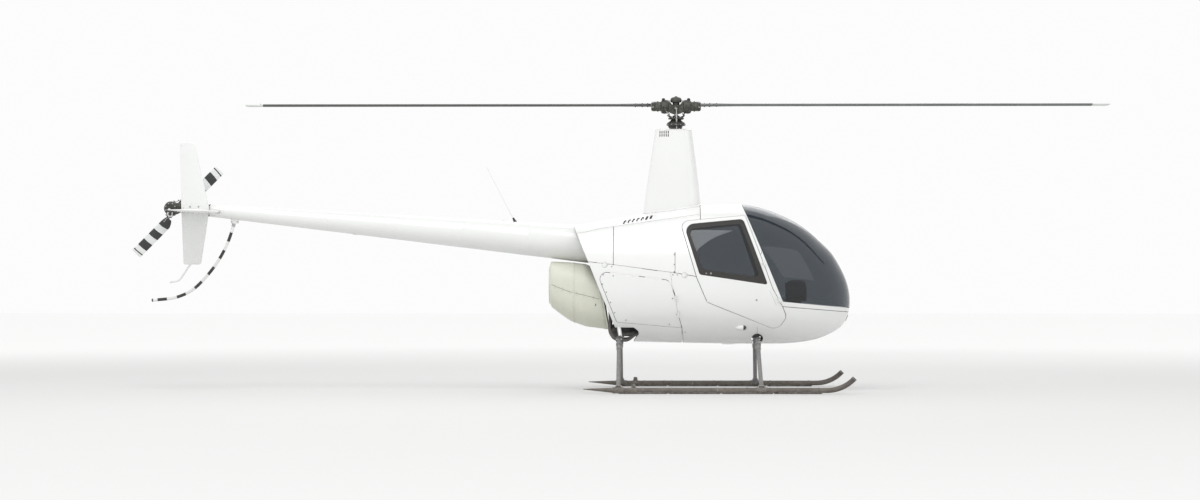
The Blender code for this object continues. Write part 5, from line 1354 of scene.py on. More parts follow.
@dataclass
class MastFairing:
    """The tall fairing round the mast, with its louvres and seams."""

    sections: tuple[tuple[float, float, float, float], ...] = (
        # height, front, rear, half width
        (1.480, 0.236, -0.298, 0.116),
        (1.560, 0.229, -0.291, 0.113),
        (1.700, 0.214, -0.274, 0.106),
        (1.950, 0.186, -0.239, 0.091),
        (2.200, 0.153, -0.200, 0.073),
        (2.296, 0.141, -0.185, 0.067),
        (2.312, 0.137, -0.181, 0.064),
        (2.318, 0.128, -0.172, 0.057),
    )
    louvre_x: float = -0.143
    louvre_pitch: float = 0.0185
    louvre_rows: tuple[tuple[float, float], ...] = ((2.277, 2.300), (2.249, 2.272))

    def ring(self, height: float, grow: float = 0.0) -> list[tuple[float, float, float]]:
        """Gives the fairing's outline at a height."""
        table = np.array(self.sections)
        front, rear, half = (float(np.interp(height, table[:, 0], table[:, i])) for i in (1, 2, 3))
        points = []
        for angle in angles(72):
            ahead = math.cos(angle) > 0
            middle = front - half * 1.15
            reach = half * 1.15 if ahead else middle - rear
            across = math.copysign(abs(math.sin(angle)) ** (1.0 if ahead else 1.05), math.sin(angle))
            pinch = 1.0 if ahead else 1.0 - 0.22 * abs(math.cos(angle)) ** 2
            points.append((middle + (reach + grow) * math.cos(angle), (half + grow) * pinch * across, height))
        return points

    def half_width(self, x: float, height: float) -> float:
        """Gives how far out the fairing's right face lies at a place."""
        ring = [p for p in self.ring(height) if p[1] < 0]
        return -float(np.interp(x, *zip(*sorted((p[0], p[1]) for p in ring))))

    def build(self) -> None:
        """Makes the fairing."""
        sketch = Sketch()
        heights = sorted({*np.linspace(1.480, 2.296, 26).tolist(), 2.312, 2.318})
        sketch.loft([self.ring(z) for z in heights])
        rim = [self.ring(z, g) for z, g in ((2.306, 0.0002), (2.3075, 0.0016), (2.3115, 0.0016),
                                            (2.313, 0.0002))]
        sketch.loft(rim, caps=False)
        sketch.turned([(2.300, 0.044), (2.318, 0.044), (2.3195, 0.040), (2.3195, 0.034), (2.305, 0.034)],
                      (0, 0, 0), Axis.Z, 48, 1)
        sketch.build("mast_fairing_skin", Ride.AIRFRAME, (WHITE, BLACK), ("mast_fairing",))
        self.louvres()
        self.foot_flange()

    def louvres(self) -> None:
        """Makes the slits high on both sides, each under a small pressed lip; each slit is a near-black
        block, painted shade where the opening would be.
        """
        sketch = Sketch()
        for side in SIDES:
            for low, high in self.louvre_rows:
                for index in range(5):
                    x = self.louvre_x + index * self.louvre_pitch
                    y = self.half_width(x, (low + high) / 2) * side
                    sketch.block((x - 0.0035, y - 0.003, low), (x + 0.0035, y + 0.0008 * side, high), 0.0012)
                    hood = (x + 0.0035, y - 0.001, low), (x + 0.0062, y + 0.0032 * side, high)
                    sketch.block(*hood, 0.001, 1)
        sketch.build("mast_fairing_louvres", Ride.AIRFRAME, (SLIT_PAINTED_SHADE, WHITE))

    def foot_flange(self) -> None:
        """Makes the sealing strip where the fairing meets the roof, with its fasteners."""
        sketch = Sketch()
        outline = self.ring(1.60, 0.004)
        loops = []
        for grow, lift in ((0.0, 0.012), (0.004, 0.010), (0.012, 0.003), (0.014, 0.0008)):
            loops.append([(x, y, top_of_body(x, y) + lift) for x, y, _ in self.ring(1.60, grow)])
        sketch.loft(loops, caps=False)
        for index in range(3, len(outline), 6):
            x, y, _ = outline[index]
            place = Vector((x, y, top_of_body(x, y) + 0.008))
            out = Vector((x * 0.4, y, 0.06)).normalized()
            sketch.turned([(0, 0.0042), (0.0012, 0.0042), (0.002, 0.003)], place, out, 12, 1)
        sketch.build("mast_fairing_foot_strip", Ride.AIRFRAME, (WHITE, CHROME))


@dataclass
class Swashplate:
    """The rings on the mast that pass the controls to the turning rotor."""

    mast_radius: float = 0.0220

    def build(self) -> None:
        """Makes the fixed and the turning half, and the mast."""
        self.fixed()
        self.turning()
        self.mast()

    def fixed(self) -> None:
        """Makes the half that stays still, on its three push rods."""
        sketch = Sketch()
        sketch.turned([(2.3185, 0.036), (2.3185, 0.050), (2.324, 0.053), (2.341, 0.053), (2.344, 0.060),
                       (2.346, 0.078), (2.350, 0.083), (2.362, 0.083), (2.3675, 0.080), (2.3675, 0.036)],
                      (0, 0, 0), Axis.Z, 56)
        for c, s in round_about(12):
            sketch.bolt((0.0835 * c, 0.0835 * s, 2.356), (c, s, 0), 0.0032, 1)
        for a in (0.6, 2.7, 4.8):
            foot = Vector((0.062 * math.cos(a), 0.062 * math.sin(a), 2.3185))
            sketch.rod(foot, foot + Vector((0, 0, 0.028)), 0.0048, finish=1)
            sketch.turned([(0, 0.009), (0.012, 0.009)], foot + Vector((0, 0, 0.020)),
                          (-math.sin(a), math.cos(a), 0), 18)
        sketch.build("swashplate_fixed_ring", Ride.AIRFRAME, (BLACK, STEEL), ("swashplate_lower",),
                     bevel=0.0006)

    def turning(self) -> None:
        """Makes the half that turns: a cone, the driving flange above it and the pitch links."""
        sketch = Sketch()
        inner = self.mast_radius + 0.0006
        sketch.turned([(2.3683, inner), (2.3683, 0.077), (2.373, 0.078), (2.377, 0.072), (2.390, 0.052),
                       (2.398, 0.045), (2.404, 0.044), (2.404, 0.067), (2.407, 0.070), (2.415, 0.070),
                       (2.418, 0.066), (2.418, 0.036), (2.436, 0.030), (2.438, inner)], (0, 0, 0), Axis.Z, 56)
        for c, s in round_about(10):
            sketch.bolt((0.057 * c, 0.057 * s, 2.418), (0, 0, 1), 0.0034, 1)
        for side in SIDES:
            low = Vector((side * 0.050, side * 0.050, 2.414))
            high = Vector((side * 0.098, side * 0.076, 2.497))
            line = high - low
            sketch.rod(low, high, 0.0048, finish=1)
            for share in (0.20, 0.80):
                place = low + line * share
                sketch.rod(place - line * 0.07, place + line * 0.07, 0.0078, steps=6)
            for place in (low, high):
                sketch.collar((0.008, 0.0085), (0.006, 0.0105), place, (side * 0.55, -side * 0.83, 0), 22)
                sketch.bolt(place + Vector((side * 0.0044, -side * 0.0066, 0)),
                            (side * 0.55, -side * 0.83, 0), 0.0045, 1)
            elbow = [Vector((side * 0.040, side * 0.030, 2.424)), Vector((side * 0.072, 0, 2.436)),
                     Vector((side * 0.058, -side * 0.012, 2.455))]
            sketch.tube(smooth_path(elbow, 6), 0.0058, 12)
            low_ear = Vector((side * 0.034, side * 0.024, 2.408))
            sketch.block(low_ear - Vector((0.012, 0.012, 0.006)), low + Vector((0.010, 0.010, 0.004)), 0.003)
        sketch.build("swashplate_turning_cone", Ride.MAIN_ROTOR, (OLIVE, STEEL), ("swashplate_upper",),
                     bevel=0.0006)

    def mast(self) -> None:
        """Makes the turned mast with the neck under its top."""
        sketch = Sketch()
        radius = self.mast_radius
        sketch.turned([(1.5004, radius), (2.436, radius), (2.438, radius * 0.86), (2.452, radius * 0.86),
                       (2.454, radius), (2.468, radius)], (0, 0, 0), Axis.Z, 48)
        sketch.build("rotor_mast_tube", Ride.MAIN_ROTOR, (STEEL,), ("mast",))


@dataclass
class MainRotor:
    """The two-blade rotor: fork, blade grips and blades."""

    level: float = 2.531
    grip_level: float = 2.519
    root: float = 0.2225
    radius: float = 3.835
    chord: float = 0.183
    thick: float = 0.0225

    def build(self) -> None:
        """Makes the head and both blades."""
        self.head()
        for side, name in ((1, "front"), (-1, "rear")):
            self.blade(side, name)

    def head(self) -> None:
        """Makes the fork on the mast, the two grips and the small fittings on them."""
        sketch = Sketch()
        fork = rounded_outline([(-0.128, 2.560, 0.012), (-0.132, 2.492, 0.010), (-0.060, 2.468, 0.015),
                                (-0.036, 2.456), (0.036, 2.456), (0.060, 2.468, 0.015), (0.132, 2.492, 0.010),
                                (0.128, 2.560, 0.012), (0.058, 2.562, 0.010), (0.030, 2.528, 0.020),
                                (-0.030, 2.528, 0.020), (-0.058, 2.562, 0.010)], 6)
        for side in SIDES:
            sketch.plate(fork, side * 0.034, side * 0.047)
            out = (0, side, 0)
            for x in (-0.088, 0.088):
                place = Vector((x, side * 0.047, 2.522))
                sketch.turned([(0, 0.022), (0.004, 0.022), (0.006, 0.019)], place, out, 30)
                sketch.bolt(place + Vector((0, side * 0.006, 0)), out, 0.0105)
            place = Vector((0, side * 0.047, 2.500))
            sketch.turned([(0, 0.027), (0.006, 0.027), (0.009, 0.022), (0.014, 0.021), (0.016, 0.018)], place,
                          out, 32)
            sketch.bolt(place + Vector((0, side * 0.016, 0)), out, 0.0085, 1)
            self.link(sketch, side)
        sketch.turned([(2.452, 0.031), (2.470, 0.036), (2.500, 0.036), (2.536, 0.031), (2.552, 0.030),
                       (2.556, 0.047), (2.566, 0.051), (2.582, 0.050), (2.594, 0.043), (2.601, 0.028),
                       (2.604, 0.012), (2.609, 0.011), (2.609, 0.003)], (0, 0, 0), Axis.Z, 44)
        for c, s in round_about(8, 0.5):
            sketch.bolt((0.050 * c, 0.050 * s, 2.574), (c, s, 0.3), 0.0042)
        for side in SIDES:
            self.grip(sketch, side)
        sketch.build("rotor_head_assembly", Ride.MAIN_ROTOR, (OLIVE, STEEL, RUBBER), ("rotor_hub",),
                     bevel=0.0009)

    def link(self, sketch: Sketch, side: int) -> None:
        """Adds one pitch link, from the swashplate's ear up to the grip's arm, with its two rod ends."""
        low, high = Vector((0.004, side * 0.079, 2.372)), Vector((0.004, side * 0.076, 2.512))
        sketch.rod(low, high, 0.0052, steps=16, finish=1)
        for place in (low, high):
            sketch.collar((0.008, 0.0075), (0.006, 0.0098), place, Axis.X, 20)
        for share in (0.2, 0.8):
            place = low.lerp(high, share)
            sketch.turned([(-0.007, 0.0072), (0.007, 0.0072)], place, high - low, 6, 1)

    def grip(self, sketch: Sketch, side: int) -> None:
        """Adds one blade's grip: the flapping block, the feathering housing and its arm."""
        out = (side, 0, 0)
        centre = Vector((0, 0, self.grip_level))
        sketch.turned([(0.052, 0.024), (0.058, 0.033), (0.066, 0.033)], centre, out, 40, 2)
        drum = Vector((0, 0, self.grip_level - 0.003))
        sketch.turned([(0.062, 0.046), (0.070, 0.0610), (0.104, 0.0640), (0.126, 0.0610), (0.136, 0.046)],
                      drum, out, 10)
        sketch.turned([(0.098, 0.0648), (0.104, 0.0652), (0.110, 0.0648)], drum, out, 10)
        sketch.turned([(0.116, 0.036), (0.122, 0.0415), (0.205, 0.0425), (0.213, 0.040), (0.2205, 0.033)],
                      centre, out, 12)
        for along in (0.128, 0.196):
            sketch.turned([(along, 0.0434), (along + 0.006, 0.0434)], centre, out, 40)
        for c, s in round_about(6, 0.5):
            sketch.bolt(centre + Vector((side * 0.162, 0.0415 * c, 0.0415 * s)), (0, c, s), 0.0055)
        sketch.block((side * 0.084, side * 0.020, 2.508), (side * 0.114, side * 0.080, 2.522), 0.004)
        sketch.turned([(-0.010, 0.0105), (0.010, 0.0105)], (side * 0.098, side * 0.076, 2.505), Axis.Z, 24)
        sketch.turned([(0, 0.010), (0.006, 0.0145), (0.014, 0.0145), (0.019, 0.009), (0.020, 0.003)],
                      (side * 0.112, -0.012, 2.572), Axis.Z, 26, 2)
        sketch.turned([(0, 0.010), (0.014, 0.010), (0.018, 0.007)], (side * 0.066, -0.020, 2.556), Axis.Z, 20,
                      1)
        for edge in (-0.052, 0.052):
            sketch.block((side * 0.186, min(0, edge) + 0.02 * (edge > 0), 2.512),
                         (side * 0.2205, max(0, edge) - 0.02 * (edge < 0), 2.550), 0.006)
            sketch.bolt((side * 0.204, edge * 0.86, 2.550), (0, 0, 1), 0.008, 1)
            sketch.bolt((side * 0.204, edge * 0.86, 2.512), (0, 0, -1), 0.008, 1)

    def blade(self, side: int, name: str) -> None:
        """Makes one blade, with its root doublers, leading-edge strip, trim tab and tip cap.

        Args:
            side: 1 for the blade that points forward, -1 for the other.
            name: Its place, for the piece's name.
        """
        sketch = Sketch()
        stations = ((self.root, 0.62, 1.30), (0.262, 0.78, 1.20), (0.330, 0.96, 1.05), (0.400, 1.0, 1.0),
                    (1.50, 1.0, 1.0), (2.70, 1.0, 1.0), (3.674, 1.0, 1.0), (3.676, 1.0, 1.0),
                    (3.806, 1.0, 1.0), (3.822, 0.985, 0.85), (3.831, 0.96, 0.55), (self.radius, 0.93, 0.2))
        rings = []
        for x, width, height in stations:
            foil = aerofoil(self.chord * width, self.thick * height)
            rings.append([(side * x, side * along, self.level + up) for along, up in foil])
        sketch.loft(rings)
        strip = aerofoil(self.chord * 1.003, self.thick * 1.03)
        front = [(a, u) for a, u in strip if a > self.chord * 0.19]
        back = [(along - 0.0008, up * 0.96) for along, up in front[::-1]]
        sketch.loft([[(side * x, side * a, self.level + u) for a, u in front + back] for x in (0.42, 3.66)],
                    1)
        for level in (1, -1):
            root = rounded_outline([(0.226, -0.040, 0.008), (0.226, 0.036, 0.008), (0.34, 0.030, 0.012),
                                    (0.50, 0.006, 0.006), (0.50, -0.020, 0.006), (0.34, -0.052, 0.012)], 5)
            plate = [(side * x, side * y) for x, y in root]
            top = self.level + level * (self.thick * 0.5 + 0.0006)
            sketch.plate(plate, self.level + level * 0.004, top, Axis.Z, 1)
            for x, y in ((0.252, -0.022), (0.252, 0.020), (0.300, -0.026), (0.300, 0.016), (0.36, -0.02)):
                sketch.bolt((side * x, side * y, top), (0, 0, level), 0.0052, 1)
        tab = -self.chord * 0.75
        sketch.block((side * 2.30, side * (tab - 0.022), self.level - 0.0006),
                     (side * 2.62, side * (tab + 0.006), self.level + 0.0006), 0.0004, 1)
        for y in (0.030, 0.012):
            sketch.bolt((side * 3.70, side * y, self.level + self.thick * 0.5 - 0.001), (0, 0, 1), 0.0035, 1)
        sketch.build(f"main_blade_{name}_skin", Ride.MAIN_ROTOR, (BLADE, BLADE_ROOT), (f"main_blade_{name}",),
                     angle=28.0)


@dataclass
class TailBoom:
    """The tapering boom with its riveted joints, and the antenna on it."""

    start: tuple[float, float, float] = (-0.7123, 0.0, 1.2870)
    end: tuple[float, float, float] = (-4.1510, 0.0, 1.5960)
    radii: tuple[float, float] = (0.1660, 0.0556)
    joints: tuple[float, ...] = (0.012, 0.175, 0.345, 0.520, 0.695, 0.860, 0.985)
    antenna_foot: tuple[float, float, float] = (-1.436, 0.0, 1.498)
    antenna_tip: tuple[float, float, float] = (-1.684, 0.0, 1.980)

    def radius(self, share: float) -> float:
        """Gives the boom's radius at a share of its length."""
        return self.radii[0] + (self.radii[1] - self.radii[0]) * share

    def at(self, share: float, angle: float, out: float = 0.0) -> tuple[Vector, Vector]:
        """Gives a place on the boom and the direction away from its axis.

        Args:
            share: 0 at the front end, 1 at the rear end.
            angle: Round the axis, from straight up.
            out: How far off the skin.
        """
        start, end = Vector(self.start), Vector(self.end)
        along = (end - start).normalized()
        across = Vector((0, 1, 0))
        up = across.cross(along).normalized()
        normal = up * math.cos(angle) + across * math.sin(angle)
        return start.lerp(end, share) + normal * (self.radius(share) + out), normal

    def build(self) -> None:
        """Makes the boom, its rivets and the antenna."""
        self.skin()
        self.rivets()
        self.antenna()

    def skin(self) -> None:
        """Makes the sheets, each lapping the next by a hair, with open ends."""
        sketch = Sketch()
        length = (Vector(self.end) - Vector(self.start)).length
        profile = [(0.0, self.radii[0] - 0.008), (0.0, self.radii[0] - 0.002)]
        edges = (0.0, *self.joints, 1.0)
        for index, (near, far) in enumerate(zip(edges, edges[1:])):
            for share, lift in ((near, 0.0), (near + 0.0004, 0.0006 if index else 0.0),
                                (far - 0.0002, -0.0002)):
                profile.append((share * length, self.radius(share) + lift))
        profile += [(length, self.radii[1] - 0.0004), (length, self.radii[1] - 0.008)]
        profile += [(length - 0.02, self.radii[1] - 0.008), (0.02, self.radii[0] - 0.008)]
        sketch.turned(profile, self.start, Vector(self.end) - Vector(self.start), 96)
        sketch.build("tail_boom_skin", Ride.AIRFRAME, (BOOM_WHITE,), ("tail_boom",), angle=20.0)

    def rivets(self) -> None:
        """Makes the rings of rivets at the joints, the line of them under the boom, and two round covers."""
        sketch = Sketch()
        places = []
        for share in self.joints:
            count = int(2 * math.pi * self.radius(share) / 0.030)
            for step in (-0.0030, 0.0030) if 0.1 < share < 0.97 else (0.0040,):
                places += [self.at(share + step, angle) for angle in angles(count, 0.5)]
        places += [self.at(0.02 + index * 0.0091, math.pi - 0.35) for index in range(106)]
        for place, normal in places:
            sketch.turned([(0, 0.0024), (0.0005, 0.0022), (0.0009, 0.0012)], place, normal, 8)
        for share, angle in ((0.24, 0.0), (0.62, math.pi)):
            place, normal = self.at(share, angle, -0.001)
            sketch.turned([(0, 0.026), (0.0022, 0.026), (0.003, 0.024)], place, normal, 30)
            for index in range(4):
                turn = Matrix.Rotation(math.pi * (index + 0.5) / 2, 3, normal)
                sketch.bolt(place + turn @ Vector((0.019, 0, 0)) + normal * 0.003, normal, 0.0030)
        sketch.build("tail_boom_rivets", Ride.AIRFRAME, (BOOM_WHITE,))

    def antenna(self) -> None:
        """Makes the whip, leaning aft from its rubber boot."""
        sketch = Sketch()
        foot, tip = Vector(self.antenna_foot), Vector(self.antenna_tip)
        axis = (tip - foot).normalized()
        sketch.rod(foot, foot + axis * 0.10, 0.0052, 0.0046, 20)
        sketch.rod(foot + axis * 0.10, tip - axis * 0.006, 0.0042, 0.0028, 20)
        sketch.rod(tip - axis * 0.012, tip, 0.0038, 0.0036, 16)
        up = Vector((0.08, 0, 1)).normalized()
        base = foot - axis * 0.012
        sketch.turned([(0.0, 0.019), (0.004, 0.018), (0.009, 0.013), (0.022, 0.0105), (0.034, 0.0088),
                       (0.041, 0.0082), (0.043, 0.0066)], base + up * 0.004, axis, 30, 1)
        for side in SIDES:
            sketch.bolt(base + Vector((0.0, side * 0.0135, 0.011)), up, 0.0028, 2)
        sketch.build("whip_antenna_rod", Ride.AIRFRAME, (WHITE, RUBBER, CHROME), ("antenna",))


@dataclass
class TailFins:
    """The upright fin with its small skid, and the level fin on its right."""

    middle_y: float = -0.080
    half: float = 0.0115
    root: tuple[float, float, float] = (-4.493, -4.050, 1.590)
    span: tuple[float, float] = (-0.0923, -0.642)
    thick: float = 0.0295

    def build(self) -> None:
        """Makes both fins."""
        self.upright()
        self.level()

    def chord_at(self, z: float) -> tuple[float, float]:
        """Gives the rear and the front edge of the upright fin at a height."""
        front = np.interp(z, (1.114, 1.610, 2.200), (-4.221, -4.146, -4.280))
        rear = np.interp(z, (1.114, 1.610, 2.200), (-4.377, -4.398, -4.413))
        round_top = max(0.0, (z - 2.180) / 0.020)
        round_foot = max(0.0, (1.130 - z) / 0.016)
        drawn = 0.020 * (1 - math.sqrt(max(0.0, 1 - min(1.0, max(round_top, round_foot)) ** 2)))
        return float(rear) + drawn * 0.6, float(front) - drawn

    def upright(self) -> None:
        """Makes the upright fin as a thin aerofoil, with ribs' rivets, and the skid tube below it."""
        sketch = Sketch()
        rings = []
        heights = [1.114, 1.1145, 1.117, 1.121, 1.130, *np.linspace(1.16, 2.16, 24).tolist(), 2.180, 2.190,
                   2.196, 2.1994, 2.200]
        for z in heights:
            rear, front = self.chord_at(z)
            edge = min(z - 1.114, 2.200 - z)
            thin = min(1.0, 0.25 + edge / 0.006)
            foil = aerofoil(front - rear, 2 * self.half * thin, 0.0)
            rings.append([(front + along, self.middle_y + up, z) for along, up in foil])
        sketch.loft(rings)
        for z in (1.30, 1.47, 1.78, 1.95, 2.10):
            rear, front = self.chord_at(z)
            for index in range(9):
                share = 0.10 + 0.09 * index
                up = self.half * float(np.interp(share, (0.1, 0.3, 0.82), (0.80, 1.0, 0.42)))
                for side in SIDES:
                    place = Vector((front - (front - rear) * share, self.middle_y + side * up, z))
                    sketch.turned([(-0.0006, 0.0022), (0.0004, 0.0020), (0.0007, 0.0010)], place,
                                  (0, side, 0), 8)
        for z in (1.62, 2.17):
            rear, _ = self.chord_at(z)
            sketch.turned([(0, 0.0028), (0.0012, 0.0020)], (rear + 0.020, self.middle_y - 0.0055, z),
                          (0, -1, 0), 10, 1)
        path = bent_path([(-4.302, self.middle_y, 1.140), (-4.415, self.middle_y, 0.967),
                          (-4.490, self.middle_y, 0.958)], 0.05, 6)
        sketch.tube(path, 0.0085, 18, 2)
        sketch.turned([(0, 0.010), (0.010, 0.010), (0.013, 0.008)], (-4.486, self.middle_y, 0.9583),
                      (-1, 0, -0.12), 20, 2)
        sketch.rod((-4.302, self.middle_y, 1.140), (-4.325, self.middle_y, 1.104), 0.0130, 0.0110, 20, 2)
        sketch.block((-4.330, -0.0705, 1.582), (-4.230, -0.0522, 1.638), 0.004, 2)
        for x in (-4.318, -4.242):
            for z in (1.592, 1.628):
                sketch.bolt((x, -0.0925, z), (0, -1, 0), 0.0060, 1)
        sketch.build("vertical_fin_skin", Ride.AIRFRAME, (BOOM_WHITE, STEEL, WHITE), ("vertical_fin",),
                     angle=30.0)

    def level(self) -> None:
        """Makes the level fin with its rounded tip, rivets and the small ring under it."""
        sketch = Sketch()
        rear, front, level = self.root
        chord = front - rear
        near, far = self.span
        drop = math.tan(math.radians(1.5))
        rings = []
        for share in (0.0, 0.004, *np.linspace(0.05, 0.95, 12).tolist(), 0.975, 0.988, 0.996, 1.0):
            y = near + (far - near) * share
            scale = 1.0 - 0.14 * share
            end = max(0.0, (share - 0.95) / 0.05)
            thin = math.sqrt(max(0.02, 1 - end ** 2))
            scale *= 1 - 0.035 * (1 - thin)
            ring = []
            for along, up in aerofoil(chord, self.thick * thin):
                x = front - chord * 0.25 + along * scale
                ring.append((x, y, level + up * scale - (x - rear) * drop))
            rings.append(ring)
        sketch.loft(rings)
        for row in (0.10, 0.36, 0.64, 0.90):
            y = near + (far - near) * row
            scale = 1.0 - 0.14 * row
            for index in range(16):
                along = 0.17 - 0.052 * index
                x = front - chord * 0.25 + chord * along * scale
                rise = float(np.interp(along, (-0.63, -0.30, 0.0, 0.17),
                                       (0.30, 0.78, 1.0, 0.85))) * self.thick / 2
                for face in (1, -1):
                    place = Vector((x, y, level + face * rise * scale - (x - rear) * drop))
                    sketch.turned([(-0.0008, 0.0022), (0.0004, 0.0020), (0.0007, 0.0010)], place,
                                  (0, 0, face), 8)
        for x in (front - 0.010, rear + 0.12):
            z = level - (x - rear) * drop
            sketch.block((x - 0.035, near - 0.016, z - 0.012), (x + 0.012, near + 0.0006, z + 0.012), 0.003,
                         1)
        ring_x = -4.464
        sketch.tube(smooth_path([(ring_x - 0.020, -0.30, 1.574), (ring_x - 0.017, -0.30, 1.546),
                                 (ring_x, -0.30, 1.538), (ring_x + 0.017, -0.30, 1.546),
                                 (ring_x + 0.020, -0.30, 1.574)], 6), 0.0042, 12, 2)
        sketch.build("horizontal_stabiliser_skin", Ride.AIRFRAME, (BOOM_WHITE, STEEL, WHITE),
                     ("horizontal_stabiliser",), angle=30.0)


@dataclass
class TailGuard:
    """The bow guard under the tail, painted with black bands."""

    path: tuple[tuple[float, float], ...] = (
        (-3.931, 1.500), (-3.997, 1.287), (-4.120, 1.076), (-4.298, 0.887), (-4.453, 0.815), (-4.670, 0.796),
    )
    radius: float = 0.0138
    bands: tuple[tuple[float, float], ...] = (
        (0.105, 0.190), (0.275, 0.360), (0.450, 0.535), (0.620, 0.705), (0.800, 0.885), (0.975, 1.060),
    )

    def build(self) -> None:
        """Makes the tube in painted lengths, its saddle and its end cap."""
        sketch = Sketch()
        route = [Vector(p) for p in bent_path([(x, 0.0, z) for x, z in self.path], 0.30, 8)]
        lengths = [0.0]
        for near, far in zip(route, route[1:]):
            lengths.append(lengths[-1] + (far - near).length)
        table = np.array([tuple(p) for p in route])

        def at(length: float) -> tuple[float, float, float]:
            """Gives the place this far along the tube."""
            return tuple(float(np.interp(length, lengths, table[:, i])) for i in range(3))

        edges = sorted({0.0, lengths[-1], *[min(edge, lengths[-1]) for band in self.bands for edge in band]})
        for near, far in zip(edges, edges[1:]):
            middle = (near + far) / 2
            dark = any(low < middle < high for low, high in self.bands)
            steps = max(2, int((far - near) / 0.012))
            points = [at(near + (far - near) * i / steps) for i in range(steps + 1)]
            sketch.tube(points, self.radius, 28, 1 if dark else 0)
        tip = Vector(at(lengths[-1]))
        axis = (tip - Vector(at(lengths[-1] - 0.02))).normalized()
        sketch.turned([(-0.010, 0.0145), (0.0, 0.0145), (0.003, 0.011), (0.004, 0.004)], tip, axis, 24, 1)
        sketch.block((-3.966, -0.022, 1.480), (-3.896, 0.022, 1.5190), 0.004)
        for x in (-3.957, -3.905):
            for side in SIDES:
                sketch.bolt((x, side * 0.0225, 1.495), (0, side, 0), 0.0048, 2)
        for z in (1.470, 1.458):
            sketch.turned([(-0.004, 0.0170), (0.004, 0.0170)], (-3.9375 - (1.48 - z) * 0.3, 0, z),
                          (0.3, 0, 1), 26, 2)
        sketch.build("tail_guard_tube", Ride.AIRFRAME, (BOOM_WHITE, BLACK, STEEL), ("tail_guard",))


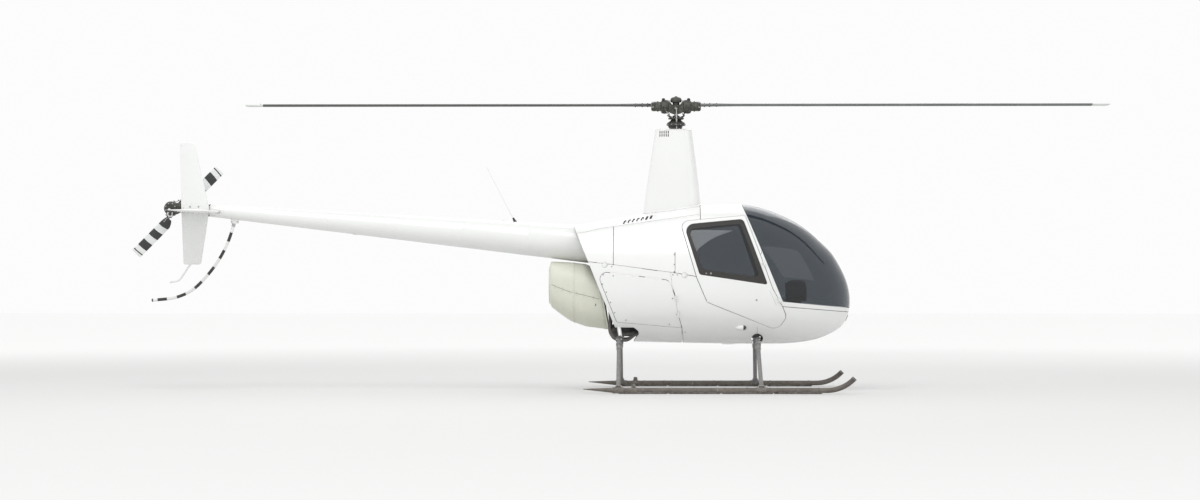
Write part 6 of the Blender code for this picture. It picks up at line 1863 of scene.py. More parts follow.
@dataclass
class TailRotor:
    """The tail gearbox and the two striped blades on its shaft."""

    hub: tuple[float, float, float] = (-4.500, 0.220, 1.615)
    tip: float = 0.533
    root: float = 0.1003
    chord: float = 0.100
    rest: float = math.radians(45)

    def build(self) -> None:
        """Makes the gearbox, the hub and the blades."""
        self.gearbox()
        self.head()
        for side, name in ((1, "upper"), (-1, "lower")):
            self.blade(side, name)

    def gearbox(self) -> None:
        """Makes the housing in line with the boom and the finned case across it."""
        sketch = Sketch()
        boom = TailBoom()
        start, end = Vector(boom.start), Vector(boom.end)
        axis = (end - start).normalized()
        sketch.turned([(0.0003, 0.055), (0.010, 0.055), (0.012, 0.050), (0.060, 0.047), (0.066, 0.0505),
                       (0.078, 0.0505), (0.084, 0.045), (0.240, 0.040), (0.262, 0.041), (0.266, 0.0475),
                       (0.276, 0.0475), (0.280, 0.042), (0.330, 0.040)], end, axis, 44, 1)
        for angle in angles(10):
            normal = Matrix.Rotation(angle, 3, axis) @ Vector((0, 1, 0))
            sketch.bolt(end + axis * 0.006 + normal * 0.0548, normal, 0.0034, 2)
            sketch.bolt(end + axis * 0.072 + normal * 0.0503, normal, 0.0034, 2)
        x, _, z = self.hub
        sketch.turned([(-0.0500, 0.030), (-0.049, 0.046), (-0.044, 0.054), (-0.034, 0.058), (0.040, 0.060),
                       (0.050, 0.060), (0.060, 0.054), (0.100, 0.050), (0.120, 0.0465), (0.135, 0.0445),
                       (0.148, 0.0435), (0.150, 0.040), (0.150, 0.024)], (x, 0, z), Axis.Y, 44)
        for y in (-0.024, -0.012, 0.0, 0.012, 0.024):
            sketch.turned([(y - 0.0016, 0.0615), (y + 0.0016, 0.0615)], (x, 0, z), Axis.Y, 44)
        for c, s in round_about(8, 0.5):
            sketch.bolt((x + 0.044 * c, -0.0495, z + 0.044 * s), (0, -1, 0), 0.0040, 2)
            sketch.bolt((x + 0.052 * c, 0.060, z + 0.052 * s), (0, 1, 0), 0.0040, 2)
        sketch.turned([(0, 0.010), (0.012, 0.010), (0.015, 0.007)], (x + 0.020, 0.030, z + 0.056),
                      (0.3, 0, 1), 18, 2)
        # The oil sight glass, which takes the lens finish with its faint painted glow.
        sketch.turned([(0, 0.012), (0.003, 0.012), (0.0036, 0.010)], (x - 0.010, -0.050, z - 0.012),
                      (0, -1, 0), 24, 3)
        sketch.block((x - 0.006, -0.030, z - 0.066), (x + 0.040, -0.010, z - 0.048), 0.004, 1)
        sketch.tube(smooth_path([(x + 0.055, 0.060, z - 0.012), (x + 0.050, 0.110, z - 0.040),
                                 (x + 0.030, 0.145, z - 0.046)], 8), 0.0045, 12, 2)
        sketch.build("tail_gearbox_housing", Ride.AIRFRAME, (OLIVE, OLIVE, STEEL, GLOWING_LENS), ("tail_gearbox",),
                     bevel=0.0007)

    def placed(self, along: float, out: float, across: float) -> Vector:
        """Gives a place on the tail rotor from its distance along the blades, in y and across them."""
        c, s = math.cos(self.rest), math.sin(self.rest)
        x, y, z = self.hub
        return Vector((x + along * c - across * s, y + out, z + along * s + across * c))

    def head(self) -> None:
        """Makes the shaft, the disc, the two blade holders and their pitch links."""
        sketch = Sketch()
        x, _, z = self.hub
        sketch.turned([(0.1504, 0.018), (0.1504, 0.0215), (0.160, 0.0215), (0.1648, 0.048), (0.166, 0.0545),
                       (0.1765, 0.0545), (0.178, 0.050), (0.180, 0.024), (0.206, 0.022), (0.234, 0.021),
                       (0.236, 0.026), (0.242, 0.0255), (0.245, 0.020), (0.245, 0.006)], (x, 0, z), Axis.Y,
                      40)
        for c, s in round_about(6, 0.5):
            sketch.bolt((x + 0.040 * c, 0.178, z + 0.040 * s), (0, 1, 0), 0.0042, 1)
        sketch.bolt((x, 0.2445, z), (0, 1, 0), 0.012, 1)
        for side in SIDES:
            start = self.placed(side * 0.012, 0, 0)
            sketch.rod(start, self.placed(side * 0.058, 0, 0), 0.0205, 0.0185, 28)
            sketch.rod(self.placed(side * 0.056, 0, 0), self.placed(side * 0.064, 0, 0), 0.0235, 0.0235, 28,
                       1)
            outline = [(0.060, -0.016), (0.060, 0.016), (0.0995, 0.024), (0.0995, -0.024)]
            for out in (-0.0155, 0.0085):
                low = [self.placed(side * a, out, b) for a, b in outline]
                high = [self.placed(side * a, out + 0.007, b) for a, b in outline]
                sketch.loft([low, high])
            for a, b in ((0.074, 0.0), (0.092, 0.014), (0.092, -0.014)):
                for face in SIDES[::-1]:
                    sketch.bolt(self.placed(side * a, face * 0.0155, b), (0, face, 0), 0.0052, 1)
            foot = Vector((x, 0.172, z)) + (self.placed(side * 0.030, 0, side * 0.040) - Vector(self.hub))
            head = self.placed(side * 0.078, -0.014, side * 0.030)
            sketch.rod(foot, head, 0.0036, steps=14, finish=1)
            for place in (foot, head):
                sketch.turned([(-0.005, 0.0065), (0.005, 0.0065)], place, (0.7 * side, 0.2, -0.7 * side), 18)
        sketch.build("tail_rotor_head", Ride.TAIL_ROTOR, (OLIVE, STEEL), ("tail_rotor_hub",), bevel=0.0006)

    def blade(self, side: int, name: str) -> None:
        """Makes one blade, painted in light and dark stripes.

        Args:
            side: 1 for the blade that points up and forward, -1 for the other.
            name: Its place, for the piece's name.
        """
        sketch = Sketch()
        rings = []
        for along, width, height in ((self.root, 0.55, 1.5), (0.125, 0.80, 1.3), (0.155, 0.98, 1.05),
                                     (0.19, 1.0, 1.0), (0.30, 1.0, 1.0), (0.42, 1.0, 1.0), (0.515, 1.0, 1.0),
                                     (0.526, 0.985, 0.8), (0.531, 0.96, 0.5), (self.tip, 0.93, 0.2)):
            foil = aerofoil(self.chord * width, 0.0118 * height)
            rings.append([self.placed(side * along, up, across - 0.012) for across, up in foil])
        sketch.loft(rings)
        for along in (0.112, 0.130, 0.148):
            for face in SIDES:
                sketch.bolt(self.placed(side * along, face * 0.0070, -0.010), (0, face, 0), 0.0045, 1)
        sketch.build(f"tail_blade_{name}_skin", Ride.TAIL_ROTOR, (TAIL_BLADE, STEEL), (f"tail_blade_{name}",),
                     angle=28.0)


@dataclass
class LandingGear:
    """Two skids with wear shoes, and the bent cross tubes with their fittings."""

    skid_y: float = 0.965
    level: float = 0.0305
    tail_radii: tuple[float, ...] = (0.0030, 0.0105, 0.0165, 0.0205, 0.0222)
    strut_radius: float = 0.0183
    legs: tuple[tuple[str, float, float], ...] = (("rear", -0.500, -0.500), ("front", 0.710, 0.730))
    elbow_y: float = 0.430
    elbow_z: float = 0.462

    def build(self) -> None:
        """Makes every piece of the gear."""
        for side in SIDES:
            self.skid(side)
        for name, elbow_x, foot_x in self.legs:
            self.leg(name, elbow_x, foot_x)
        self.braces()

    def braces(self) -> None:
        """Makes the forked braces from the rear elbows up to the frame, with the pale stay between them."""
        sketch = Sketch()
        for side in SIDES:
            rear = sided(side, (-0.500, 0.400, 0.452), (-0.545, 0.385, 0.462), (-0.586, 0.360, 0.520),
                         (-0.584, 0.335, 0.620), (-0.545, 0.312, 0.780))
            front = sided(side, (-0.500, 0.400, 0.452), (-0.430, 0.385, 0.444), (-0.330, 0.300, 0.520),
                          (-0.250, 0.246, 0.529))
            for path in (rear, front):
                sketch.tube(bent_path(path, 0.045, 6), 0.0130, 20)
            stay = sided(side, (-0.488, 0.400, 0.478), (-0.505, 0.330, 0.580))
            sketch.rod(*stay, 0.0165, steps=24, finish=1)
            sketch.turned([(-0.016, 0.006), (0.016, 0.006)], (-0.488, side * 0.398, 0.492), Axis.Y, 12, 2)
            sketch.turned([(-0.030, 0.0200), (-0.026, 0.0290), (-0.012, 0.0330), (0.012, 0.0330),
                           (0.026, 0.0290), (0.030, 0.0200)], (-0.500, side * 0.398, 0.456), Axis.Y, 30)
            for dx in (-0.018, 0.018):
                sketch.bolt((-0.500 + dx, side * 0.428, 0.456), (0, side, 0), 0.0055, 2)
        sketch.build("rear_gear_braces", Ride.AIRFRAME, (FRAME_BLACK, WHITE, STEEL))

    def route(self, side: int) -> list[Vector]:
        """Gives the line of a skid, from its rear end to its raised toe."""
        y = side * self.skid_y
        centre = Vector((1.290, y, self.level + 0.320))
        points = [Vector((-0.8005, y, 0.040)), Vector((-0.70, y, 0.0366)), Vector((-0.62, y, 0.0331)),
                  Vector((-0.56, y, self.level)), Vector((-0.20, y, self.level)),
                  Vector((0.6, y, self.level))]
        for step in range(17):
            angle = math.radians(48) * step / 16
            points.append(centre + Vector((math.sin(angle), 0, -math.cos(angle))) * 0.320)
        return points

    def skid(self, side: int) -> None:
        """Makes one skid: the tube with its pointed tail and plugged toe, its shoes and its ears."""
        sketch = Sketch()
        route = self.route(side)
        y = side * self.skid_y
        sketch.tube(route, lambda t: float(np.interp(t * (len(route) - 1), range(5), self.tail_radii)), 36)
        out = (route[-1] - route[-2]).normalized()
        sketch.turned([(-0.016, 0.0225), (-0.002, 0.0225), (0.0, 0.0215), (0.0, 0.0180), (-0.0015, 0.0165),
                       (0.0008, 0.008), (0.0008, 0.002)], route[-1], out, 32, 1)
        for near, far in ((-0.500, -0.075), (-0.070, 0.380), (0.385, 0.830), (0.835, 1.250)):
            section = [(-0.0135, 0.0), (-0.0150, 0.003), (-0.0150, 0.0125), (-0.0128, 0.0172),
                       (0.0128, 0.0172), (0.0150, 0.0125), (0.0150, 0.003), (0.0135, 0.0)]
            ends = ((near, 0.004), (near + 0.010, 0.0), (far - 0.010, 0.0), (far, 0.004))
            sketch.loft([[(x, y + across, min(up + lift * (up < 0.01), 0.0172)) for across, up in section]
                         for x, lift in ends], 1)
            for x in (near + 0.03, (near + far) / 2, far - 0.03):
                sketch.collar((0.006, 0.0236), (0.005, 0.0241), (x, y, self.level), Axis.X, 40, 1)
        self.ears(sketch, side)
        for x in (-0.500, 0.730):
            sketch.collar((0.052, 0.0229), (0.050, 0.0247), (x, y, self.level), Axis.X, 40)
            for step in SIDES:
                sketch.collar((0.005, 0.0229), (0.0042, 0.0266),
                              (x + step * 0.036, y, self.level), Axis.X, 40, 2)
                sketch.block((x + step * 0.036 - 0.007, y - side * 0.024 - 0.006, self.level - 0.006),
                             (x + step * 0.036 + 0.007, y - side * 0.024 + 0.006, self.level + 0.006), 0.002,
                             2)
        word = side_word(side)
        sketch.build(f"{word}_skid_tube", Ride.AIRFRAME, (SKID, SHOE, SHOE), (f"{word}_skid",), bevel=0.0004)

    def ears(self, sketch: Sketch, side: int) -> None:
        """Adds the two ears with a pin between them, and the clamp that holds them."""
        y, x = side * self.skid_y, -0.370
        ear = rounded_outline([(x - 0.020, 0.032, 0.001), (x - 0.018, 0.085, 0.012),
                               (x + 0.018, 0.085, 0.012), (x + 0.020, 0.032, 0.001)], 5)
        for near, far in ((-0.0130, -0.0075), (0.0075, 0.0130)):
            sketch.plate(ear, y + near, y + far)
        sketch.collar((0.0165, 0.0065), (0.015, 0.0075), (x, y, 0.068), Axis.Y, 20, 2)
        for edge in SIDES:
            sketch.bolt((x, y + edge * 0.016, 0.068), (0, edge, 0), 0.0052, 2)
        sketch.collar((0.026, 0.0229), (0.024, 0.0252), (x, y, self.level), Axis.X, 40)

    def leg(self, name: str, elbow_x: float, foot_x: float) -> None:
        """Makes one bent cross tube, its elbow sockets and its cast feet.

        Args:
            name: Its place, for the piece's name.
            elbow_x: Where its elbows lie.
            foot_x: Where its feet lie.
        """
        sketch = Sketch()
        corners = [(foot_x, -self.skid_y, self.level), (elbow_x, -self.elbow_y, self.elbow_z),
                   (elbow_x, self.elbow_y, self.elbow_z), (foot_x, self.skid_y, self.level)]
        for side in SIDES:
            foot = Vector((foot_x, side * self.skid_y, self.level))
            knee = Vector((elbow_x, side * self.elbow_y, self.elbow_z))
            up = (knee - foot).normalized()
            reach = (knee - foot).length
            profile = [(0.024, 0.0310), (0.028, 0.0310), (0.034, 0.0275), (0.050, 0.0225), (0.070, 0.0195),
                       (0.085, 0.0188), (0.088, 0.0184)]
            sketch.turned(profile, foot, up, 44, 1)
            sketch.turned([(reach - 0.094, 0.0188), (reach - 0.092, 0.0245), (reach - 0.088, 0.0262),
                           (reach - 0.066, 0.0262), (reach - 0.062, 0.0245), (reach - 0.060, 0.0198)], foot,
                          up, 44)
            sketch.turned([(reach - 0.150, 0.0183), (reach - 0.148, 0.0212), (reach - 0.095, 0.0216)], foot,
                          up, 44)
            side_on = Vector((1, 0, 0))
            across = up.cross(side_on).normalized()
            for share in (0.112, 0.134):
                for turn in (side_on, -side_on, across, -across):
                    sketch.bolt(foot + up * (reach - share) + turn * 0.0208, turn, 0.0042, 2)
            for along in (0.040, 0.060):
                for turn in (side_on, -side_on):
                    sketch.bolt(foot + up * along + turn * (0.0265 if along < 0.05 else 0.0215), turn, 0.0050,
                                2)
            clamp = Vector((elbow_x, side * 0.300, self.elbow_z))
            sketch.collar((0.020, 0.0188), (0.019, 0.0232), clamp, Axis.Y, 40, 1)
            sketch.block(clamp + Vector((-0.034, -0.018, 0.0)), clamp + Vector((0.034, 0.018, 0.012)), 0.003,
                         1)
            for x in (-0.028, 0.028):
                sketch.bolt(clamp + Vector((x, 0, 0.0)), (0, 0, -1), 0.0055, 2)
        sketch.tube(bent_path(corners, 0.09, 10), self.strut_radius, 36)
        sketch.build(f"{name}_cross_tube_assembly", Ride.AIRFRAME, (STRUT, STRUT, STEEL),
                     (f"{name}_cross_tube",), bevel=0.0005)


@dataclass
class Engine:
    """The flat four-cylinder engine with its pipes, and the gearbox above it."""

    cylinders: tuple[float, float] = (-0.490, -0.290)
    level: float = 0.720

    def build(self) -> None:
        """Makes the engine, the gearbox and the exhaust."""
        self.block()
        self.gearbox()
        self.exhaust()

    def block(self) -> None:
        """Makes the crankcase, the finned cylinders, the sump and the fittings on them."""
        sketch = Sketch()
        section = rounded_outline([(-0.118, 0.606, 0.020), (0.118, 0.606, 0.020), (0.140, 0.665, 0.020),
                                   (0.140, 0.800, 0.030), (0.085, 0.858, 0.020), (-0.085, 0.858, 0.020),
                                   (-0.140, 0.800, 0.030), (-0.140, 0.665, 0.020)], 5)
        sketch.loft([[(x, y, z) for y, z in section] for x in (-0.598, -0.560, -0.556, -0.370, -0.366, -0.184,
                                                               -0.180)])
        sump = rounded_outline([(-0.100, 0.580, 0.012), (0.100, 0.580, 0.012), (0.112, 0.612, 0.004),
                                (-0.112, 0.612, 0.004)], 4)
        sketch.loft([[(x, y, z) for y, z in sump] for x in (-0.540, -0.230)], 3)
        sketch.block((-0.572, -0.128, 0.478), (-0.300, 0.128, 0.582), 0.012, 1)
        for x in (-0.440, -0.400, -0.360, -0.320):
            for side in SIDES:
                sketch.block((x - 0.004, side * 0.126, 0.484), (x + 0.004, side * 0.134, 0.572), 0.002, 1)
        for x in (-0.52, -0.45, -0.38, -0.31, -0.25):
            for side in SIDES:
                sketch.bolt((x, side * 0.108, 0.609), (0, side * 0.5, -1), 0.006, 2)
        for x in self.cylinders:
            for side in SIDES:
                self.cylinder(sketch, x, side)
        sketch.turned([(-0.690, 0.030), (-0.688, 0.052), (-0.680, 0.059), (-0.640, 0.060), (-0.632, 0.052),
                       (-0.612, 0.060), (-0.596, 0.074), (-0.588, 0.074)], (0, 0, 0.800), Axis.X, 40)
        sketch.rod((-0.672, 0, 0.790), (-0.672, 0, 0.952), 0.0170, steps=24)
        sketch.collar((0.020, 0.020), (0.016, 0.026), (-0.672, 0, 0.930), Axis.X, 30)
        sketch.rod((-0.668, 0, 0.930), (-0.9997, 0, 0.930), 0.0155, steps=28, finish=2)
        for side in SIDES:
            low, high = sorted((side * 0.100, side * 0.275))
            sketch.block((-0.328, low, 0.552), (-0.272, high, 0.574), 0.004, 1)
            sketch.block((-0.325, side * 0.105 - 0.012, 0.556), (-0.275, side * 0.105 + 0.020, 0.628), 0.006,
                         1)
            for along in (0.155, 0.240):
                sketch.collar((0.020, 0.010), (0.018, 0.018),
                              (-0.300, side * along, 0.576), Axis.Z, 24, 4)
            saddle = (-0.300, side * 0.2500, 0.5245)
            sketch.collar((0.026, 0.0150), (0.025, 0.0200), saddle, (0.44, side * -0.1, 0.05), 28, 1)
        self.ducts(sketch)
        sketch.build("engine_block_assembly", Ride.AIRFRAME, (ENGINE_GREY, BLACK, STEEL, CASTING, RUBBER),
                     ("engine_block",), bevel=0.0008)

    def cylinder(self, sketch: Sketch, x: float, side: int) -> None:
        """Adds one finned cylinder with its head, plugs, push rods and port."""
        out = (0, side, 0)
        base = Vector((x, side * 0.138, self.level))
        profile: list[tuple[float, float]] = [(0.0, 0.058)]
        for index in range(9):
            at = 0.006 + index * 0.0072
            profile += [(at, 0.050), (at + 0.0003, 0.0665), (at + 0.0020, 0.0665), (at + 0.0024, 0.050)]
        profile += [(0.072, 0.050), (0.074, 0.062), (0.078, 0.064), (0.084, 0.064)]
        sketch.turned(profile, base, out, 40, 3)
        for index in range(6):
            y = side * (0.222 + index * 0.0068)
            sketch.block((x - 0.066, y - 0.0011, self.level - 0.058),
                         (x + 0.066, y + 0.0011, self.level + 0.058), 0.001, 3)
        sketch.block((x - 0.052, side * 0.216, self.level - 0.048),
                     (x + 0.052, side * 0.262, self.level + 0.048), 0.010, 3)
        cover = rounded_box((x - 0.050, self.level - 0.034), (x + 0.050, self.level + 0.034), 0.016, 5)
        sketch.plate(cover, side * 0.256, side * 0.2695)
        for dx in (-0.043, 0.043):
            for dz in (-0.027, 0.027):
                sketch.bolt((x + dx, side * 0.268, self.level + dz), out, 0.0042, 2)
        for dx in (-0.024, 0.024):
            sketch.rod((x + dx, side * 0.142, self.level + 0.060), (x + dx, side * 0.240, self.level + 0.050),
                       0.0065, steps=14, finish=2)
            plug = Vector((x + dx, side * 0.236, self.level + 0.056))
            sketch.rod(plug, plug + Vector((0, side * 0.004, 0.022)), 0.0075, steps=6, finish=2)
            lead = [plug + Vector((0, 0, 0.020)), plug + Vector((0, side * 0.006, 0.045)),
                    plug + Vector((0.01, -side * 0.030, 0.070)), (x + 0.02, side * 0.120, self.level + 0.125)]
            sketch.tube(smooth_path(lead, 6), 0.0038, 10, 4)
        port = [(x, side * 0.232, self.level - 0.052), (x, side * 0.228, self.level - 0.085)]
        if side > 0 and x < -0.4:
            return
        port += [(x + 0.02, side * 0.190, self.level - 0.118), (x + 0.06, side * 0.140, self.level - 0.128)]
        sketch.tube(smooth_path(port, 7), 0.0195, 20, 1)

    def ducts(self, sketch: Sketch) -> None:
        """Adds the baffles over the cylinders, the magnetos and the intake."""
        for side in SIDES:
            outline = [(side * 0.100, 0.856), (side * 0.262, 0.806), (side * 0.2665, 0.790)]
            outer = [(x, z + 0.0025) for x, z in outline]
            rows = [[(x, y, z) for y, z in outline + outer[::-1]] for x in (-0.580, -0.215)]
            sketch.loft(rows, 1)
            for x in (-0.58, -0.217):
                face = [(side * 0.135, 0.842), (side * 0.262, 0.802), (side * 0.262, 0.680),
                        (side * 0.135, 0.680)]
                sketch.loft([[(x + dx, y, z) for y, z in face] for dx in (-0.001, 0.001)], 1)
            sketch.turned([(0, 0.028), (0.032, 0.030), (0.036, 0.022), (0.046, 0.020)],
                          (-0.205, side * 0.070, 0.780), Axis.X, 26, 3)
            sketch.turned([(0, 0.022), (0.020, 0.022), (0.024, 0.016)], (-0.196, side * 0.070, 0.705), Axis.X,
                          24, 4)
        sketch.turned([(0, 0.034), (0.050, 0.036), (0.056, 0.030), (0.110, 0.030)], (-0.300, 0, 0.856),
                      Axis.Z, 28, 3)
        sketch.block((-0.350, -0.045, 0.940), (-0.250, 0.045, 0.990), 0.010, 3)
        hose = [(-0.300, 0, 0.985), (-0.300, 0.010, 1.030), (-0.260, 0.060, 1.070), (-0.180, 0.120, 1.080)]
        path = smooth_path(hose, 30)
        sketch.tube(path, lambda share: 0.0275 + 0.0025 * math.cos(share * 2 * math.pi * 22), 20, 4)

    def gearbox(self) -> None:
        """Makes the ribbed gearbox under the mast, its flanges, bolts and cooling duct."""
        sketch = Sketch()
        sketch.block((-0.200, -0.112, 1.188), (0.018, 0.112, 1.392), 0.030)
        for z in (1.235, 1.345):
            sketch.block((-0.208, -0.1185, z - 0.006), (0.0245, 0.1185, z + 0.006), 0.005)
            for index in range(7):
                x = -0.190 + index * 0.033
                for side in SIDES:
                    sketch.bolt((x, side * 0.112, z + 0.006), (0, 0, 1), 0.0055, 1)
        for index in range(6):
            x = -0.180 + index * 0.033
            for side in SIDES:
                sketch.block((x - 0.002, side * 0.1185 - 0.006, 1.246), (x + 0.002, side * 0.1185, 1.334),
                             0.0015)
        sketch.turned([(1.385, 0.080), (1.397, 0.080), (1.399, 0.060), (1.420, 0.040), (1.440, 0.034),
                       (1.470, 0.030), (1.488, 0.030), (1.494, 0.034), (1.4995, 0.034)], (0, 0, 0), Axis.Z,
                      44)
        for c, s in round_about(8, 0.5):
            if 0.070 * c < 0.02:
                sketch.bolt((0.070 * c, 0.070 * s, 1.397), (0, 0, 1), 0.0055, 1)
        sketch.turned([(0, 0.050), (0.010, 0.050), (0.014, 0.036), (0.030, 0.034)], (-0.206, 0, 1.290),
                      (-1, 0, 0), 34, 1)
        for side in SIDES:
            sketch.rod((-0.090, side * 0.118, 1.380), (-0.090, side * 0.1203, 1.380), 0.020, steps=24,
                       finish=1)
        # The oil sight glass, which takes the lens finish with its faint painted glow.
        sketch.turned([(0, 0.016), (0.003, 0.016), (0.0038, 0.013)], (-0.120, -0.1195, 1.210), (0, -1, 0), 26,
                      2)
        sketch.build("main_gearbox_casting", Ride.AIRFRAME, (CASTING, STEEL, GLOWING_LENS), ("main_gearbox",),
                     bevel=0.0008)

    def exhaust(self) -> None:
        """Makes the short exhaust stub with its flange, its clamp and its open end."""
        sketch = Sketch()
        corners = [(-0.490, 0.240, 0.6497), (-0.490, 0.240, 0.590), (-0.430, 0.240, 0.530)]
        path = [Vector(p) for p in bent_path(corners, 0.05, 10)]
        sketch.tube(path[:-1], 0.0245, 36)
        tip, before = path[-1], path[-2]
        axis = (tip - before).normalized()
        length = (tip - before).length
        sketch.turned([(0.0, 0.0245), (length, 0.0248), (length, 0.0225), (length - 0.02, 0.0222),
                       (length - 0.0202, 0.0)], before, axis, 36)
        sketch.turned([(-0.001, 0.034), (-0.008, 0.034), (-0.009, 0.030)], (-0.490, 0.240, 0.6497), Axis.Z,
                      30, 1)
        sketch.collar((0.008, 0.0250), (0.007, 0.0264), before + axis * (length * 0.5), axis, 36, 1)
        sketch.build("exhaust_tail_pipe", Ride.AIRFRAME, (SCORCHED, SHOE), ("exhaust_pipe",), angle=30.0)


@dataclass
class Frame:
    """The welded steel tubes behind the cabin, and the plate that carries the boom."""

    radius: float = 0.0138
    tubes: tuple[tuple[Point, Point], ...] = (
        ((-0.500, -0.300, 0.500), (-0.560, -0.315, 0.900)),
        ((-0.560, -0.315, 0.900), (-0.690, -0.130, 1.300)),
        ((-0.500, -0.300, 0.500), (-0.060, -0.200, 0.550)),
        ((-0.690, -0.130, 1.300), (-0.090, -0.190, 1.430)),
        ((-0.560, -0.315, 0.900), (-0.060, -0.380, 0.980)),
    )
    crossings: tuple[tuple[float, float, float], ...] = ((-0.500, 0.300, 0.500), (-0.060, 0.200, 0.550))

    def build(self) -> None:
        """Makes the tubes with their weld beads, gussets and brackets."""
        sketch = Sketch()
        for start, end in self.tubes:
            for side in SIDES:
                near, far = (Vector((x, y * side, z)) for x, y, z in (start, end))
                axis = (far - near).normalized()
                sketch.rod(near, far, self.radius, steps=26)
                for place in (near + axis * 0.020, far - axis * 0.020):
                    sketch.collar((0.004, 0.0139), (0.002, 0.0152), place, axis, 26)
                middle = near.lerp(far, 0.45)
                sketch.collar((0.010, 0.0139), (0.009, 0.0158), middle, axis, 26, 1)
        for x, half, z in self.crossings:
            sketch.rod((x, -half, z), (x, half, z), self.radius, steps=26)
            for side in SIDES:
                sketch.collar((0.018, 0.010), (0.014, 0.0165), (x, side * half, z), Axis.Y, 26)
        boom = TailBoom()
        start = Vector(boom.start)
        axis = (Vector(boom.end) - start).normalized()
        sketch.turned([(-0.0222, 0.120), (-0.0222, 0.166), (-0.0205, 0.1678), (-0.0020, 0.1678),
                       (-0.0003, 0.166), (-0.0003, 0.120)], start, axis, 72)
        sketch.turned([(-0.012, 0.121), (-0.010, 0.010), (-0.008, 0.121)], start, axis, 60)
        for angle in angles(12, 0.5):
            place, _ = boom.at(0.0, angle, -0.022)
            sketch.bolt(place - axis * 0.0222, -axis, 0.0070, 1)
        for side in SIDES:
            low, high = sorted((side * 0.168, side * 0.212))
            sketch.block((-0.127, low, 1.402), (-0.053, high, 1.448), 0.008)
            sketch.rod((-0.090, side * 0.1205, 1.380), (-0.090, side * 0.190, 1.420), 0.0118, steps=20,
                       finish=1)
            for x in (-0.115, -0.065):
                sketch.bolt((x, side * 0.190, 1.448), (0, 0, 1), 0.006, 1)
        sketch.build("rear_frame_tubes", Ride.AIRFRAME, (FRAME_BLACK, STEEL), ("rear_frame",))


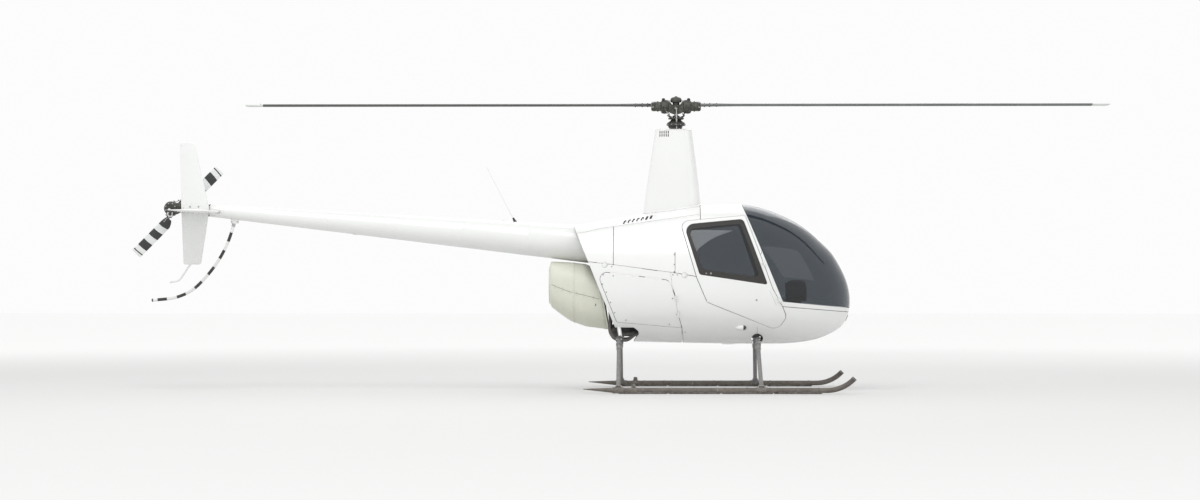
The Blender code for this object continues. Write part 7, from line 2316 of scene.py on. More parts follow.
@dataclass
class Cooling:
    """The fan shroud behind the engine, and the fan that turns in its inlet."""

    sections: tuple[tuple[float, float, float, float], ...] = (
        (-1.116, 0.760, 1.130, 0.185), (-1.104, 0.735, 1.140, 0.200), (-1.028, 0.676, 1.137, 0.240),
        (-0.937, 0.613, 1.132, 0.280), (-0.800, 0.564, 1.118, 0.310), (-0.680, 0.538, 1.060, 0.320),
    )
    level: float = 0.930
    lean: float = 0.165

    def build(self) -> None:
        """Makes the shroud and the fan."""
        self.shroud()
        self.fan()

    def ring(self, x: float, grow: float) -> list[tuple[float, float, float]]:
        """Gives the shroud's outline at a place along it, grown or drawn in."""
        table = np.array(self.sections)
        foot, head, half = (float(np.interp(x, table[:, 0], table[:, i])) for i in (1, 2, 3))
        middle, reach = (foot + head) / 2, (head - foot) / 2
        lean = self.lean * min(1.0, max(0.0, (x + 0.800) / 0.120))
        points = []
        for angle in angles(96):
            across = math.copysign(abs(math.cos(angle)) ** 0.76, math.cos(angle))
            up = math.copysign(abs(math.sin(angle)) ** 0.76, math.sin(angle))
            height = middle + (reach + grow) * up
            points.append((x + lean * (head - height), (half + grow) * across, height))
        return points

    def shroud(self) -> None:
        """Makes the moulded shell in two halves with a flange between them, the inlet lip and the struts."""
        sketch = Sketch()
        stations = [-1.116, -1.1135, -1.109, -1.103, *np.linspace(-1.09, -0.70, 16).tolist(), -0.688, -0.680]
        grows = [-0.006, -0.0022, -0.0006, 0.0, *([0.0] * 16), 0.0, 0.002]
        outer = [self.ring(x, g) for x, g in zip(stations, grows)]
        inner = [self.ring(x, g - 0.009) for x, g in zip(stations[::-1], grows[::-1]) if x > -1.106]
        holes = [[(x, 0.152 * c, self.level + 0.152 * s) for c, s in round_about(96)]
                 for x in (-1.1165, -1.106)]
        sketch.loft([holes[0], *outer, *inner, holes[1]], loop=True)
        sketch.turned([(-1.1265, 0.1470), (-1.1275, 0.1520), (-1.1262, 0.1600), (-1.1222, 0.1660),
                       (-1.1160, 0.1680), (-1.1120, 0.1650), (-1.1120, 0.1462), (-1.1200, 0.1460)],
                      (0, 0, self.level), Axis.X, 72, loop=True)
        for x in (-0.700, -0.905):
            sketch.loft([self.ring(x - dx, g) for dx, g in ((0.007, 0.0002), (0.006, 0.0030),
                                                            (-0.006, 0.0030), (-0.007, 0.0002))], caps=False)
        for side in SIDES:
            line = []
            for x in np.linspace(-1.100, -0.684, 14).tolist():
                place, y, z = self.ring(x, 0.0004)[0]
                line.append((place, side * y, z))
                if len(line) % 2 == 0:
                    for dz in (-0.012, 0.012):
                        sketch.bolt((place, side * y, z + dz), (0, side, 0), 0.0042, 1)
            sketch.tube([Vector(p) for p in line], 0.0016, 8, 2)
            sketch.rod((-0.606, side * 0.112, 0.760), (-0.715, side * 0.311, 0.760), 0.0115, steps=22,
                       finish=3)
            sketch.block((-0.6123, side * 0.112 - 0.021, 0.739), (-0.6004, side * 0.112 + 0.021, 0.781),
                         0.003, 3)
            for dz in (-0.014, 0.014):
                sketch.bolt((-0.6118, side * 0.112, 0.760 + dz), (-1, 0, 0), 0.0045, 1)
        sketch.build("fan_shroud_shell", Ride.AIRFRAME, (CREAM, CREAM, GREY_JOINT_AND_SHADE, FRAME_BLACK), ("fan_shroud",),
                     angle=40.0)

    def fan(self) -> None:
        """Makes the wheel with its twisted blades, hub bolts and rims."""
        sketch = Sketch()
        sketch.turned([(-1.100, 0.006), (-1.099, 0.016), (-1.094, 0.020), (-1.082, 0.034), (-1.078, 0.044),
                       (-1.002, 0.0445), (-1.0003, 0.042), (-1.0003, 0.018)], (0, 0, self.level), Axis.X, 44,
                      1)
        for c, s in round_about(6):
            sketch.bolt((-1.0815, 0.0335 * c, self.level + 0.0335 * s), (-1, 0, 0), 0.0042, 2)
        for angle in angles(18):
            turn = Matrix.Rotation(angle, 3, "X")
            rings = []
            for radius in np.linspace(0.042, 0.1335, 8).tolist():
                pitch = math.radians(62 - 28 * (radius - 0.042) / 0.0915)
                ring = []
                for along, up in aerofoil(0.052, 0.0052, 0.5, 8):
                    bow = 0.006 * (1 - (2 * along / 0.052) ** 2)
                    x = -1.040 + along * math.cos(pitch) - (up + bow) * math.sin(pitch)
                    across = along * math.sin(pitch) + (up + bow) * math.cos(pitch)
                    ring.append(turn @ Vector((x, across, radius)) + Vector((0, 0, self.level)))
                rings.append(ring)
            sketch.loft(rings)
        sketch.build("cooling_fan_wheel", Ride.FAN, (CASTING, CASTING, STEEL), ("fan_wheel",), angle=40.0)


@dataclass
class Pad:
    """One stuffed pad, made lying flat: its length along X, its width along Y and its thickness along Z."""

    name: str
    length: float
    width: float
    thick: float
    place: Matrix
    replaces: str
    voxel: float = 0.008
    margin: float = 0.004
    swell: float = 0.011
    pleats: int = 3
    border: float = 0.060

    def build(self, mirrored_name: str, mirrored_replaces: str) -> None:
        """Makes the pad with its piping and stitches, and the same on the other side.

        Args:
            mirrored_name: The name of the piece on the other side.
            mirrored_replaces: The solid that it stands for.
        """
        mesh = self.blank()
        self.inflate(mesh)
        mesh = self.smoothed(mesh)
        self.sew(mesh)
        tree = self.tree(mesh)
        trims = self.piping(tree), self.stitches(tree)
        for name, solid, flip in ((self.name, self.replaces, False),
                                  (mirrored_name, mirrored_replaces, True)):
            self.finish(mesh.copy(), name, solid, flip)
            self.finish_trim([sketch.work.copy() for sketch in trims], name, flip)

    def blank(self) -> bpy.types.Mesh:
        """Makes the flat block that is blown up, as an even net of small faces."""
        work = bmesh.new()
        bmesh.ops.create_cube(work, size=1.0)
        low = Vector((self.margin, self.margin, 0.001))
        high = Vector((self.length - self.margin, self.width - self.margin, self.thick - self.swell * 1.15))
        for vert in work.verts:
            vert.co = Vector(a + (b - a) * (c + 0.5) for a, b, c in zip(low, high, vert.co))
        upright = [e for e in work.edges if abs(e.verts[0].co.z - e.verts[1].co.z) > 1e-4]
        bmesh.ops.bevel(work, geom=upright, offset=0.035, segments=5, profile=0.5, affect="EDGES")
        rim = [e for e in work.edges if min(v.co.z for v in e.verts) > high.z - 1e-5]
        rim = [e for e in rim if len({f.normal.z > 0.9 for f in e.link_faces}) == 2]
        bmesh.ops.bevel(work, geom=rim, offset=0.010, segments=3, profile=0.5, affect="EDGES")
        mesh = bpy.data.meshes.new("blank")
        work.to_mesh(mesh)
        work.free()
        obj = bpy.data.objects.new("blank", mesh)
        bpy.context.scene.collection.objects.link(obj)
        remesh = obj.modifiers.new("Net", "REMESH")
        remesh.mode = "VOXEL"
        remesh.voxel_size = self.voxel
        return self.baked(obj)

    def baked(self, obj: bpy.types.Object) -> bpy.types.Mesh:
        """Gives the mesh that an object's modifiers make, and removes the object."""
        made = bpy.data.meshes.new_from_object(obj.evaluated_get(bpy.context.evaluated_depsgraph_get()))
        bpy.data.objects.remove(obj, do_unlink=True)
        return made

    def inflate(self, mesh: bpy.types.Mesh) -> None:
        count = len(mesh.vertices)
        rest = np.empty(count * 3)
        mesh.vertices.foreach_get("co", rest)
        rest = rest.reshape(-1, 3)
        moved = self.simulated(mesh)
        shift = moved - rest
        reach = np.linalg.norm(shift, axis=1, keepdims=True)
        shift *= np.minimum(1.0, self.swell / np.maximum(reach, 1e-9))
        result = rest + shift
        result[:, 2] = np.clip(result[:, 2], 0.0, self.thick)
        mesh.vertices.foreach_set("co", result.ravel())

    def simulated(self, mesh: bpy.types.Mesh) -> np.ndarray:
        """Gives the points after the cover has been blown up as cloth."""
        obj = bpy.data.objects.new("cover", mesh)
        scene = bpy.context.scene
        scene.collection.objects.link(obj)
        cloth = obj.modifiers.new("Cover", "CLOTH")
        cloth.settings.use_pressure = True
        cloth.settings.uniform_pressure_force = 4.0
        cloth.settings.effector_weights.gravity = 0.0
        cloth.settings.quality = 4
        cloth.settings.tension_stiffness = cloth.settings.compression_stiffness = 12.0
        cloth.point_cache.frame_start, cloth.point_cache.frame_end = 1, 20
        for frame in range(1, 21):
            scene.frame_set(frame)
        evaluated = obj.evaluated_get(bpy.context.evaluated_depsgraph_get())
        settled = evaluated.to_mesh()
        points = np.empty(len(settled.vertices) * 3)
        settled.vertices.foreach_get("co", points)
        evaluated.to_mesh_clear()
        obj.modifiers.clear()
        bpy.data.objects.remove(obj, do_unlink=True)
        scene.frame_set(1)
        return points.reshape(-1, 3)

    def smoothed(self, mesh: bpy.types.Mesh) -> bpy.types.Mesh:
        """Gives the mesh with its faces split in four and rounded."""
        obj = bpy.data.objects.new("smooth", mesh)
        bpy.context.scene.collection.objects.link(obj)
        obj.modifiers.new("Smooth", "SUBSURF").levels = 1
        return self.baked(obj)

    def seam_lines(self) -> list[list[Vector]]:
        """Gives the seams on the upper face: the border round the middle panel and the pleats in it."""
        b = self.border
        outline = rounded_box((b, b), (self.length - b, self.width - b), 0.020, 5)
        lines = [dense([Vector((*p, 0)) for p in outline], 0.004)]
        lines[0].append(lines[0][0])
        for index in range(self.pleats):
            v = b + (self.width - 2 * b) * (index + 1) / (self.pleats + 1)
            lines.append(dense([Vector((b, v, 0)), Vector((self.length - b, v, 0))], 0.004, False))
        return lines

    def sew(self, mesh: bpy.types.Mesh) -> None:
        """Draws the upper face in along its seams, and puffs up what lies between them."""
        points = np.empty(len(mesh.vertices) * 3)
        mesh.vertices.foreach_get("co", points)
        points = points.reshape(-1, 3)
        seams = [p for line in self.seam_lines() for p in line]
        tree = KDTree(len(seams))
        for index, place in enumerate(seams):
            tree.insert(place, index)
        tree.balance()
        for point in points:
            if point[2] < self.thick * 0.55:
                continue
            gap = tree.find(Vector((point[0], point[1], 0)))[2]
            point[2] -= 0.0052 * math.exp(-((gap / 0.0055) ** 2)) + 0.0022 * math.exp(-((gap / 0.018) ** 2))
        mesh.vertices.foreach_set("co", points.ravel())

    def tree(self, mesh: bpy.types.Mesh) -> BVHTree:
        """Gives a finder of places on the pad."""
        return BVHTree.FromPolygons([v.co for v in mesh.vertices], [p.vertices[:] for p in mesh.polygons])

    def piping(self, tree: BVHTree) -> Sketch:
        """Makes the cord sewn in round the upper and the lower edge."""
        sketch = Sketch()
        edge = rounded_box((0.004, 0.004), (self.length - 0.004, self.width - 0.004), 0.040, 8)
        for share, lean in ((0.78, 0.5), (0.16, -0.1)):
            route = []
            for point in dense(edge, 0.010):
                outside = Vector((point.x, point.y, self.thick * share + lean * 0.01))
                place, normal, _, _ = tree.find_nearest(outside)
                route.append(place + normal * 0.0006)
            rings = []
            for index, place in enumerate(route):
                tangent = (route[(index + 1) % len(route)] - route[index - 1]).normalized()
                across = tangent.cross(Vector((0, 0, 1))).normalized()
                rings.append([place + (across * math.cos(a) + Vector((0, 0, 1)) * math.sin(a)) * 0.0034
                              for a in angles(10)])
            sketch.loft(rings, loop=True)
        return sketch

    def stitches(self, tree: BVHTree) -> Sketch:
        """Makes the thread along the seams."""
        sketch = Sketch()
        for line in self.seam_lines():
            for near, far in zip(line[::2], line[1::2]):
                ends = []
                for point in (near, far):
                    place, normal, _, _ = tree.ray_cast(Vector((point.x, point.y, self.thick + 0.05)),
                                                        Vector((0, 0, -1)))
                    ends.append(place + normal * 0.0004)
                sketch.rod(ends[0], ends[1], 0.0007, steps=5)
        return sketch

    def finish(self, mesh: bpy.types.Mesh, name: str, solid: str, flip: bool) -> None:
        """Puts the pad in its place in the cabin."""
        mesh.transform(self.place)
        if flip:
            mesh.transform(Matrix.Scale(-1, 4, (0, 1, 0)))
            mesh.flip_normals()
        dress(mesh, name, Ride.AIRFRAME, (HIDE,), (solid,), angle=70.0)

    def finish_trim(self, works: list[bmesh.types.BMesh], name: str, flip: bool) -> None:
        """Puts the piping and the thread in their place in the cabin."""
        turn = Matrix.Scale(-1, 4, (0, 1, 0)) @ self.place if flip else self.place
        for work, word, finish in zip(works, ("piping", "thread"), (PIPING, THREAD)):
            bmesh.ops.transform(work, matrix=turn, verts=work.verts)
            Sketch(work).build(f"{name}_{word}", Ride.AIRFRAME, (finish,))


@dataclass
class Seats:
    """Both seats: cushion and back, with pleats and piping."""

    lean: float = math.radians(14)

    def build(self) -> None:
        """Makes the four pads."""
        lying = Matrix.Translation((0.276, -0.479, 0.7004))
        Pad("right_cushion_pad", 0.363, 0.443, 0.0892, lying, "right_seat_cushion").build(
            "left_cushion_pad", "left_seat_cushion")
        upright = Matrix(((0, 0, 1, 0), (0, 1, 0, 0), (1, 0, 0, 0), (0, 0, 0, 1)))
        leaned = Matrix.Translation((0.2120, -0.449, 0.717)) @ Matrix.Rotation(-self.lean, 4, "Y") @ upright
        Pad("right_back_pad", 0.558, 0.413, 0.0595, leaned, "right_seat_back", border=0.055).build(
            "left_back_pad", "left_seat_back")


@dataclass
class CabinShell:
    """Floor, bulkhead and bench: the solids with carpet and trim, and the fittings on them."""

    def build(self) -> None:
        """Dresses the solids and adds their fittings."""
        for name, finish in (("cabin_floor", CARPET), ("rear_bulkhead", TRIM), ("seat_bench", TRIM)):
            materials = bpy.data.objects[name].data.materials
            materials.clear()
            materials.append(finish.material())
        self.fittings()

    def fittings(self) -> None:
        """Makes heel plates, floor strips, the bench's lids and handles, and the bulkhead's quilted cover."""
        sketch = Sketch()
        for side in SIDES:
            low, high = sorted((side * 0.105, side * 0.275))
            sketch.block((0.940, low, 0.4995), (1.090, high, 0.5035), 0.0015)
            for index in range(7):
                x = 0.955 + index * 0.020
                sketch.block((x, low + 0.012, 0.5030), (x + 0.006, high - 0.012, 0.5050), 0.0008)
            sketch.tube([Vector((0.614, side * 0.03, 0.5035)), Vector((0.940, side * 0.03, 0.5035))], 0.0035,
                        10)
            for y in (0.060, 0.245, 0.430):
                sketch.turned([(0, 0.012), (0.002, 0.012), (0.003, 0.009)], (0.6100, side * y, 0.660), Axis.X,
                              20, 1)
                sketch.turned([(0, 0.005), (0.0042, 0.005)], (0.6100, side * y, 0.660), Axis.X, 8, 1)
            lid = rounded_box((side * 0.050, 0.530), (side * 0.420, 0.640), 0.012, 4)
            sketch.plate(lid, 0.6095, 0.6135, Axis.X)
            handle = [Vector((0.6125, side * y, z)) for y, z in ((0.190, 0.612), (0.190, 0.617),
                                                                 (0.280, 0.617), (0.280, 0.612))]
            handle[1].x = handle[2].x = 0.626
            sketch.tube(bent_path(handle, 0.006, 4), 0.0035, 12, 1)
            for y in (0.085, 0.185, 0.285):
                for z in (1.10, 1.24, 1.38):
                    sketch.turned([(0, 0.008), (0.0014, 0.0075), (0.0030, 0.004)], (0.0448, side * y, z),
                                  Axis.X, 14, 1)
            for y in (0.035, 0.135, 0.235, 0.335):
                sketch.tube([Vector((0.0452, side * y, 1.05)), Vector((0.0452, side * y, 1.40))], 0.0014, 6)
        for z in (1.17, 1.31, 1.40):
            sketch.tube([Vector((0.0452, -0.335, z)), Vector((0.0452, 0.335, z))], 0.0014, 6)
        sketch.build("cabin_fittings", Ride.AIRFRAME, (TRIM, CHROME))


@dataclass
class Console:
    """The instrument stand between the pedals: a tapering column with a hooded pod of dials."""

    def build(self) -> None:
        """Makes the stand, its pod, the dials and the switches."""
        stand = Sketch()
        column = [(0.5003, 0.950, 1.118, 0.099), (0.62, 0.958, 1.112, 0.094), (0.80, 0.968, 1.108, 0.088)]
        hood = [(0.790, 0.984, 1.145, 0.140), (0.812, 0.977, 1.153, 0.163), (0.890, 0.977, 1.153, 0.168),
                (0.945, 0.983, 1.145, 0.158), (0.968, 1.000, 1.125, 0.130), (0.974, 1.02, 1.11, 0.10)]
        for rows, radius in ((column, 0.020), (hood, 0.018)):
            stand.loft([[Vector((x, y, z)) for x, y in rounded_box((rear, -half), (front, half), radius, 4)]
                        for z, rear, front, half in rows])
        back = -Vector((1, 0, 0))
        for y in (-0.060, 0.060):
            for z in (0.540, 0.640, 0.740):
                stand.turned([(0, 0.0045), (0.002, 0.004), (0.003, 0.002)], (0.957, y, z), back, 12, 1)
        stand.block((0.952, -0.055, 0.665), (0.964, 0.055, 0.762), 0.003, 1)
        for index in range(5):
            y = -0.042 + index * 0.021
            stand.rod((0.953, y, 0.725), (0.9505, y, 0.735), 0.0032, 0.0024, 10, 2)
            stand.turned([(0, 0.0075), (0.003, 0.0070), (0.004, 0.005)], (0.9525, y, 0.690), back, 16, 1)
        stand.build("instrument_stand", Ride.AIRFRAME, (TRIM, BLACK, CHROME), ("instrument_console",))
        self.dials()

    def dials(self) -> None:
        """Makes two rows of dials with rims, glasses' steps, ticks and needles."""
        sketch = Sketch()
        back = -Vector((1, 0, 0))
        places = [(y, 0.917, 0.034) for y in (-0.110, -0.037, 0.037, 0.110)]
        places += [(y, 0.845, 0.026) for y in (-0.116, -0.058, 0.0, 0.058, 0.116)]
        for count, (y, z, radius) in enumerate(places):
            base = Vector((0.9795, y, z))
            rim = [(0, radius), (0.0042, radius), (0.0048, radius - 0.002), (0.0048, radius - 0.004),
                   (0.0015, radius - 0.005)]
            sketch.turned(rim, base, back, 28, 0)
            sketch.turned([(0, radius - 0.0048), (0.0018, radius - 0.0048)], base, back, 28, 1)
            for step in range(12):
                angle = math.radians(-140 + step * 280 / 11)
                way = Vector((0, math.sin(angle), math.cos(angle)))
                sketch.rod(base + back * 0.0021 + way * (radius - 0.0105),
                           base + back * 0.0021 + way * (radius - 0.0062), 0.0005, steps=4, finish=2)
            angle = math.radians(-110 + 47 * count)
            way = Vector((0, math.sin(angle), math.cos(angle)))
            sketch.rod(base + back * 0.0026 - way * 0.005, base + back * 0.0026 + way * (radius - 0.010),
                       0.0011, 0.0004, 6, 2)
            sketch.turned([(0, 0.003), (0.0036, 0.003)], base, back, 10, 0)
        sketch.build("instrument_dials", Ride.AIRFRAME, (BLACK, DIAL, MARKING))


@dataclass
class Controls:
    """The stick between the seats with its cross bar and grips, and both pairs of pedals."""

    bar: float = 0.960

    def build(self) -> None:
        """Makes the stick and the pedals."""
        self.stick()
        self.pedals()

    def stick(self) -> None:
        """Makes the post, its boot, the cross bar and a grip at each end."""
        sketch = Sketch()
        folds = [(0.0, 0.0445), (0.004, 0.0447)]
        for index in range(6):
            radius = 0.043 - index * 0.0037
            folds += [(0.008 + index * 0.007, radius), (0.0115 + index * 0.007, radius - 0.006)]
        sketch.turned([*folds, (0.050, 0.014)], (0.720, 0, 0.5004), Axis.Z, 28, 1)
        route = [Vector((0.720, 0, 0.52)), Vector((0.720, 0, 0.90)), Vector((0.670, 0, self.bar))]
        sketch.tube(bent_path(route, 0.05), 0.0108, 18)
        sketch.collar((0.020, 0.0145), (0.016, 0.0165), (0.670, 0, self.bar), Axis.Y, 22, 2)
        sketch.rod((0.670, -0.298, self.bar), (0.670, 0.298, self.bar), 0.0108)
        for side in SIDES:
            y = side * 0.289
            sketch.turned([(-0.012, 0.0115), (-0.009, 0.0140), (0.008, 0.0140), (0.010, 0.012)],
                          (0.670, y, self.bar), Axis.Y, 20, 2)
            sketch.rod((0.670, y, self.bar), (0.672, y, self.bar - 0.128), 0.0085)
            grip = [(0.006 * step, 0.0115 + 0.0017 * (step % 2) + 0.0012 * math.sin(step * 0.34))
                    for step in range(18)]
            sketch.turned(grip, (0.6705, y, self.bar - 0.022), Vector((0.016, 0, -1)), 20, 1)
            sketch.turned([(0, 0.0042), (0.005, 0.0042), (0.006, 0.003)], (0.6795, y, self.bar - 0.040),
                          Axis.X, 12, 2)
        sketch.build("control_stick", Ride.AIRFRAME, (BLACK, RUBBER, CHROME), ("cyclic_stick",))

    def pedals(self) -> None:
        """Makes the pedals' bar, their stems and their ribbed pads."""
        sketch = Sketch()
        sketch.rod((1.130, -0.249, 0.540), (1.130, 0.249, 0.540), 0.0108)
        for side in SIDES:
            foot = Vector((1.130, side * 0.180, 0.0))
            sketch.block(foot + Vector((-0.020, -0.014, 0.5003)), foot + Vector((0.020, 0.014, 0.5060)),
                         0.002)
            sketch.block(foot + Vector((-0.014, -0.009, 0.503)), foot + Vector((0.014, 0.009, 0.553)), 0.004)
            for dx in (-0.0145, 0.0145):
                sketch.bolt(foot + Vector((dx, 0, 0.5062)), Vector((0, 0, 1)), 0.0028, 2)
            for y in (0.135, 0.225):
                pad = Vector((1.130, side * y, 0.0))
                sketch.collar((0.015, 0.0145), (0.012, 0.016), pad + Vector((0, 0, 0.540)), Axis.Y, 20, 2)
                sketch.block(pad + Vector((0.002, -0.006, 0.545)), pad + Vector((0.012, 0.006, 0.630)), 0.002)
                sketch.block(pad + Vector((-0.004, -0.0275, 0.562)), pad + Vector((0.006, 0.0275, 0.639)),
                             0.003)
                for index in range(6):
                    z = 0.568 + index * 0.012
                    sketch.block(pad + Vector((-0.0075, -0.024, z)), pad + Vector((-0.002, 0.024, z + 0.006)),
                                 0.0015, 1)
        sketch.build("foot_pedals", Ride.AIRFRAME, (BLACK, RUBBER, CHROME), ("pedals",))


@dataclass
class BodyTrim:
    """What sits on the shell: round latches, fasteners, seams, hinges, and a bump under the belly."""

    latches: tuple[Point, ...] = ((-0.625, 1.110), (0.072, 1.020))
    fasteners: tuple[Point, ...] = ((-0.564, 1.094), (-0.0175, 1.200), (-0.0175, 1.112), (-0.0175, 1.050),
                                    (-0.030, 1.022), (-0.551, 1.013), (-0.638, 1.022), (0.010, 1.022),
                                    (0.078, 0.520))
    door_screws: tuple[Point, ...] = ((-0.032, 0.815), (0.004, 0.676), (-0.647, 0.940), (-0.612, 0.870),
                                      (-0.575, 0.780), (-0.540, 0.690), (-0.440, 0.625), (-0.060, 0.590))
    seams: tuple[tuple[Point, Point], ...] = (((0.050, 0.556), (0.068, 0.445)),
                                              ((0.708, 0.567), (0.708, 0.512)))
    door_line: tuple[Point, Point] = ((0.813, 0.889), (0.869, 0.759))
    cabin_axis: tuple[Point, Point] = ((0.9165, 0.5460, 0.7600), (0.7057, 0.5460, 1.2600))
    engine_axis: tuple[Point, Point] = ((0.0300, 0.5160, 0.6000), (-0.0150, 0.5740, 0.9000))

    def build(self) -> None:
        """Makes the trim of both sides."""
        fixed = Sketch()
        for side in SIDES:
            word = side_word(side)
            for spot in self.latches:
                self.latch(fixed, spot, side)
            self.screws(fixed, self.fasteners, side)
            for near, far in self.seams:
                self.line(fixed, near, far, side)
            door, hatch = Sketch(), Sketch()
            self.door(door, side)
            self.screws(hatch, self.door_screws, side)
            hinged = ((door, self.cabin_axis, (0.80, 1.12), 0.014, 0.044, "door"),
                      (hatch, self.engine_axis, (0.68, 0.82), 0.016, 0.034, "engine_door"))
            for ride, (sketch, axis, heights, reach, depth, name) in zip(DOOR_RIDES[side], hinged):
                for height in heights:
                    self.hinge(sketch, fixed, axis, height, reach, depth, side)
                sketch.build(f"{word}_{name}_trim", ride, (WHITE, GREY_JOINT_AND_SHADE, STEEL, RUBBER))
        self.bump(fixed)
        fixed.build("body_trim", Ride.AIRFRAME, (WHITE, GREY_JOINT_AND_SHADE, STEEL))

    def latch(self, sketch: Sketch, spot: Point, side: int) -> None:
        """Adds a round push latch: a grey joint, a flush disc and its finger notch, which is a thin grey arc
        of painted shade.
        """
        place, normal = BODY.at(*spot, side)
        sketch.turned([(-0.004, 0.0250), (0.0006, 0.0250), (0.0009, 0.0236)], place, normal, 36, 1)
        sketch.turned([(-0.003, 0.0232), (0.0020, 0.0232), (0.0028, 0.0222), (0.0030, 0.0)], place, normal,
                      36, 0)
        # The finger notch is no recess: a grey arc on the disc is painted shade where it would be.
        along = normal.cross(Vector((0, 0, 1))).normalized()
        up = along.cross(normal)
        arc = [place + normal * 0.0029 + (along * math.cos(a) + up * math.sin(a)) * 0.0150
               for a in (math.radians(70 + step * 20) for step in range(11))]
        sketch.tube(arc, 0.0008, 6, 1)

    def screws(self, sketch: Sketch, spots: Iterable[Point], side: int) -> None:
        """Adds fastener heads, each on its dimple with a cross slot; the dimple's grey ring and the slot's
        two grey bars are painted shade of those recesses.
        """
        for x, z in spots:
            place, normal = BODY.at(x, z, side)
            # Grey ring: painted shade of the dimple round the head.
            sketch.turned([(-0.002, 0.0062), (0.0005, 0.0062), (0.0007, 0.0052)], place, normal, 16, 1)
            sketch.turned([(0, 0.0045), (0.0012, 0.0043), (0.0018, 0.0034)], place, normal, 16, 2)
            # Grey bars standing on the head: painted shade of the cross slot.
            across = normal.cross(Vector((0, 0, 1))).normalized()
            for way in (across, across.cross(normal)):
                middle = place + normal * 0.0018
                sketch.rod(middle - way * 0.0026, middle + way * 0.0026, 0.0005, steps=4, finish=1)

    def line(self, sketch: Sketch, near: Point, far: Point, side: int, size: float = 0.0011) -> None:
        """Adds a thin seam that follows the skin between two points seen from the side."""
        path = [BODY.at(near[0] + (far[0] - near[0]) * t, near[1] + (far[1] - near[1]) * t, side,
                        -size * 0.3)[0] for t in np.linspace(0, 1, 14)]
        sketch.tube(path, size, 6, 1)

    def door(self, sketch: Sketch, side: int) -> None:
        """Adds the cabin door's lock, the line of its inner frame and the window's catch."""
        self.line(sketch, *self.door_line, side, 0.0009)
        place, normal = BODY.at(0.699, 0.802, side)
        sketch.turned([(-0.002, 0.0095), (0.0008, 0.0095), (0.0014, 0.0085), (0.0014, 0.0)], place, normal,
                      24, 2)
        # The keyhole is a black bar standing on the lock: painted shade where the hole would be.
        sketch.block(place + normal * 0.0010 - Vector((0.0008, 0.001, 0.005)),
                     place + normal * 0.0022 + Vector((0.0008, 0.001, 0.005)), 0.0003, 3)
        for x, size in ((0.262, 0.0062), (0.302, 0.0080)):
            place, normal = BODY.at(x, 1.034, side)
            sketch.turned([(-0.002, size), (0.0030, size), (0.0042, size * 0.8), (0.0042, 0.0)], place,
                          normal, 20, 2)
            sketch.turned([(0.0040, size * 0.4), (0.0052, size * 0.36)], place, normal, 6, 3)

    def hinge(self, moving: Sketch, fixed: Sketch, axis: tuple[Point, Point], height: float, reach: float,
              depth: float, side: int) -> None:
        """Adds one hinge: the door's knuckle and the two lugs that hold it, each on an arm into the skin.

        Args:
            moving: The sketch of the door.
            fixed: The sketch of the body.
            axis: The foot and the head of the line that the door turns about.
            height: How high the hinge sits.
            reach: How far forward the lugs' arms go.
            depth: How far inwards the arms go.
            side: -1 for right, 1 for left.
        """
        foot, head = (Vector((x, y * side, z)) for x, y, z in axis)
        along = (head - foot).normalized()
        centre = foot + along * ((height - foot.z) / along.z)
        knuckle, lug, top = 0.0110, 0.0115, 0.0235
        for sketch, low, high, forward in ((moving, -knuckle, knuckle, -0.020), (fixed, lug, top, reach),
                                           (fixed, -top, -lug, reach)):
            near, far = centre + along * low, centre + along * high
            long = (far - near).length
            sketch.turned([(0, 0.0062), (0.0006, 0.0068), (long - 0.0006, 0.0068), (long, 0.0062)], near,
                          along, 18)
            into = Vector((forward, -depth * side, 0))
            into -= along * into.dot(along)
            half = into.normalized().cross(along) * 0.0034
            ends = [near + along * 0.0012, far - along * 0.0012]
            ring = [ends[0] + half, ends[0] - half, ends[1] - half, ends[1] + half]
            sketch.loft([ring, [p + into for p in ring]])
        for way in (-1, 1):
            pin = [(0, 0.0036), (0.0012, 0.0036), (0.0018, 0.0026)]
            fixed.turned(pin, centre + along * top * way, along * way, 12, 2)

    def bump(self, sketch: Sketch) -> None:
        """Adds the flat drain fairing under the belly."""
        rings = []
        for index in range(9):
            a = math.pi * (0.02 + 0.96 * index / 8)
            x, size = 0.464 - 0.066 * math.cos(a), math.sin(a) ** 0.6
            rings.append([Vector((x, 0.034 * size * math.cos(b),
                                  0.416 - 0.011 * size * max(math.sin(b), -0.3))) for b in angles(20)])
        sketch.loft(rings)


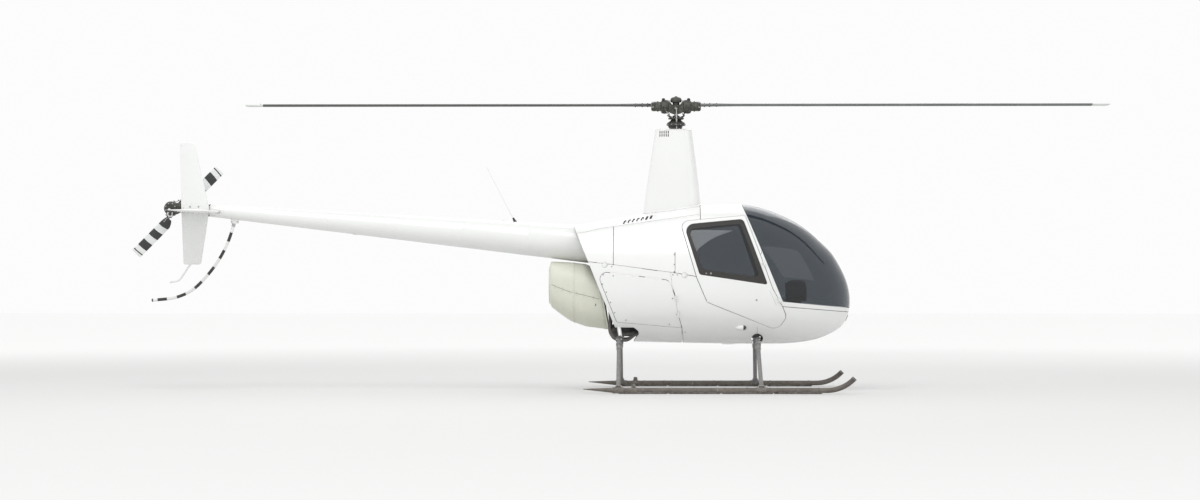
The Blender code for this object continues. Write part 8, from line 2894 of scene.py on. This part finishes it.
@dataclass
class Lamps:
    """The landing lamp in the nose and the navigation lamps on the flanks."""

    nose_at: tuple[float, float, float] = (1.4610, 0.0, 0.6610)
    nose_axis: Vector = field(default_factory=lambda: Vector((0.919, 0.0, -0.394)))
    nose_size: float = 0.74

    def build(self) -> None:
        """Makes the three lamps."""
        nose = Sketch()
        shell = [(0, 0.0445), (0.062, 0.0418), (0.074, 0.0405), (0.0785, 0.0385), (0.0790, 0.0360),
                 (0.072, 0.0350), (0.052, 0.0130), (0.050, 0.0)]
        reflector = [(0.0515, 0.012), (0.0718, 0.0345)]
        # The bulb takes the lens finish, with its faint painted glow.
        bulb = [(0.050, 0.0075), (0.060, 0.0075), (0.0640, 0.0045), (0.0645, 0.0)]
        glass = [(0.0722, 0.0352), (0.0745, 0.0350), (0.0768, 0.024), (0.0776, 0.010), (0.0778, 0.0)]
        for index, profile in enumerate((shell, reflector, bulb, glass)):
            shape = [(along * self.nose_size, radius * self.nose_size) for along, radius in profile]
            nose.turned(shape, self.nose_at, self.nose_axis, 40, index)
        nose.build("landing_lamp", Ride.AIRFRAME, (BLACK, CHROME, GLOWING_LENS, DARK_LENS), ("nose_light",))
        for side in SIDES:
            word = side_word(side)
            sketch = Sketch()
            centre = Vector((0.560, side * 0.4705, 0.5605))
            body = [(-0.0520, 0.0012), (-0.040, 0.0100), (-0.022, 0.0180), (0.000, 0.0235), (0.016, 0.0256),
                    (0.022, 0.0258), (0.0235, 0.0250)]
            sketch.turned(body, centre, Axis.X, 32, 0)
            sketch.turned([(0.0225, 0.0240), (0.0250, 0.0242), (0.0262, 0.0232)], centre, Axis.X, 32, 1)
            glass = [(0.0255 + 0.026 * math.sin(a), 0.0228 * math.cos(a))
                     for a in np.linspace(0, math.pi / 2, 10)]
            sketch.turned(glass, centre, Axis.X, 32, 2)
            base = BODY.at(0.555, 0.5600, side)
            oval = [(-0.006, 0.030), (0.0015, 0.030), (0.0024, 0.027)]
            sketch.turned(oval, base[0], base[1], 30, 0)
            sketch.build(f"{word}_navigation_lamp", Ride.AIRFRAME, (WHITE, CHROME, DARK_LENS),
                         (f"{word}_nav_light",))


@dataclass
class Studio:
    """The pale floor, the soft lights and the camera."""

    camera_at: tuple[float, float, float] = (-0.098, -28.0, 0.994)
    aim: tuple[float, float, float] = (-0.676, 0.0, 1.243)
    lens: float = 94.5
    # Near the machine the floor is painted darker, as painted shade under it; further off it turns lighter.
    near_floor_painted_shade: Colour = (0.66, 0.66, 0.655)
    far_colour: Colour = (0.97, 0.97, 0.965)
    floor_reach: tuple[float, float] = (6.0, 19.0)
    floor_half: float = 60.0
    sky: float = 0.977
    lamps: tuple[tuple[str, Point, float, float], ...] = (
        ("key", (-3.0, -6.5, 10.0), 7.0, 420.0), ("fill", (7.0, -7.0, 6.0), 6.0, 60.0),
        ("back", (1.0, 9.0, 8.0), 7.0, 150.0),
    )

    def build(self) -> None:
        """Makes the scene round the machine."""
        self.floor()
        self.lights()
        self.camera()

    def floor(self) -> None:
        """Makes a pale floor, painted darker round the machine as shade under it, which also keeps the light
        thrown up onto the belly low; it grows lighter far off, where it meets the white sky.
        """
        material = bpy.data.materials.new("pale_floor")
        material.use_nodes = True
        shader = material.node_tree.nodes["Principled BSDF"]
        nodes, links = material.node_tree.nodes, material.node_tree.links
        place = nodes.new("ShaderNodeTexCoord")
        distance = nodes.new("ShaderNodeVectorMath")
        distance.operation = "LENGTH"
        share = nodes.new("ShaderNodeMapRange")
        share.interpolation_type = "SMOOTHSTEP"
        share.inputs["From Min"].default_value, share.inputs["From Max"].default_value = self.floor_reach
        blend = nodes.new("ShaderNodeMix")
        blend.data_type = "RGBA"
        blend.inputs["A"].default_value = (*self.near_floor_painted_shade, 1.0)
        blend.inputs["B"].default_value = (*self.far_colour, 1.0)
        links.new(place.outputs["Object"], distance.inputs[0])
        links.new(distance.outputs["Value"], share.inputs["Value"])
        links.new(share.outputs["Result"], blend.inputs["Factor"])
        links.new(blend.outputs["Result"], shader.inputs["Base Color"])
        shader.inputs["Roughness"].default_value = 0.97
        mesh = bpy.data.meshes.new("floor")
        half = self.floor_half
        corners = [(x * half, y * half, -0.001) for x, y in ((-1, -1), (1, -1), (1, 1), (-1, 1))]
        mesh.from_pydata(corners, [], [(0, 1, 2, 3)])
        mesh.materials.append(material)
        floor = bpy.data.objects.new("floor", mesh)
        bpy.context.scene.collection.objects.link(floor)

    def lights(self) -> None:
        """Makes an even white sky and three broad soft lamps."""
        world = bpy.data.worlds.new("studio")
        world.use_nodes = True
        sky = world.node_tree.nodes["Background"].inputs
        sky["Color"].default_value = (1.0, 1.0, 1.0, 1.0)
        sky["Strength"].default_value = self.sky
        bpy.context.scene.world = world
        bpy.context.scene.view_settings.view_transform = "Standard"
        for name, place, size, power in self.lamps:
            data = bpy.data.lights.new(name, "AREA")
            data.shape = "SQUARE"
            data.size = size
            data.energy = power
            lamp = bpy.data.objects.new(name, data)
            self.aim_at(lamp, place, (0.0, 0.0, 1.2))

    def camera(self) -> None:
        """Sets the camera at the photograph's angle."""
        data = bpy.data.cameras.new("camera")
        data.lens = self.lens
        data.sensor_width = 36.0
        data.clip_end = 200.0
        camera = bpy.data.objects.new("camera", data)
        self.aim_at(camera, self.camera_at, self.aim)
        bpy.context.scene.camera = camera

    def aim_at(self, obj: bpy.types.Object, place: Point, target: Point) -> None:
        """Puts a lamp or a camera in the scene, looking at a target."""
        shift = Vector((MAST_X, 0, 0))
        obj.location = Vector(place) + shift
        obj.rotation_euler = (Vector(target) + shift - obj.location).to_track_quat("-Z", "Y").to_euler()
        bpy.context.scene.collection.objects.link(obj)


def main() -> None:
    """Builds the machine's pieces in order, then the studio round it."""
    logging.basicConfig(level=logging.INFO, format="%(name)s: %(message)s")
    builders = (BodyShell(), MastFairing(), Swashplate(), MainRotor(), TailBoom(), TailFins(), TailGuard(),
                TailRotor(), LandingGear(), Engine(), Frame(), Cooling(), CabinShell(), Seats(), Console(),
                Controls(), BodyTrim(), Lamps())
    for builder in builders:
        LOG.info("building %s", type(builder).__name__)
        builder.build()
    Studio().build()


if __name__ == "__main__":
    main()
